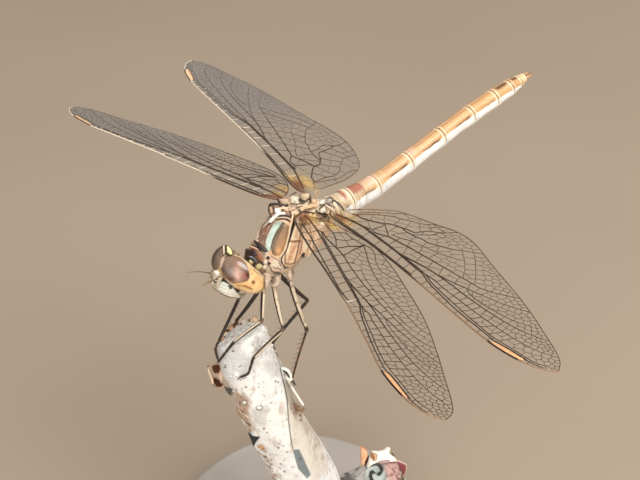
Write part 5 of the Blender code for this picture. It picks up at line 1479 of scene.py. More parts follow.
HIND_CROSS = [
    [(1.8, 0.75), (1.7, 0.3)], [(3.3, 0.65), (3.2, 0.25)], [(5.4, 0.42), (5.3, 0.12)], [(7.4, 0.34), (7.3, 0.05)], [(9.4, 0.32), (9.3, 0.04)],
    [(11.1, 0.36), (11.0, 0.05)],
    [(3.1, 0.22), (2.8, -0.62)], [(5.3, 0.1), (5.0, -0.88)], [(7.0, 0.06), (6.7, -0.89)], [(8.6, 0.05), (8.25, -0.9)], [(10.2, 0.05), (9.75, -0.86)],
    [(11.3, 0.05), (10.95, -0.83)],
    [(12.55, 0.42), (12.35, 0.05), (12.05, -0.4), (12.0, -0.8)],
    [(13.9, 0.45), (13.8, -0.5)], [(15.65, 0.5), (15.6, -0.2)], [(17.25, 0.55), (17.0, -0.05)], [(18.6, 0.58), (18.4, 0.04)], [(19.95, 0.58), (19.7, 0.06)],
    [(21.3, 0.55), (21.1, 0.05)], [(22.4, 0.52), (22.3, 0.02)], [(25.9, -0.25), (25.7, -0.78)],
    [(14.2, -0.42), (14.15, -0.62)], [(16.9, -0.06), (16.7, -0.38)], [(18.6, 0.04), (18.5, -0.26)], [(20.5, 0.05), (20.4, -0.2)], [(24.5, -0.48), (24.3, -0.74)],
    [(13.6, -0.72), (13.5, -1.08)], [(15.05, -0.52), (15.15, -1.08)], [(16.7, -0.38), (16.4, -1.12)], [(17.4, -0.33), (17.55, -1.18)], [(18.5, -0.26), (18.6, -1.23)],
    [(19.6, -0.21), (19.75, -1.32)], [(20.8, -0.22), (21.0, -1.45)], [(21.75, -0.24), (21.95, -1.6)], [(22.8, -0.4), (22.9, -1.78)],
    [(14.15, -1.15), (14.0, -2.05)], [(16.35, -1.12), (16.1, -2.1)], [(17.1, -1.17), (17.0, -2.13)], [(17.95, -1.2), (17.8, -2.19)], [(18.6, -1.23), (18.5, -2.24)],
    [(19.5, -1.3), (19.1, -2.28)], [(20.3, -1.38), (20.0, -2.4)], [(21.2, -1.48), (20.9, -2.58)],
    [(7.5, -1.08), (7.0, -2.3)], [(9.5, -1.1), (8.35, -2.57)], [(10.8, -1.5), (10.05, -2.86)], [(12.0, -1.8), (11.3, -3.1)], [(13.3, -2.05), (12.4, -3.28)],
    [(14.85, -2.5), (14.2, -3.65)], [(16.0, -2.95), (15.25, -3.95)],
    [(1.8, -3.5), (2.85, -2.45)], [(2.0, -4.7), (2.8, -4.0), (3.8, -3.35)], [(3.0, -5.8), (3.6, -4.9), (4.1, -4.15)], [(3.7, -6.5), (4.4, -5.6), (5.0, -4.8)],
    [(4.25, -7.05), (5.1, -6.4), (6.0, -5.75)], [(4.45, -7.9), (5.3, -7.5), (6.3, -6.9)], [(4.5, -8.6), (5.6, -8.3), (6.75, -8.1)],
    [(5.2, -7.6), (5.3, -9.3)],
    [(6.9, -2.3), (6.8, -2.95)], [(8.25, -2.55), (7.5, -3.5)], [(7.5, -3.5), (7.0, -4.2), (6.9, -4.7)], [(9.6, -2.8), (8.7, -4.0)], [(8.65, -4.0), (8.0, -4.9)],
    [(10.7, -3.0), (10.1, -4.6)], [(5.9, -2.6), (5.9, -3.6), (5.8, -4.5)], [(5.4, -2.55), (4.7, -3.9), (4.5, -4.4)],
    [(9.9, -4.5), (9.0, -5.55)], [(6.55, -5.5), (6.1, -6.1)],
]


def wing_place(name, x, y, z=0.0):
    fore = "fore" in name
    length = FORE_WING if fore else HIND_WING
    base = FORE_BASE if fore else HIND_BASE
    side = 1 if "left" in name else -1
    sweep, rise, twist, bend, droop = WING_POSE[name]
    sg, de, ta = math.radians(sweep), math.radians(rise), math.radians(twist)
    along = np.array((math.sin(sg) * math.cos(de), math.cos(sg) * math.cos(de), math.sin(de)))
    level = np.array((math.cos(sg), -math.sin(sg), 0.0))
    lift = np.cross(level, along)
    across = level * math.cos(ta) + lift * math.sin(ta)
    normal = np.cross(across, along)
    x, y = np.asarray(x, float), np.asarray(y, float)
    sag = droop * (y / (0.32 * length)) ** 2 * np.exp(-((x / length - 0.11) / 0.15) ** 2)
    h = z + bend * (x / length) ** 2 - sag
    p = np.array(base) + along * x[..., None] + across * y[..., None] + normal * h[..., None]
    p[..., 1] *= side
    return p, normal * np.array((1, side, 1))


def pleat(x, y, fore):
    """Shallow ridges and valleys of the wing, mm above its plane."""
    r = np.interp(x, [0, 3, 12.5, 16, 22, 28], [-0.3, -0.75, -0.9, -0.5, 0.0, -1.2])
    sc = np.interp(x, [0, 4, 14, 15], [0.1, 0.12, -0.1, -0.5])
    fade = step(0.0, 1.5, x) * step(28.5, 20, x)
    wide = np.where(x < 14, 0.10, 0.03)
    out = -wide * np.exp(-((y - sc) / 0.35) ** 2) + 0.07 * np.exp(-((y - r) / 0.28) ** 2)
    out += 0.05 * np.sin(1.9 * (y - r)) * step(-1.0, -2.0, y - r)
    return out * fade


def outline(fore):
    length = FORE_WING if fore else HIND_WING
    f = catmull(FORE_FRONT if fore else HIND_FRONT, np.linspace(0, 1, 150)) * length
    b = catmull(FORE_BACK if fore else HIND_BACK, np.linspace(0, 1, 150)) * length
    return f, b


def smooth_path(points, gap=0.35):
    p = np.array(points, float)
    if len(p) < 3:
        return p
    seg = np.hypot(*np.diff(p, axis=0).T)
    n = max(3, int(seg.sum() / gap) + 1)
    return catmull(p, np.linspace(0, 1, max(n, len(p) * 2)))


def cells(fore):
    """Short veins that part each field between the main veins into cells: seeds spread evenly, then their borders."""
    f, b = outline(fore)
    veins, cross = (FORE_VEINS, FORE_CROSS) if fore else (HIND_VEINS, HIND_CROSS)
    res = 0.05
    x0, y0 = -0.2, -9.8
    nx, ny = int(29.4 / res), int(11.4 / res)
    gx, gy = np.meshgrid(x0 + (np.arange(nx) + 0.5) * res, y0 + (np.arange(ny) + 0.5) * res)
    poly = np.concatenate([f, b[::-1]])
    room = inside(gx, gy, poly)

    def block(path, wide=0.055):
        path = np.asarray(path)
        for a, c in zip(path[:-1], path[1:]):
            d = np.hypot(*(c - a))
            for t in np.linspace(0, 1, max(2, int(d / 0.03))):
                q = a + (c - a) * t
                i, j = int((q[1] - y0) / res), int((q[0] - x0) / res)
                room[max(0, i - 1):i + 2, max(0, j - 1):j + 2] = False

    for path, _, _ in veins.values():
        block(smooth_path(path))
    for path in cross:
        block(np.array(path))
    # fields: connected areas
    label = np.zeros(room.shape, int)
    count = 0
    todo = room.copy()
    while todo.any():
        count += 1
        i, j = np.argwhere(todo)[0]
        stack = [(i, j)]
        todo[i, j] = False
        label[i, j] = count
        while stack:
            a, c = stack.pop()
            for da, dc in ((1, 0), (-1, 0), (0, 1), (0, -1)):
                e, g = a + da, c + dc
                if 0 <= e < ny and 0 <= g < nx and todo[e, g]:
                    todo[e, g] = False
                    label[e, g] = count
                    stack.append((e, g))
    r = np.random.default_rng(31 if fore else 57)
    edges = []
    for k in range(1, count + 1):
        pick = label == k
        px, py = gx[pick], gy[pick]
        if len(px) * res * res < 0.35:
            continue
        back = np.interp(px, b[:, 0], b[:, 1])
        near_margin = step(2.2, 0.3, py - back)
        size = np.interp(px, [0, 6, 12, 18, 23, 28], [1.05, 0.85, 0.62, 0.42, 0.30, 0.24])
        size = size * (1 - 0.42 * near_margin * step(4, 9, px))
        n = int(round((res * res / size).sum()))
        if n < 2:
            continue
        w = 1 / size
        seeds = r.choice(len(px), n, replace=False, p=w / w.sum())
        s = np.stack([px[seeds], py[seeds]], 1)
        for _ in range(14):
            d = (px[:, None] - s[None, :, 0]) ** 2 + (py[:, None] - s[None, :, 1]) ** 2
            own = d.argmin(1)
            for q in range(n):
                m = own == q
                if m.any():
                    s[q] = (px[m] * w[m]).sum() / w[m].sum(), (py[m] * w[m]).sum() / w[m].sum()
        d = (px[:, None] - s[None, :, 0]) ** 2 + (py[:, None] - s[None, :, 1]) ** 2
        own = d.argmin(1)
        grid = np.full(room.shape, -1)
        grid[pick] = own
        border = {}
        for di, dj in ((0, 1), (1, 0), (1, 1)):
            a = grid[:ny - di, :nx - dj]
            c = grid[di:, dj:]
            hit = (a >= 0) & (c >= 0) & (a != c)
            for i, j in np.argwhere(hit):
                key = (min(a[i, j], c[i, j]), max(a[i, j], c[i, j]))
                border.setdefault(key, []).append((gx[i, j] + dj * res / 2, gy[i, j] + di * res / 2))
        for (u, v), pts in border.items():
            pts = np.array(pts)
            m = (s[u] + s[v]) / 2
            t = np.array([-(s[v] - s[u])[1], (s[v] - s[u])[0]])
            t /= max(np.hypot(*t), 1e-9)
            k1 = (pts - m) @ t
            lo, hi = k1.min() - 0.06, k1.max() + 0.06
            if hi - lo < 0.12:
                continue
            edges.append((m + t * lo, m + t * hi))
    return edges


def membrane_material():
    m, nt, b = new_material("wing_membrane")
    at = node(nt, "ShaderNodeAttribute", attribute_name="Col")
    tc = nt.nodes.new("ShaderNodeTexCoord")
    n = node(nt, "ShaderNodeTexNoise", Scale=260.0, Detail=3.0)
    nt.links.new(tc.outputs["Object"], n.inputs["Vector"])
    k = ramp(nt, n.outputs["Fac"], [(0.3, 0.82), (0.7, 1.08)])
    c = mix_rgb(nt, at.outputs["Color"], k, 1.0, "MULTIPLY")
    nt.links.new(c, b.inputs["Base Color"])
    k2 = ramp(nt, n.outputs["Fac"], [(0.3, 0.75), (0.7, 1.0)])
    mul = nt.nodes.new("ShaderNodeMath")
    mul.operation = "MULTIPLY"
    nt.links.new(at.outputs["Alpha"], mul.inputs[0])
    nt.links.new(k2, mul.inputs[1])
    lw = node(nt, "ShaderNodeLayerWeight", Blend=0.35)
    add = nt.nodes.new("ShaderNodeMath")
    add.operation = "MULTIPLY_ADD"
    nt.links.new(lw.outputs["Facing"], add.inputs[0])
    add.inputs[1].default_value = 0.07
    nt.links.new(mul.outputs[0], add.inputs[2])
    nt.links.new(add.outputs[0], b.inputs["Alpha"])
    r = nt.nodes.new("ShaderNodeMapRange")
    r.inputs["To Min"].default_value = 0.12
    r.inputs["To Max"].default_value = 0.3
    nt.links.new(n.outputs["Fac"], r.inputs["Value"])
    nt.links.new(r.outputs["Result"], b.inputs["Roughness"])
    b.inputs["Specular IOR Level"].default_value = 0.9
    m.use_backface_culling = False
    return m


MAT_MEMBRANE = membrane_material()
MAT_VEIN = shell_material("wing_vein", 0.36, 0.14, 14000, 0.1, 0.2)
MAT_STIGMA = shell_material("wing_stigma", 0.34, 0.16, 9000, 0.2, 0.3)
EDGES = {True: cells(True), False: cells(False)}


def vein_colour(name, x, y, kind):
    """Linear colour of a vein at x, y."""
    near = "left" in name
    # the far wings' lighter vein tones are painted sheen
    dark = lin((58, 40, 22)) if near else lin((66, 52, 34))
    thin = lin((84, 64, 42)) if near else lin((104, 92, 74))
    pale = lin((232, 214, 190))
    amber = lin((128, 76, 28))
    base = np.where(np.broadcast_to(kind == "thin", x.shape)[..., None], thin, dark)
    if not near:        # painted sheen: the far wings' outer halves get paler, greyer veins
        out = step(9, 17, x)[..., None]
        base = base * (1 - out) + (lin((136, 128, 118)) if kind == "thin" else lin((92, 80, 66))) * out
    if kind == "costa":
        # far wings: pale costa beyond the nodus, partly its real pale colour and partly a painted highlight
        out = step(12.5, 14.5, x)[..., None] if near else step(6.5, 9.0, x)[..., None]
        base = base * (1 - out) + (lin((150, 118, 88)) if near else pale) * out
    if kind == "pale":
        base = np.broadcast_to(pale, x.shape + (3,)).copy()
    a = (step(2.6, 0.8, x) * 0.75)[..., None]
    return base * (1 - a) + amber * a


def wing(name):
    fore = "fore" in name
    f, b = outline(fore)
    near = "left" in name
    veins, cross = (FORE_VEINS, FORE_CROSS) if fore else (HIND_VEINS, HIND_CROSS)
    # membrane: thin two-sided sheet, closed at its edge
    rows, cols = 90, 26
    ti = np.linspace(0, 1, rows)
    fi, bi = catmull(FORE_FRONT if fore else HIND_FRONT, ti), catmull(FORE_BACK if fore else HIND_BACK, ti)
    length = FORE_WING if fore else HIND_WING
    t = np.linspace(0.01, 0.99, cols)[None, :, None]
    xy = (fi[:, None] * (1 - t) + bi[:, None] * t) * length
    x, y = xy[..., 0], xy[..., 1]
    z = pleat(x, y, fore)
    up, _ = wing_place(name, x, y, z + 0.012)
    low, _ = wing_place(name, x, y, z - 0.012)
    n = rows * cols
    faces = grid_faces(rows, cols, wrap=False) + grid_faces(rows, cols, wrap=False, start=n, flip=True)
    rim = [i * cols for i in range(rows)] + [(rows - 1) * cols + j for j in range(1, cols)] \
        + [i * cols + cols - 1 for i in range(rows - 2, -1, -1)] + [j for j in range(cols - 2, 0, -1)]
    for p, q in zip(rim, rim[1:] + rim[:1]):
        faces.append((q, p, p + n, q + n))
    # the far wings' greyer, more opaque membrane is painted sheen
    col = np.broadcast_to(lin((150, 132, 112)) if near else lin((120, 116, 110)), x.shape + (3,)).copy()
    alpha = np.full(x.shape, 0.065 if near else 0.15)
    if near:
        # painted shade: darker, denser patches on the near wings, for shade seen through them
        painted_shade_patch = bump1(x, 20.5, 3.0) * bump1(y, -3.2, 2.6) * 0.5 + (0 if fore else 1) * bump1(x, 10.5, 3.2) * bump1(y, -4.2, 2.2) * 0.4
        col = paint(col, (96, 80, 68), painted_shade_patch)
        alpha = alpha + 0.10 * painted_shade_patch
    else:
        # painted sheen: the far wings' outer halves slate grey and more opaque
        far = step(9, 17, x)
        col = paint(col, (112, 114, 118), far)
        alpha = alpha + 0.16 * far
    if fore:
        amber = bump1(x, 0.7, 0.7) * bump1(y, -0.25, 0.45) + 0.6 * bump1(x, 1.5, 0.8) * bump1(y, 0.25, 0.35)
        gold = bump1(x, 1.5, 1.1) * bump1(y, -2.8, 0.9) + bump1(x, 1.2, 1.0) * bump1(y, -0.9, 0.4)
    else:
        amber = bump1(x, 1.6, 1.0) * bump1(y, -0.05, 0.42)
        gold = bump1(x, 1.5, 1.5) * bump1(y, -1.0, 0.7) + bump1(x, 2.8, 0.8) * bump1(y, 0.2, 0.5)
    col = paint(col, (236, 192, 104), gold)
    col = paint(col, (140, 78, 24), amber)
    alpha = np.clip(alpha + 0.35 * gold + 0.65 * amber, 0, 0.85)
    c4 = np.concatenate([col, alpha[..., None]], -1).reshape(-1, 4)
    sheet = make(name + "_membrane", W(np.concatenate([up.reshape(-1, 3), low.reshape(-1, 3)])), faces, MAT_MEMBRANE,
                 np.concatenate([c4, c4]), slot="wing")
    outward(sheet)
    # veins
    bag = Bag()

    margin = np.concatenate([f, b[::-1]])

    def kept(path):
        """Draws points outside the wing back to its edge."""
        path = np.array(path, float)
        out = area(path[:, 0], path[:, 1], [tuple(q) for q in margin[::2]], 0.01) < 0.5
        for i in np.where(out)[0]:
            path[i] = margin[((margin - path[i]) ** 2).sum(1).argmin()]
        return path

    def vein(path, r0, r1, kind, sides=6, lift=0.0):
        path = np.asarray(path, float)
        p, _ = wing_place(name, path[:, 0], path[:, 1], pleat(path[:, 0], path[:, 1], fore) + lift)
        c = vein_colour(name, path[:, 0], path[:, 1], kind)
        bag.tube(p, np.linspace(r0, r1, len(path)), sides, c)

    keep = f[(f[:, 0] > 0.15)]
    vein(smooth_path(keep[::3] * np.array([1, 1]) - np.array([0, 0.03]), 0.3), 0.10, 0.05, "costa", 7)
    edge = b[(b[:, 0] > 0.1)]
    vein(edge[::2] + np.array([0, 0.03]), 0.045, 0.035, "thin", 5)
    for key, (path, r0, r1) in veins.items():
        vein(kept(smooth_path(path)), r0 * 0.9, r1 * 0.9, "main", 6)
    for i, path in enumerate(cross):
        nodal = len(path) == 3 and abs(path[0][0] - (14.35 if fore else 12.55)) < 0.01
        q = np.array(path)
        if len(q) == 2:
            q = np.array([q[0], (q[0] + q[1]) / 2, q[1]])
        front = q[:, 1].max() > -0.2
        # the far wings' front crossveins are pale as a painted highlight; the nodal crossvein is pale on every wing
        kind = "pale" if nodal or (front and not near) else "thin"
        vein(kept(q), 0.05 if nodal else 0.034, 0.05 if nodal else 0.034, kind, 5)
    small = kept(np.array([(a, (a + c) / 2, c) for a, c in EDGES[fore]]).reshape(-1, 2)).reshape(-1, 3, 2)
    for q in small:
        vein(q, 0.025, 0.025, "thin", 4)
    outward(bag.done(name + "_veins", MAT_VEIN, replace=[name], slot="wing"))
    # stigma: a thick coloured cell with dark edges
    s0, s1 = (23.65, 26.5) if fore else (22.65, 25.35)
    r_path = smooth_path(veins["r"][0], 0.2)
    xs = np.linspace(s0, s1, 24)
    top = np.interp(xs, f[:, 0], f[:, 1])
    bot = np.interp(xs, r_path[:, 0], r_path[:, 1])
    st = Bag()
    ring = []
    for k, x1 in enumerate(xs):
        m, h = (top[k] + bot[k]) / 2, max(0.14, (top[k] - bot[k]) / 2 + 0.02)
        skew = 0.12 * (1 if k < 12 else 1)
        end = 0.35 + 0.65 * min(1, k / 1.5, (23 - k) / 1.5)
        aa = 2 * math.pi * np.arange(12) / 12
        yy = m + h * end * np.cos(aa)
        zz = 0.075 * end * np.sin(aa)
        p, _ = wing_place(name, np.full(12, x1) - skew * np.cos(aa), yy, zz)
        ring.append(p)
    v = np.concatenate(ring)
    # the far wings' paler stigma is painted sheen
    warm = lin((232, 164, 106)) if near else lin((248, 206, 160))
    cc = np.broadcast_to(warm, v.shape).copy()
    kk = np.repeat(np.arange(24), 12)
    aa = np.tile(2 * math.pi * np.arange(12) / 12, 24)
    cc = paint(cc, (255, 226, 186), step(0.6, 1.0, np.sin(aa)) * 0.35)
    cc = paint(cc, (150, 92, 48), step(0.82, 0.97, np.abs(np.cos(aa))) * 0.8)
    fc = grid_faces(24, 12) + [tuple(range(12))[::-1], tuple(range(23 * 12, 24 * 12))]
    st.add(W(v), fc, cc)
    outward(st.done(name + "_stigma", MAT_STIGMA, slot="wing"))
    edge_bag = Bag()
    for line, wide in ((np.stack([xs - 0.12, top + 0.02], 1), 0.075), (np.stack([xs + 0.12, bot - 0.03], 1), 0.075)):
        p, _ = wing_place(name, line[:, 0], line[:, 1], np.full(len(line), 0.02))
        # far wings: paler stigma edges, painted sheen
        edge_bag.tube(p, wide, 7, lin((44, 28, 16)) if near else lin((120, 84, 56)))
    outward(edge_bag.done(name + "_stigma_edge", MAT_VEIN, slot="wing"))


for name in WING_POSE:
    wing(name)

# ================================================================ legs
LEGS = {
    "fore_left": ((4.0, 0.75, -6.9), (6.05, 3.2, -8.15), (8.43, 1.9, -10.35), [(9.4, 0.85, -12.8)]),
    "mid_left": ((3.0, 0.95, -7.2), (4.73, 4.62, -8.93), (7.06, 2.97, -12.3), [(7.67, 2.92, -14.05), (8.3, 2.45, -14.45)]),
    "hind_left": ((1.3, 1.1, -7.1), (0.95, 3.23, -12.25), (3.0, 3.40, -17.51), [(2.1, 2.6, -19.3)]),
    "fore_right": ((3.9, -0.75, -6.9), (5.05, -1.83, -9.39), (8.0, -0.65, -11.5), [(8.65, -1.0, -13.2), (8.85, -0.3, -13.9)]),
    "mid_right": ((2.95, -0.6, -7.7), (5.46, -1.9, -12.05), (4.9, -3.35, -15.3), [(5.3, -3.2, -17.4)]),
    "hind_right": ((1.5, -1.0, -7.1), (-1.55, 0.27, -11.95), (2.85, 0.1, -15.2), [(2.2, -0.1, -17.3)]),
}
COXA = {   # where each leg leaves the underside, and the coxa's middle
    "fore_left": ((3.55, 0.75, -5.3), (3.95, 0.95, -6.25)), "mid_left": ((2.7, 0.9, -5.9), (2.85, 1.1, -6.6)),
    "hind_left": ((1.1, 0.95, -5.9), (1.15, 1.15, -6.55)), "fore_right": ((3.55, -0.7, -5.3), (3.85, -0.85, -6.25)),
    "mid_right": ((2.6, -0.6, -5.9), (2.8, -0.7, -6.8)), "hind_right": ((1.2, -0.85, -5.9), (1.3, -1.0, -6.55)),
}
# cream stripes: direction each faces and its half width, on the femur and on the tibia
STRIPES = {
    "fore_left": ((CAM_RIGHT * 0.9 + TOWARD * 0.5, 1.05), (TOWARD * 0.8 + UPWARD * 0.35, 0.78)),
    "mid_left": ((TOWARD * 0.9 + CAM_RIGHT * 0.30, 0.92), (TOWARD * 0.7 + CAM_RIGHT * 0.45 - UPWARD * 0.45, 0.80)),
    "hind_left": ((TOWARD * 0.75 + CAM_RIGHT * 0.55, 0.80), (CAM_RIGHT * 0.9 + TOWARD * 0.2, 0.35)),
    "fore_right": ((-TOWARD * 0.2 - CAM_RIGHT * 0.9, 0.5), (-CAM_RIGHT * 0.9, 0.4)),
    "mid_right": ((CAM_RIGHT * 0.95, 0.35), (-CAM_RIGHT, 0.4)),
    "hind_right": ((TOWARD * 0.8 + UPWARD * 0.35, 0.85), (CAM_RIGHT * 0.9 + UPWARD * 0.3, 0.5)),
}


def limb_path(points, spacing, radius):
    """Even points along straight lengths with rounded corners; also which length each lies on (a fraction past it)."""
    pts = [np.asarray(p, float) for p in points]
    out, tag = [], []
    for i in range(len(pts) - 1):
        a, b = pts[i], pts[i + 1]
        d = b - a
        length = np.linalg.norm(d)
        d = d / length
        s0 = 0 if i == 0 else min(radius, 0.3 * length)
        s1 = length if i == len(pts) - 2 else length - min(radius, 0.3 * length)
        n = max(2, int((s1 - s0) / spacing))
        for s in np.linspace(s0, s1, n):
            out.append(a + d * s)
            tag.append(i + s / length)
        if i < len(pts) - 2:
            c = pts[i + 2] - b
            lc = np.linalg.norm(c)
            e = b + c / lc * min(radius, 0.3 * lc)
            for k in (0.25, 0.5, 0.75):
                out.append((1 - k) ** 2 * (a + d * s1) + 2 * k * (1 - k) * b + k * k * e)
                tag.append(i + s1 / length + (1 - s1 / length) * 2 * k if k <= 0.5 else i + 1 + 0.02 * (k - 0.5))
    return np.array(out), np.array(tag)


def limb_frames(path):
    d = np.gradient(path, axis=0)
    d = unit(d)
    one = np.zeros_like(path)
    v = np.cross(d[0], (0.3, 0.5, 0.81))
    for i in range(len(path)):
        v = v - d[i] * (v @ d[i])
        v = v / np.linalg.norm(v)
        one[i] = v
    return d, one, np.cross(d, one)


def leg(tag):
    hip, knee, ankle, toes = LEGS[tag]
    top, mid = COXA[tag]
    near = "left" in tag
    big = {"fore": 0.21, "mid": 0.22, "hind": 0.25}[tag.split("_")[0]]
    if not near:
        big *= 0.92
    points = [top, mid, hip, knee, ankle] + list(toes)
    path, where = limb_path(points, 0.07, 0.26)
    # gentle bow of the femur and tibia
    for k, amount in ((2, 0.10), (3, -0.06)):
        a, b = np.array(points[k]), np.array(points[k + 1])
        on = (where >= k) & (where <= k + 1)
        s = where[on] - k
        side = unit(np.cross(unit(b - a), np.cross(unit(b - a), unit(np.array(points[k - 1]) - a))))
        path[on] += side * (amount * np.sin(math.pi * s))[:, None]
    stops = [0, 0.5, 1.0, 1.35, 1.75, 2.0, 2.06, 2.2, 2.6, 2.93, 3.0, 3.05, 3.3, 3.7, 3.96, 4.0, 4.04, 4.3]
    sizes = [0.52, 0.50, 0.46, 0.40, 0.27, 0.25, 0.18, big, big * 0.92, big * 0.72, big * 0.80, 0.165, 0.16, 0.15, 0.15, 0.145, 0.12, 0.13]
    if tag == "hind_left":
        sizes = [s * (0.66 if 3.0 < w else 1.0) for s, w in zip(sizes, stops)]
    last = 3 + len(toes)
    radii = np.interp(where, stops, sizes)
    # the foot's three joints
    foot = where > 4.02
    arc = np.concatenate([[0], np.cumsum(np.linalg.norm(np.diff(path, axis=0), axis=1))])
    a0, a1 = arc[foot][0], arc[-1]
    s = (arc - a0) / (a1 - a0)
    notch = sum(np.exp(-((s - c) / 0.035) ** 2) for c in (0.22, 0.5))
    radii = np.where(foot, (0.138 - 0.02 * s) * (1 - 0.3 * notch), radii)
    radii[-1] *= 0.5
    d, one, two = limb_frames(path)
    sides = 18
    a = 2 * math.pi * np.arange(sides) / sides
    n = one[:, None] * np.cos(a)[None, :, None] + two[:, None] * np.sin(a)[None, :, None]
    w = where[:, None] + 0 * a[None, :]
    ringed = np.ones_like(w)
    flat = 1 + 0.10 * np.sin(3 * a)[None, :] * step(1.9, 1.6, w)      # lumpy coxa
    v = path[:, None] + n * (radii[:, None] * flat * ringed)[..., None]
    col = np.broadcast_to(lin((46, 33, 24)), v.shape).copy()
    (fs, fw), (ts, tw) = STRIPES[tag]
    # the far legs' darker cream is painted shade on the same stripe
    cream = (236, 216, 186) if near else (190, 164, 134)
    if tag == "hind_left":
        col = paint(col, (104, 62, 30), step(3.0, 3.08, w) * step(4.0, 3.92, w) * step(0.35, 0.65, fbm(v, 1.5, 2, 8)))

    def stripe(direction, half, lo, hi):
        ang = np.arccos(np.clip(n @ unit(direction), -1, 1))
        return step(half + 0.10, half - 0.10, ang + 0.10 * (fbm(v, 2.2, 2, 3) - 0.5)) * step(lo - 0.01, lo + 0.03, w) * step(hi + 0.01, hi - 0.03, w)

    m = stripe(fs, fw, 2.03, 2.93)
    col = paint(col, cream, m * 0.95)
    col = paint(col, (150, 120, 92), m * step(0.5, 0.72, fbm(v, 3.0, 2, 5)) * 0.65)
    col = paint(col, cream, stripe(ts, tw, 3.05, 3.95) * 0.95)
    if near:
        edge = np.abs(np.arccos(np.clip(n @ unit(ts), -1, 1)) - tw)
        col = paint(col, (30, 21, 15), np.exp(-(edge / 0.10) ** 2) * step(3.02, 3.1, w) * 0.8)
    # coxa and trochanter: beige with grey-brown patches
    base = step(2.06, 1.96, w)
    col = paint(col, (250, 228, 202), base)
    col = paint(col, (92, 78, 66), base * step(0.54, 0.64, fbm(v, 1.7, 3, 9)) * 0.85)
    col = paint(col, (206, 172, 146), base * step(0.50, 0.62, fbm(v, 2.4, 2, 19)) * 0.5)
    col = paint(col, (60, 44, 34), np.exp(-((w - 1.38) / 0.05) ** 2) * 0.8 + np.exp(-((w - 1.98) / 0.03) ** 2) * 0.8)
    # pale knee and foot joints
    col = paint(col, (178, 140, 104), np.exp(-((w - 3.02) / 0.02) ** 2) * 0.6)
    col = paint(col, (120, 92, 66), (notch * 0.5 * foot)[:, None] + 0 * w)
    bag = Bag()
    rows = len(path)
    faces = grid_faces(rows, sides) + [tuple(range(sides))[::-1], tuple(range((rows - 1) * sides, rows * sides))]
    bag.add(W(v.reshape(-1, 3)), faces, col.reshape(-1, 3))
    # spines: two rows on the bent side of the tibia, shorter ones under the femur
    r = np.random.default_rng(sum(map(ord, tag)))
    P = [np.asarray(q, float) for q in points]
    femur, tibia = unit(P[3] - P[2]), unit(P[4] - P[3])
    inner_t = unit(-femur - tibia * (-femur @ tibia))
    inner_f = unit(tibia - femur * (tibia @ femur))

    def spine(w0, inner, axis, ang, size, lean, r0, colour):
        i = int(np.argmin(np.abs(where - w0)))
        other = np.cross(axis, inner)
        out = unit(inner * math.cos(ang) + other * math.sin(ang))
        tip = unit(out * math.cos(lean) + axis * math.sin(lean))
        start = path[i] + out * radii[i] * 0.75
        line = [start, start + tip * size * 0.5 + axis * 0.01, start + tip * size + axis * 0.05 * size]
        bag.tube(line, [r0, r0 * 0.75, 0.006], 4, lin(colour))

    tone = (74, 54, 38) if near else (96, 74, 54)
    for sign in (1, -1):
        count = {"fore": 6, "mid": 7, "hind": 9}[tag.split("_")[0]]
        for k in range(count):
            w0 = 3.06 + 0.86 * (k + 0.25 * sign + 0.1 * r.random()) / count
            size = (0.64 - 0.22 * k / count) * (0.9 + 0.2 * r.random())
            spine(w0, inner_t, tibia, sign * 0.62, size, 0.55, 0.021, tone)
        for k in range(7):
            w0 = 2.15 + 0.78 * (k + 0.3 * sign + 0.1 * r.random()) / 7
            spine(w0, inner_f, femur, sign * 0.5, 0.18 + 0.14 * k / 7, 0.6, 0.018, tone)
    for k in range(5):      # short spurs under the foot
        spine(4.1 + (last - 3.1) * 0.18 * k, unit(inner_t), unit(P[5] - P[4]), 0.5 * (-1) ** k, 0.16, 0.7, 0.018, tone)
    # two hooked claws
    end, ahead = path[-1], d[-1]
    inner = unit(np.cross(ahead, UPWARD))
    for sign in (1, -1):
        t = np.linspace(0, 1, 7)[:, None]
        curve = end + ahead * (0.30 * t) + inner * sign * (0.14 * np.sin(2.2 * t)) - UPWARD * (0.16 * t ** 2)
        bag.tube(curve, np.interp(t[:, 0], [0, 0.3, 1], [0.055, 0.05, 0.010]), 7, lin((40, 28, 20)))
    nodes = ["femur_" + tag, "tibia_" + tag, "tarsus_" + tag]
    bag.done("leg_" + tag, MAT_LEG, replace=nodes, slot="leg")


for tag in LEGS:
    leg(tag)

# ================================================================ perch
TWIG = [
    (6.12, 0.44, -13.3, 2.32), (5.90, 0.49, -14.8, 2.52), (5.35, 0.62, -17.0, 2.75), (4.70, 0.87, -20.2, 2.85),
    (3.86, 1.20, -23.78, 2.95), (2.55, 1.60, -28.0, 3.15), (1.3, 1.95, -32.4, 3.4), (0.35, 2.25, -36.4, 3.6),
    (-0.2, 2.4, -40.5, 3.7)]
TOP_AT, TOP_TILT = (6.32, 0.40, -11.25, 2.15), (-0.31, 0.65)
STUB = [(0.2, 2.5, -38.9, 1.6), (-2.6, 3.7, -39.0, 1.35), (-6.2, 5.1, -38.1, 2.0), (-9.5, 6.55, -37.6, 2.15)]


def lumpy(a, x, depth):
    return 1 + depth * (np.sin(3 * a + 5 * x) + 0.7 * np.sin(5 * a - 9 * x + 1))


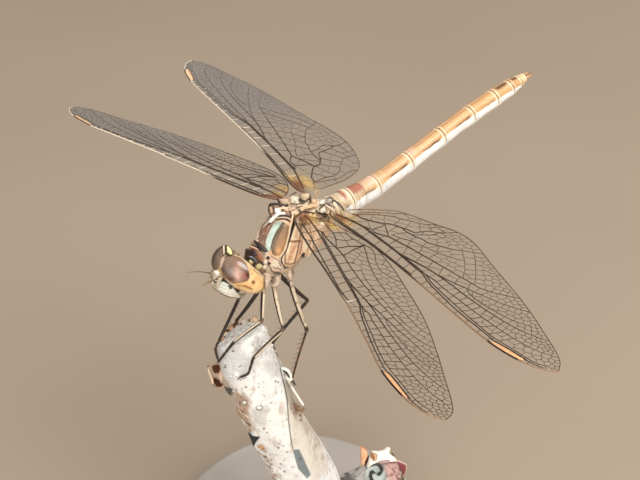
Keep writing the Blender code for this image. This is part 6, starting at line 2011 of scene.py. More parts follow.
def bark_material(name, rough=0.72):
    """Vertex colours under fine flecks and pores, with a rough papery bump."""
    m, nt, b = new_material(name)
    at = node(nt, "ShaderNodeAttribute", attribute_name="Col")
    tc = nt.nodes.new("ShaderNodeTexCoord")
    n1 = node(nt, "ShaderNodeTexNoise", Scale=900.0, Detail=5.0, Roughness=0.62)
    n2 = node(nt, "ShaderNodeTexNoise", Scale=3200.0, Detail=3.0, Roughness=0.6)
    v = node(nt, "ShaderNodeTexVoronoi", Scale=1500.0)
    for n in (n1, n2, v):
        nt.links.new(tc.outputs["Object"], n.inputs["Vector"])
    c = mix_rgb(nt, at.outputs["Color"], ramp(nt, n1.outputs["Fac"], [(0.32, (0.88, 0.875, 0.87)), (0.55, (1.0, 1.0, 1.0))]), 1.0, "MULTIPLY")
    c = mix_rgb(nt, c, ramp(nt, n2.outputs["Fac"], [(0.28, (0.80, 0.77, 0.73)), (0.42, (1.0, 1.0, 1.0))]), 1.0, "MULTIPLY")
    c = mix_rgb(nt, c, ramp(nt, v.outputs["Distance"], [(0.03, (0.55, 0.5, 0.46)), (0.10, (1.0, 1.0, 1.0))]), 0.6, "MULTIPLY")
    nt.links.new(c, b.inputs["Base Color"])
    r = nt.nodes.new("ShaderNodeMapRange")
    r.inputs["To Min"].default_value = rough - 0.1
    r.inputs["To Max"].default_value = rough + 0.15
    nt.links.new(n1.outputs["Fac"], r.inputs["Value"])
    nt.links.new(r.outputs["Result"], b.inputs["Roughness"])
    add = nt.nodes.new("ShaderNodeMath")
    add.operation = "ADD"
    nt.links.new(n1.outputs["Fac"], add.inputs[0])
    nt.links.new(n2.outputs["Fac"], add.inputs[1])
    bp = node(nt, "ShaderNodeBump", Strength=0.5, Distance=0.00012)
    nt.links.new(add.outputs[0], bp.inputs["Height"])
    nt.links.new(bp.outputs["Normal"], b.inputs["Normal"])
    b.inputs["Specular IOR Level"].default_value = 0.3
    return m


MAT_BARK = bark_material("bark")
def twig_points(cols=250):
    a = (2 * math.pi * np.arange(cols) / cols)[None, :]
    t = np.concatenate([np.linspace(0, 0.999, 330), [1.0]])
    row = catmull(TWIG, t)
    r = row[:, 3][:, None] * lumpy(a, t[:, None], 0.03)
    side = np.stack([row[:, 0][:, None] + r * np.cos(a), row[:, 1][:, None] + r * np.sin(a), row[:, 2][:, None] + 0 * a], -1)
    tf, tl, tu, tr = TOP_AT
    f0, l0, _, r0 = TWIG[0]
    k = tr / r0
    kk = np.concatenate([np.linspace(0.04, 0.9, 26), np.linspace(0.93, 1.0, 6)])[:, None]
    pf, pl = tf + (side[0, :, 0] - f0) * k * kk, tl + (side[0, :, 1] - l0) * k * kk
    top = np.stack([pf, pl, tu + TOP_TILT[0] * (pf - tf) + TOP_TILT[1] * (pl - tl) + 0.16 * step(1.0, 0.72, kk) - 0.10 * step(0.9, 1.0, kk)], -1)
    s = np.linspace(0, 1, 26)[1:-1][:, None, None]
    neck_part = top[-1][None] * (1 - s) + side[0][None] * s
    p = np.concatenate([top, neck_part, side])
    along = np.concatenate([-kk[:, 0] * 0 - 2 + kk[:, 0], np.linspace(-1, 0, 26)[1:-1], t])   # -2..-1 the cut, -1..0 the neck, 0..1 below
    return p, along[:, None] + 0 * a, a + 0 * along[:, None]


def twig():
    p, along, a = twig_points()
    n = surface_normals(p)
    if (n[60:] * (p[60:] - p[60:].mean(axis=1, keepdims=True))).sum() < 0:
        n = -n
    px, py = sight(p)
    faces_us = step(-0.05, 0.15, n @ TOWARD)
    cut = step(-1.04, -1.10, along)
    # the photo's outline: fuller on the left in three places, and the cut's right corner lower
    left = step(0.1, 0.9, n @ -CAM_RIGHT) * (1 - cut)
    full = 0.40 * step(334, 346, py) * step(388, 374, py) + 0.28 * np.exp(-((py - 412) / 9) ** 2) + 0.28 * np.exp(-((py - 447) / 9) ** 2)
    p = p - CAM_RIGHT * (left * full)[..., None]
    across = (p[..., 0] - TOP_AT[0]) * CAM_RIGHT[0] + (p[..., 1] - TOP_AT[1]) * CAM_RIGHT[1]
    p[..., 2] -= np.interp(across / TOP_AT[3], [-1, -0.2, 0.47, 0.78, 1.0], [0.0, 0.1, 0.39, 0.88, 1.2]) * step(0.0, -0.9, along)
    # relief
    q = p * np.array([1, 1, 0.6])
    relief = 0.10 * (fbm(q, 0.9, 4, 3) - 0.5) + 0.05 * (fbm(q, 4.0, 3, 8) - 0.5)
    relief = relief * (1 - cut) + cut * 0.16 * (fbm(p * np.array([1, 1, 0.3]), 1.6, 4, 12) - 0.45)
    rim = np.exp(-((along + 1.0) / 0.10) ** 2)
    relief += rim * 0.14 * (fbm(p, 1.4, 2, 31) - 0.35)
    # colour: chalky white bark, greyer patches, brown stain where it has worn
    col = np.broadcast_to(lin((255, 254, 250)), p.shape).copy()
    patch = fbm(q, 0.55, 3, 21)
    col = paint(col, (230, 230, 228), step(0.50, 0.62, patch) * 0.7)
    col = paint(col, (255, 253, 246), step(0.44, 0.34, patch) * 0.8)
    col = paint(col, (190, 184, 174), step(0.60, 0.70, fbm(q, 2.6, 3, 22)) * 0.5)
    specks = noise(p, 5.5, 41) * noise(p, 3.1, 42)
    col = paint(col, (120, 112, 102), step(0.66, 0.76, specks) * 0.8)
    col = paint(col, (186, 152, 118), step(0.60, 0.72, fbm(q, 1.1, 3, 55)) * step(0.0, 0.4, n[..., 0] + 0.2) * 0.45)
    # cut face: weathered white wood with rings, brown where it broke at the back
    col = paint(col, (255, 254, 248), cut)
    rr = np.hypot(p[..., 0] - TOP_AT[0], p[..., 1] - TOP_AT[1])
    col = paint(col, (222, 214, 198), cut * step(0.3, 0.9, np.sin(rr * 15 + 2 * fbm(p, 1.2, 2, 5))) * 0.4)
    broken = cut * step(0.2, 0.9, (p[..., 0] - TOP_AT[0]) * 0.25 - (p[..., 1] - TOP_AT[1]) * 0.55 - 0.1 + 1.2 * (fbm(p, 1.3, 3, 66) - 0.5))
    col = paint(col, (176, 134, 96), broken * step(0.45, 0.58, fbm(p, 1.7, 3, 68)) * 0.75)
    col = paint(col, (84, 56, 36), broken * step(0.60, 0.68, fbm(p, 2.1, 3, 69)) * 0.85)
    # marks seen in the picture, on the side that faces it
    def dot(x, y, w, h, colour, amount=1.0, turn_deg=0.0, hard=0.35):
        nonlocal col
        c, s = math.cos(math.radians(turn_deg)), math.sin(math.radians(turn_deg))
        dx, dy = px - x, py - y
        d = np.hypot((dx * c + dy * s) / w, (-dx * s + dy * c) / h)
        m = step(1 + hard, 1 - hard, d) * faces_us * (1 - cut)
        col = paint(col, colour, m * amount)
        return m

    def line(points, wide, colour, amount=1.0, deep=0.0):
        nonlocal col, relief
        d, _ = near_line(px, py, points)
        m = step(wide * 1.3, wide * 0.6, d) * faces_us * (1 - cut)
        col = paint(col, colour, m * amount)
        if deep:
            relief = relief + deep * np.exp(-(d / (wide * 1.2)) ** 2) * faces_us * (1 - cut)
        return m

    def patch_of(poly, soft, colour, amount=1.0, deep=0.0):
        nonlocal col, relief
        m = area(px, py, poly, soft) * faces_us * (1 - cut)
        col = paint(col, colour, m * amount)
        relief = relief + deep * m
        return m

    # grey patches: painted shade over the twig's left half, mixed with the bark's grey mottling
    patch_of([(217, 345), (236, 340), (252, 358), (247, 378), (232, 382), (222, 374), (218, 360)], 5, (216, 218, 218), 0.75)
    patch_of([(262, 360), (282, 362), (283, 374), (272, 378), (262, 370)], 3, (206, 204, 198), 0.6)
    patch_of([(256, 343), (263, 345), (262, 351), (255, 349)], 1.5, (190, 188, 182), 0.6)
    patch_of([(252, 408), (268, 410), (266, 428), (254, 424)], 3, (206, 204, 196), 0.6)
    # right of the crack: cream with brown mottles
    patch_of([(284, 380), (304, 402), (330, 470), (312, 482), (292, 449), (289, 420)], 1.5, (232, 222, 206), 0.8)
    m = patch_of([(284, 380), (292, 386), (303, 405), (300, 412), (290, 410), (287, 396)], 1.0, (176, 166, 148), 0.85, 0.04)
    col = paint(col, (150, 112, 84), area(px, py, [(291, 402), (307, 404), (313, 420), (300, 422), (292, 414)], 2) * faces_us
                * step(0.42, 0.6, fbm(p, 2.2, 3, 71)) * 0.8)
    col = paint(col, (186, 160, 132), area(px, py, [(300, 420), (316, 420), (332, 462), (318, 460)], 3) * faces_us
                * step(0.42, 0.62, fbm(p, 1.6, 3, 72)) * 0.6)
    line([(280.5, 368), (284.6, 385), (287.7, 402), (289, 422), (290.6, 436), (292.8, 449)], 0.55, (52, 46, 40), 0.9, -0.07)
    line([(289, 382), (296, 394), (303, 405)], 1.1, (250, 246, 232), 1.0, 0.22)
    line([(304, 406), (308, 414), (314, 424)], 0.6, (70, 58, 46), 0.7, -0.05)
    patch_of([(292.8, 450), (299.4, 449.4), (305, 461), (311, 475), (307.4, 479), (298, 469)], 0.6, (122, 132, 134), 0.95, -0.05)
    dot(300.8, 459, 1.2, 1.6, (70, 78, 82), 0.6)
    # brown worn edge on the left
    stain = area(px, py, [(230, 391), (243, 393), (251, 402), (249, 416), (254, 430), (249, 434), (238, 416)], 3) * faces_us
    col = paint(col, (178, 140, 106), stain * step(0.30, 0.55, fbm(p, 1.8, 3, 81)) * 0.85)
    col = paint(col, (96, 74, 58), stain * step(0.55, 0.66, fbm(p, 2.4, 3, 82)) * 0.8)
    low = area(px, py, [(254, 448), (266, 446), (276, 466), (282, 482), (266, 484)], 4) * faces_us
    col = paint(col, (170, 140, 112), low * step(0.42, 0.6, fbm(p, 2.2, 3, 83)) * 0.8)
    col = paint(col, (92, 74, 58), low * step(0.60, 0.7, fbm(p, 3.0, 3, 84)) * 0.8)
    m = patch_of([(247.8, 432), (253, 436.6), (260.4, 436.8), (256.5, 441), (253.6, 447)], 0.7, (52, 54, 52), 1.0, -0.22)
    line([(249, 433), (254, 436.4), (260, 436)], 0.5, (236, 230, 216), 0.8, 0.05)
    patch_of([(223.5, 386), (233, 388.5), (231.8, 397), (228, 394)], 0.6, (62, 64, 56), 1.0, 0.12)
    # lenticels, knobs and pores
    for x, y, w, h, tilt in ((259.6, 407.8, 3.1, 2.1, -12), (244.8, 402.6, 2.2, 2.3, 0)):
        dot(x, y, w * 1.25, h * 1.3, (132, 122, 108), 0.9, tilt, 0.15)
        relief = relief + 0.10 * dot(x, y, w * 0.8, h * 0.8, (252, 249, 240), 1.0, tilt, 0.3)
    relief = relief + 0.28 * dot(237, 374.6, 2.1, 2.2, (252, 250, 240), 1.0, 0, 0.4)
    # painted shadow: a grey line under the white knob
    line([(239, 378.4), (243, 379), (246, 377)], 0.6, (110, 104, 96), 0.7)
    dot(262.7, 446.6, 3.2, 2.4, (206, 146, 88), 0.85, 20)
    dot(262.9, 447.2, 1.2, 1.2, (250, 236, 208), 1.0)
    relief = relief + 0.12 * dot(262.7, 446.6, 2.4, 2.0, (206, 146, 88), 0.0)
    for x, y, s in ((246, 387.4, 1.1), (275.6, 381.3, 1.0), (278.3, 382.2, 0.9), (263.9, 428.8, 1.1), (267.2, 432.4, 0.8),
                    (278.5, 447.6, 1.1), (280.8, 463.9, 0.9), (284.5, 471.5, 1.1), (266, 456.7, 1.3), (233.6, 350.6, 1.1),
                    (252.8, 342.1, 0.8), (259.4, 341.5, 0.7), (287.6, 452.2, 0.9), (228.7, 367.2, 0.9), (228.9, 365, 0.7),
                    (241.2, 365.8, 0.8), (239.2, 367, 0.7), (258.7, 383.7, 0.8), (258.7, 387.2, 0.8), (236.4, 390.2, 0.9),
                    (278.6, 443.4, 0.8), (283.6, 446, 0.7), (270.8, 402.6, 0.7), (240.6, 336.4, 0.6), (227.4, 341, 0.6)):
        dot(x, y, s, s, (64, 56, 48), 0.85, 0, 0.5)
    # a torn edge of bark at the top right
    line([(268.6, 333.6), (271.4, 340), (275, 352), (280.4, 366)], 1.0, (146, 136, 124), 0.6, 0.05)
    patch_of([(262, 326), (268, 331), (273, 346), (268, 349), (262, 338)], 1.5, (253, 251, 243), 0.9)
    # the rest of the twig has pores and lenticels of its own
    r = np.random.default_rng(12)
    for k in range(70):
        i, j = int(r.integers(80, p.shape[0] - 1)), int(r.integers(0, p.shape[1]))
        if faces_us[i, j] > 0.4:
            continue
        d = np.linalg.norm((p - p[i, j]) * np.array([1, 1, 1.6]), axis=-1)
        if k % 4 == 0:
            col = paint(col, (140, 126, 110), step(0.34, 0.26, d))
            col = paint(col, (246, 242, 232), step(0.24, 0.18, d))
            relief = relief + 0.08 * step(0.3, 0.1, d)
        else:
            col = paint(col, (72, 62, 52), step(0.14, 0.06, d) * 0.85)
    global TWIG_SKIN
    TWIG_SKIN = p[faces_us > 0.5]
    skin_loft("twig_bark", p, relief, col, MAT_BARK, "bark", ["perch_twig"])


def on_twig(x, y):
    sx, sy = sight(TWIG_SKIN)
    return TWIG_SKIN[int(np.hypot(sx - x, sy - y).argmin())]


twig()


def stub():
    """The side shoot's broken stump: grey knotted neck, wine-red bark, pale split wood and orange flakes."""
    rows, sides = 130, 120
    t = np.linspace(0, 1, rows)
    row = catmull(STUB, t)
    axis = unit(catmull(STUB, np.clip(t + 0.01, 0, 1))[:, :3] - catmull(STUB, np.clip(t - 0.01, 0, 1))[:, :3])
    one = unit(np.cross(axis, (0, 0, 1.0)))
    two = np.cross(axis, one)
    a = (2 * math.pi * np.arange(sides) / sides)[None, :]
    # the axis basis differs from the solid's only in sign, so both turn alike round the limb
    r = row[:, 3][:, None] * lumpy(a, t[:, None], 0.03)
    p = row[:, None, :3] + r[..., None] * (one[:, None] * np.cos(a)[..., None] + two[:, None] * np.sin(a)[..., None])
    # broken end: dished, uneven
    caps = []
    for k in np.linspace(0.97, 0.05, 16):
        c = row[-1, :3]
        caps.append(c + (p[-1] - c) * k + axis[-1] * (0.10 * (1 - k) - 0.25 * (1 - k) ** 2))
    p = np.concatenate([p, np.array(caps)])
    run = np.concatenate([t, np.ones(16)])[:, None]
    core = np.concatenate([row[:, 2], np.full(16, row[-1, 2])])[:, None]
    p[..., 2] -= 0.45 * step(0.72, 1.0, run) * step(0.2, 1.8, p[..., 2] - core)
    along = np.concatenate([t, 1 + np.linspace(0.03, 1, 16)])[:, None] + 0 * a
    px, py = sight(p)
    # the neck is thin where the shoot leaves the twig
    p[..., 2] -= np.interp(px, [343, 346, 350.3, 356.4, 360.5, 363.5, 367], [0, 0.2, 0.55, 0.9, 0.9, 0.45, 0]) * step(0.0, 1.1, p[..., 2] - core)
    px, py = sight(p)
    end = step(1.0, 1.05, along)
    relief = 0.34 * (fbm(p, 0.75, 4, 5) - 0.5) + 0.16 * (fbm(p, 2.2, 3, 6) - 0.5)
    relief = relief * step(0.0, 0.25, along) + end * 0.5 * (fbm(p, 1.2, 3, 9) - 0.5)
    knot_at = lay([(375.5, 474)], [(-6.75, 6.6, -36.85)])[0]
    kd = np.linalg.norm(p - knot_at, axis=-1)
    swirl = np.sin(kd * 8.5 + 2.0 * np.arctan2(py - 473.6, px - 375.8) + 3.5 * fbm(p, 1.1, 3, 15))
    knot = step(1.5, 0.9, kd)
    relief += knot * 0.14 * swirl
    col = np.broadcast_to(lin((218, 214, 206)), p.shape).copy()
    col = paint(col, (130, 132, 130), step(0.25, 0.45, along) * step(0.45, 0.6, fbm(p, 1.3, 3, 17)) * 0.8)
    col = paint(col, (92, 88, 84), step(0.12, 0.25, along) * step(0.66, 0.5, along) * step(0.42, 0.56, fbm(p, 1.0, 3, 18)))
    wine = step(0.72, 0.84, along + 0.25 * (fbm(p, 0.9, 3, 19) - 0.5))
    col = paint(col, (190, 152, 142), wine)
    col = paint(col, (118, 74, 70), wine * step(0.50, 0.62, fbm(p * np.array([1, 1, 0.5]), 1.3, 3, 24)) * 0.85)
    col = paint(col, (232, 208, 196), wine * step(0.50, 0.38, fbm(p * np.array([1, 1, 0.5]), 1.8, 3, 25)) * 0.8)
    col = paint(col, (176, 186, 180), knot * 0.9)
    col = paint(col, (30, 30, 30), knot * step(0.0, 0.35, swirl) * 0.97)
    col = paint(col, (112, 96, 78), step(0.86, 0.96, along) * (1 - end) * step(0.42, 0.6, fbm(p, 1.2, 3, 33)) * 0.8)
    col = paint(col, (90, 66, 48), end * 0.8)
    col = paint(col, (214, 190, 158), end * step(0.5, 0.62, fbm(p, 1.8, 3, 27)) * 0.8)
    col = paint(col, (60, 40, 30), np.exp(-((along - 1.0) / 0.03) ** 2) * 0.7)
    skin_loft("stub_bark", p, relief, col, MAT_BARK, "bark", ["perch_stub"])


stub()


flakes = Bag()
plate(flakes, [(211.3, 365.2), (215, 363.6), (220, 363.8), (221, 369), (219.4, 373.8), (214.6, 374.2), (212.4, 371)], (8.2, -1.3, -16.2), 0.22, (84, 44, 18), (218, 176, 146), 0.10, -0.25)
plate(flakes, [(213, 376.6), (216, 377.2), (221.4, 380.8), (224.2, 384.6), (222, 388), (216, 387.4), (213.6, 382)], (8.2, -1.25, -17.6), 0.22, (78, 38, 16), (206, 168, 138), 0.08, -0.15)
plate(flakes, [(206.8, 366), (208.6, 365), (210.6, 371), (213.6, 379), (214.8, 387), (212.4, 385), (209.6, 377), (207.4, 371)], (8.6, -1.5, -16.8), 0.14, (232, 204, 170), (120, 84, 56), 0.05, 0.0)
plate(flakes, [(223.6, 385.6), (227, 386.8), (233, 388.6), (231.6, 396.8), (228, 394), (225, 389.6)], (8.05, 0.05, -18.55), 0.12, (92, 88, 76), (160, 150, 130), 0.05, -0.1)
plate(flakes, [(218, 362.6), (222.5, 364.5), (223, 376), (221.5, 384), (218.6, 377), (219.6, 369)], (8.0, -0.9, -16.6), 0.16, (226, 196, 172), (236, 214, 194), 0.04, 0.0)
flakes.done("loose_flakes", MAT_BARK, replace=["perch_flake"], slot="bark")

splits = Bag()
plate(splits, [(360.4, 445.2), (363, 446.8), (367.4, 450), (367.8, 456), (365, 462), (363, 467.4), (361, 465), (360.6, 456)], (-5.4, 5.4, -36.3), 0.35, (224, 172, 134), (196, 136, 98), 0.12, 0.3)
plate(splits, [(366.6, 455), (369, 456), (368, 461), (365.4, 466.6), (364.4, 467), (365.6, 460)], (-5.6, 5.4, -36.4), 0.2, (60, 18, 8), (44, 14, 8), 0.02, 0.0)
plate(splits, [(370.4, 451.6), (373.6, 452.8), (377.6, 454.6), (376.4, 460.6), (373, 460.8), (370.6, 457)], (-6.1, 5.6, -36.3), 0.3, (222, 172, 136), (130, 90, 56), 0.10, 0.0)
plate(splits, [(368, 455), (371, 450.6), (378, 450.8), (383, 450), (387.4, 446.6), (390.4, 448), (389.4, 453.4), (395.4, 457.6), (397, 461), (388, 462), (378, 462), (372, 464), (366.6, 468)], (-6.9, 5.5, -36.4), 0.7, (253, 248, 234), (248, 238, 220), 0.25, 0.0)
plate(splits, [(395.4, 459), (399, 460.4), (406.8, 464.4), (407, 470), (405, 476), (400, 474), (397, 466)], (-9.0, 6.3, -36.2), 0.6, (134, 66, 70), (226, 196, 182), 0.15, -0.2)
plate(splits, [(377, 461), (379.4, 458.2), (384.6, 456.8), (388.6, 457.6), (390.4, 460), (388.4, 463), (383, 464), (378.4, 463.6)], (-6.85, 5.75, -36.1), 0.12, (176, 148, 146), (150, 120, 118), 0.10, 0.05)
plate(splits, [(371.2, 453.4), (373.4, 454.6), (375.2, 458), (373.4, 460), (371.6, 457)], (-6.05, 5.75, -36.0), 0.08, (150, 104, 62), (120, 80, 50), 0.05, 0.0)
splits.done("stub_splits", MAT_BARK, slot="bark")

# the bark's loose curl and peeled strip on the right of the twig
peel = Bag()


def along_twig(pixels, depth_at):
    return lay(pixels, [depth_at] * len(pixels))


curl = along_twig([(281.4, 368.4), (284.5, 368.6), (288.4, 371), (291, 375), (291.6, 379), (288.6, 379.4), (285.4, 376)], (3.2, 2.7, -16.9))
# the curl's lower side is painted darker: painted shade
peel.tube(catmull(curl, np.linspace(0, 1, 40)), np.interp(np.linspace(0, 1, 40), [0, 0.15, 0.8, 1], [0.08, 0.17, 0.15, 0.05]), 9,
          lambda t, a, v: paint(np.broadcast_to(lin((250, 248, 238)), (len(t), 3)), (120, 110, 98), step(0.3, 0.9, -np.sin(a)) * 0.7))
# a dark tube inside the loop stands for the shade in its hollow
inner = along_twig([(283, 370.5), (286.5, 373), (289.4, 377.6)], (3.1, 2.6, -17.1))
peel.tube(catmull(inner, np.linspace(0, 1, 16)), np.interp(np.linspace(0, 1, 16), [0, 0.5, 1], [0.03, 0.09, 0.03]), 8, lin((46, 36, 28)))
strip = along_twig([(286.8, 380), (291, 386), (296, 394), (301, 401.6), (303.6, 405.6)], (2.75, 2.9, -19.0))
peel.tube(catmull(strip, np.linspace(0, 1, 40)), np.interp(np.linspace(0, 1, 40), [0, 0.1, 0.9, 1], [0.05, 0.12, 0.13, 0.05]), 9,
          lambda t, a, v: paint(np.broadcast_to(lin((250, 244, 228)), (len(t), 3)), (150, 128, 104), step(0.4, 1.0, np.cos(a + 0.6)) * 0.6))
for x, y, s in ((295, 405.5, 0.22), (298.5, 407.5, 0.18), (301.5, 411, 0.22), (297, 412, 0.2), (304, 409, 0.16), (300.5, 415.5, 0.17)):
    at = along_twig([(x, y)], (2.9, 3.1, -20.6))[0]
    peel.ball(at - TOWARD * 0.1, (s * 1.3, s, s * 0.8), lambda q, p: paint(np.broadcast_to(lin((196, 158, 122)), q.shape), (90, 64, 46),
              step(0.1, 0.7, np.abs(wave(q[:, 0] * 3 + q[:, 2] * 4, 9)))), turn(0, 30, 40 * x), seg=14, rings=10)
plate(peel, [(247.8, 432), (253, 436.6), (260.4, 436.8), (256.5, 441), (253.6, 447)], (6.86, 0.86, -24.1), 0.30, (44, 48, 46), (70, 70, 64), 0.02)
peel.done("bark_curl", MAT_BARK, slot="bark")


studs = Bag()
for x, y, w, tone in ((236.8, 374.8, 0.24, (255, 253, 246)), (259.4, 407.6, 0.20, (255, 252, 244)), (244.8, 402.6, 0.17, (250, 247, 238)),
                      (262.8, 446.8, 0.20, (214, 150, 90)), (240.6, 379.0, 0.12, (206, 202, 194)), (230.4, 376.6, 0.14, (238, 236, 230)),
                      (262.6, 327.4, 0.15, (255, 252, 244)), (271.6, 345.5, 0.16, (246, 244, 238)), (275.0, 351.6, 0.14, (214, 210, 202)),
                      (277.6, 358.0, 0.12, (190, 184, 174))):
    at = on_twig(x, y)
    # each stud is painted darker on its lower side: painted shade
    studs.ball(at + TOWARD * w * 0.12, (w * 1.15, w, w), lambda q, p, tone=tone: paint(lin(tone) * (0.9 + 0.16 * fbm(p, 5.0, 2, 6))[:, None], (104, 98, 88),
               step(0.15, 0.75, -(q @ UPWARD)) * 0.85), None, seg=18, rings=12, shape=lambda q: q * (0.92 + 0.22 * noise(q, 4.0, 5))[:, None])
studs.done("bark_studs", MAT_BARK, slot="bark")

# broken bits of wood and bark on the twig's far rim
bits = Bag()
rb = np.random.default_rng(5)
rim_points, rim_along, _ = twig_points(120)
rim_row = rim_points[int(np.argmin(np.abs(rim_along[:, 0] + 1.0)))]
order = np.argsort(rim_row @ TOWARD)
for k in range(22):
    at = rim_row[order[int(rb.integers(0, 52))]]
    inward = np.array(TOP_AT[:3]) - at
    at = at + inward * rb.random() * 0.22
    size = 0.10 + 0.20 * rb.random() ** 2
    tone = [(206, 160, 124), (236, 202, 172), (250, 232, 208), (112, 72, 46)][int(rb.integers(0, 4))]
    bits.ball(at + np.array([0, 0, size * 0.4]), (size * 1.5, size, size * (0.8 + rb.random())), tone,
              turn(*(360 * rb.random(3))), seg=9, rings=7,
              shape=lambda q: q * (0.85 + 0.3 * noise(q * 6, 1.3, 3))[:, None])
bits.done("rim_splinters", MAT_BARK, slot="bark")


# ================================================================ stand
def stand_paint():
    m, nt, b = new_material("stand_paint")
    tc = nt.nodes.new("ShaderNodeTexCoord")
    n1 = node(nt, "ShaderNodeTexNoise", Scale=260.0, Detail=4.0, Roughness=0.6)
    n2 = node(nt, "ShaderNodeTexNoise", Scale=4200.0, Detail=2.0, Roughness=0.6)
    for n in (n1, n2):
        nt.links.new(tc.outputs["Object"], n.inputs["Vector"])
    c = mix_rgb(nt, ramp(nt, n1.outputs["Fac"], [(0.3, (0.42, 0.375, 0.325)), (0.7, (0.47, 0.42, 0.365))]),
                ramp(nt, n2.outputs["Fac"], [(0.3, (0.93, 0.93, 0.93)), (0.7, (1, 1, 1))]), 1.0, "MULTIPLY")
    nt.links.new(c, b.inputs["Base Color"])
    r = nt.nodes.new("ShaderNodeMapRange")
    r.inputs["To Min"].default_value = 0.48
    r.inputs["To Max"].default_value = 0.66
    nt.links.new(n1.outputs["Fac"], r.inputs["Value"])
    nt.links.new(r.outputs["Result"], b.inputs["Roughness"])
    bp = node(nt, "ShaderNodeBump", Strength=0.3, Distance=0.00004)
    nt.links.new(n2.outputs["Fac"], bp.inputs["Height"])
    nt.links.new(bp.outputs["Normal"], b.inputs["Normal"])
    return m


def stand_steel():
    m, nt, b = new_material("stand_steel")
    tc = nt.nodes.new("ShaderNodeTexCoord")
    mp = nt.nodes.new("ShaderNodeMapping")
    mp.inputs["Scale"].default_value = (1, 1, 40)
    nt.links.new(tc.outputs["Object"], mp.inputs["Vector"])
    n1 = node(nt, "ShaderNodeTexNoise", Scale=400.0, Detail=3.0)
    nt.links.new(mp.outputs["Vector"], n1.inputs["Vector"])
    nt.links.new(ramp(nt, n1.outputs["Fac"], [(0.3, (0.46, 0.46, 0.47)), (0.7, (0.60, 0.60, 0.60))]), b.inputs["Base Color"])
    b.inputs["Metallic"].default_value = 1.0
    r = nt.nodes.new("ShaderNodeMapRange")
    r.inputs["To Min"].default_value = 0.25
    r.inputs["To Max"].default_value = 0.42
    nt.links.new(n1.outputs["Fac"], r.inputs["Value"])
    nt.links.new(r.outputs["Result"], b.inputs["Roughness"])
    return m


for name, mat in (("stand_base", stand_paint()), ("stand_rod", stand_steel())):
    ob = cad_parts[name]
    for s in ob.material_slots:
        s.material = mat

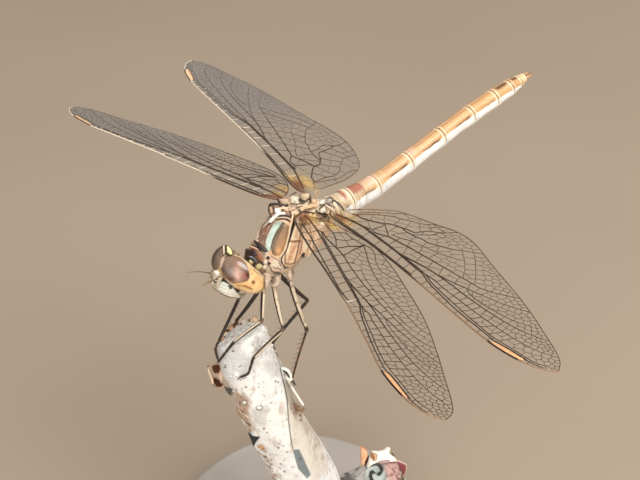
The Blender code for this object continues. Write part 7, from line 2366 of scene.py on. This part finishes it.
# ================================================================ fine hairs
def hairs():
    """Short pale hairs, each a bent three-sided cone, joined into one mesh with a patch of OFBake map per hair."""
    rg = np.random.default_rng(77)
    roots, dirs, uvs, sizes, tones = [], [], [], [], []

    def take(pts, nrm, uv, count, lo, hi, tone, slant):
        pick = rg.choice(len(pts), min(count, len(pts)), replace=False)
        for i in pick:
            roots.append(pts[i] - nrm[i] * 0.03)
            dirs.append(unit(nrm[i] + slant + 0.35 * rg.normal(size=3)))
            uvs.append(uv[i])
            sizes.append(lo + (hi - lo) * rg.random())
            tones.append(tone)

    t = trim_below(thorax_surface(110, 130))
    n = surface_normals(t)
    if (n * (t - t.mean(axis=1, keepdims=True))).sum() < 0:
        n = -n
    uv = np.stack(np.meshgrid(np.linspace(0.02, 0.47, 110), np.linspace(0.02, 0.97, 130), indexing="ij"), -1)
    f, l, u = t[..., 0], np.abs(t[..., 1]), t[..., 2]
    for mask, count, lo, hi in (((f > 0.8) & (u > -3.0) & (l < 1.2), 90, 0.25, 0.5), ((u < -4.9), 230, 0.35, 0.8),
                                ((f > 2.2) & (u < -3.2) & (u > -5.2), 70, 0.3, 0.6), ((f < -1.5) & (u > -2.2), 50, 0.2, 0.4)):
        take(t[mask], n[mask], uv[mask], count, lo, hi, (222, 206, 176), np.array([0.15, 0, -0.1]))
    # face, vertex and back of the head
    for at, axes, rot, count, lo, hi, u0, tone in (
            (FACE_AT, FACE_AXES, FACE_ROT, 170, 0.22, 0.5, 0.52, (206, 186, 152)), ((8.40, 0, -3.70), (0.50, 0.58, 0.52), turn(0, -25, 0), 26, 0.25, 0.5, 0.70, (150, 124, 94)),
            ((4.50, 0, -3.80), (0.55, 0.95, 1.15), turn(0, 12, 0), 60, 0.4, 0.9, 0.86, (214, 196, 164))):
        q = unit(rg.normal(size=(600, 3)))
        if u0 < 0.6:
            q = q[(q[:, 0] > 0.1) & (q[:, 2] > -0.8)]
        pts = (q * np.array(axes)) @ rot.T + np.array(at)
        nrm = unit(q / np.array(axes)) @ rot.T
        uv2 = np.stack([u0 + 0.11 * (np.arctan2(q[:, 1], q[:, 0]) / math.pi * 0.5 + 0.5), 0.05 + 0.9 * np.arccos(q[:, 2]) / math.pi], -1)
        take(pts, nrm, uv2, count, lo, hi, tone, np.array([0.25, 0, 0.1]))
    # a few long ones standing over the prothorax, seen against the floor
    for x, y in ((250.2, 246.0), (252.6, 245.4), (255.4, 246.6), (258.6, 249.0), (261.0, 251.0)):
        roots.append(lay([(x, y)], [(4.4, 0.3, -2.65)])[0])
        dirs.append(unit(-CAM_RIGHT * (0.7 + 0.4 * rg.random()) + UPWARD * 0.5))
        uvs.append(np.array([0.985, 0.1 + 0.1 * len(roots) % 0.8]))
        sizes.append(0.75)
        tones.append((196, 176, 146))
    v, faces, cols, vuv = [], [], [], []
    for p0, d, w, size, tone in zip(roots, dirs, uvs, sizes, tones):
        a = unit(np.cross(d, (0.31, 0.52, 0.79)))
        b = np.cross(d, a)
        bend = a * 0.18 * size
        base = len(v)
        for k, s in enumerate((0.0, 0.55)):
            c = p0 + d * size * s + bend * s * s
            r = 0.0125 * (1 - 0.45 * s)
            for j in range(3):
                g = 2 * math.pi * j / 3
                v.append(c + (a * math.cos(g) + b * math.sin(g)) * r)
                vuv.append((w[0] + 0.0012 * math.cos(g), w[1] + 0.0012 * math.sin(g) * (1 - 0.4 * k)))
        v.append(p0 + d * size + bend)
        vuv.append((w[0], w[1]))
        for j in range(3):
            m = (j + 1) % 3
            faces.append((base + j, base + m, base + 3 + m, base + 3 + j))
            faces.append((base + 3 + j, base + 3 + m, base + 6))
        faces.append((base + 2, base + 1, base))
        cols += [lin(tone)] * 7
    ob = make("fine_hairs", W(np.array(v)), faces, MAT_LEG, np.array(cols), slot="leg")
    me = ob.data
    layer = me.uv_layers.new(name="OFBake")
    idx = np.zeros(len(me.loops), dtype=np.int32)
    me.loops.foreach_get("vertex_index", idx)
    layer.data.foreach_set("uv", np.array(vuv)[idx].astype(np.float32).ravel())


hairs()


# ================================================================ light
area_light("key", (0.375, 0.20, 0.895), 0.42, 0.30, 1.85, (1.0, 0.975, 0.94))
area_light("fill_camera", (0.75, -0.75, 0.55), 0.5, 0.5, 1.2, (1.0, 0.98, 0.95))
area_light("front_low", (0.35, -0.90, 0.18), 0.45, 0.35, 0.60, (1.0, 0.97, 0.93))
area_light("side_left", (0.93, 0.10, 0.10), 0.45, 0.4, 0.34, (1.0, 0.98, 0.95))
area_light("rim_left", (-0.8, 0.2, 0.5), 0.5, 0.4, 0.22, (0.93, 0.96, 1.0))
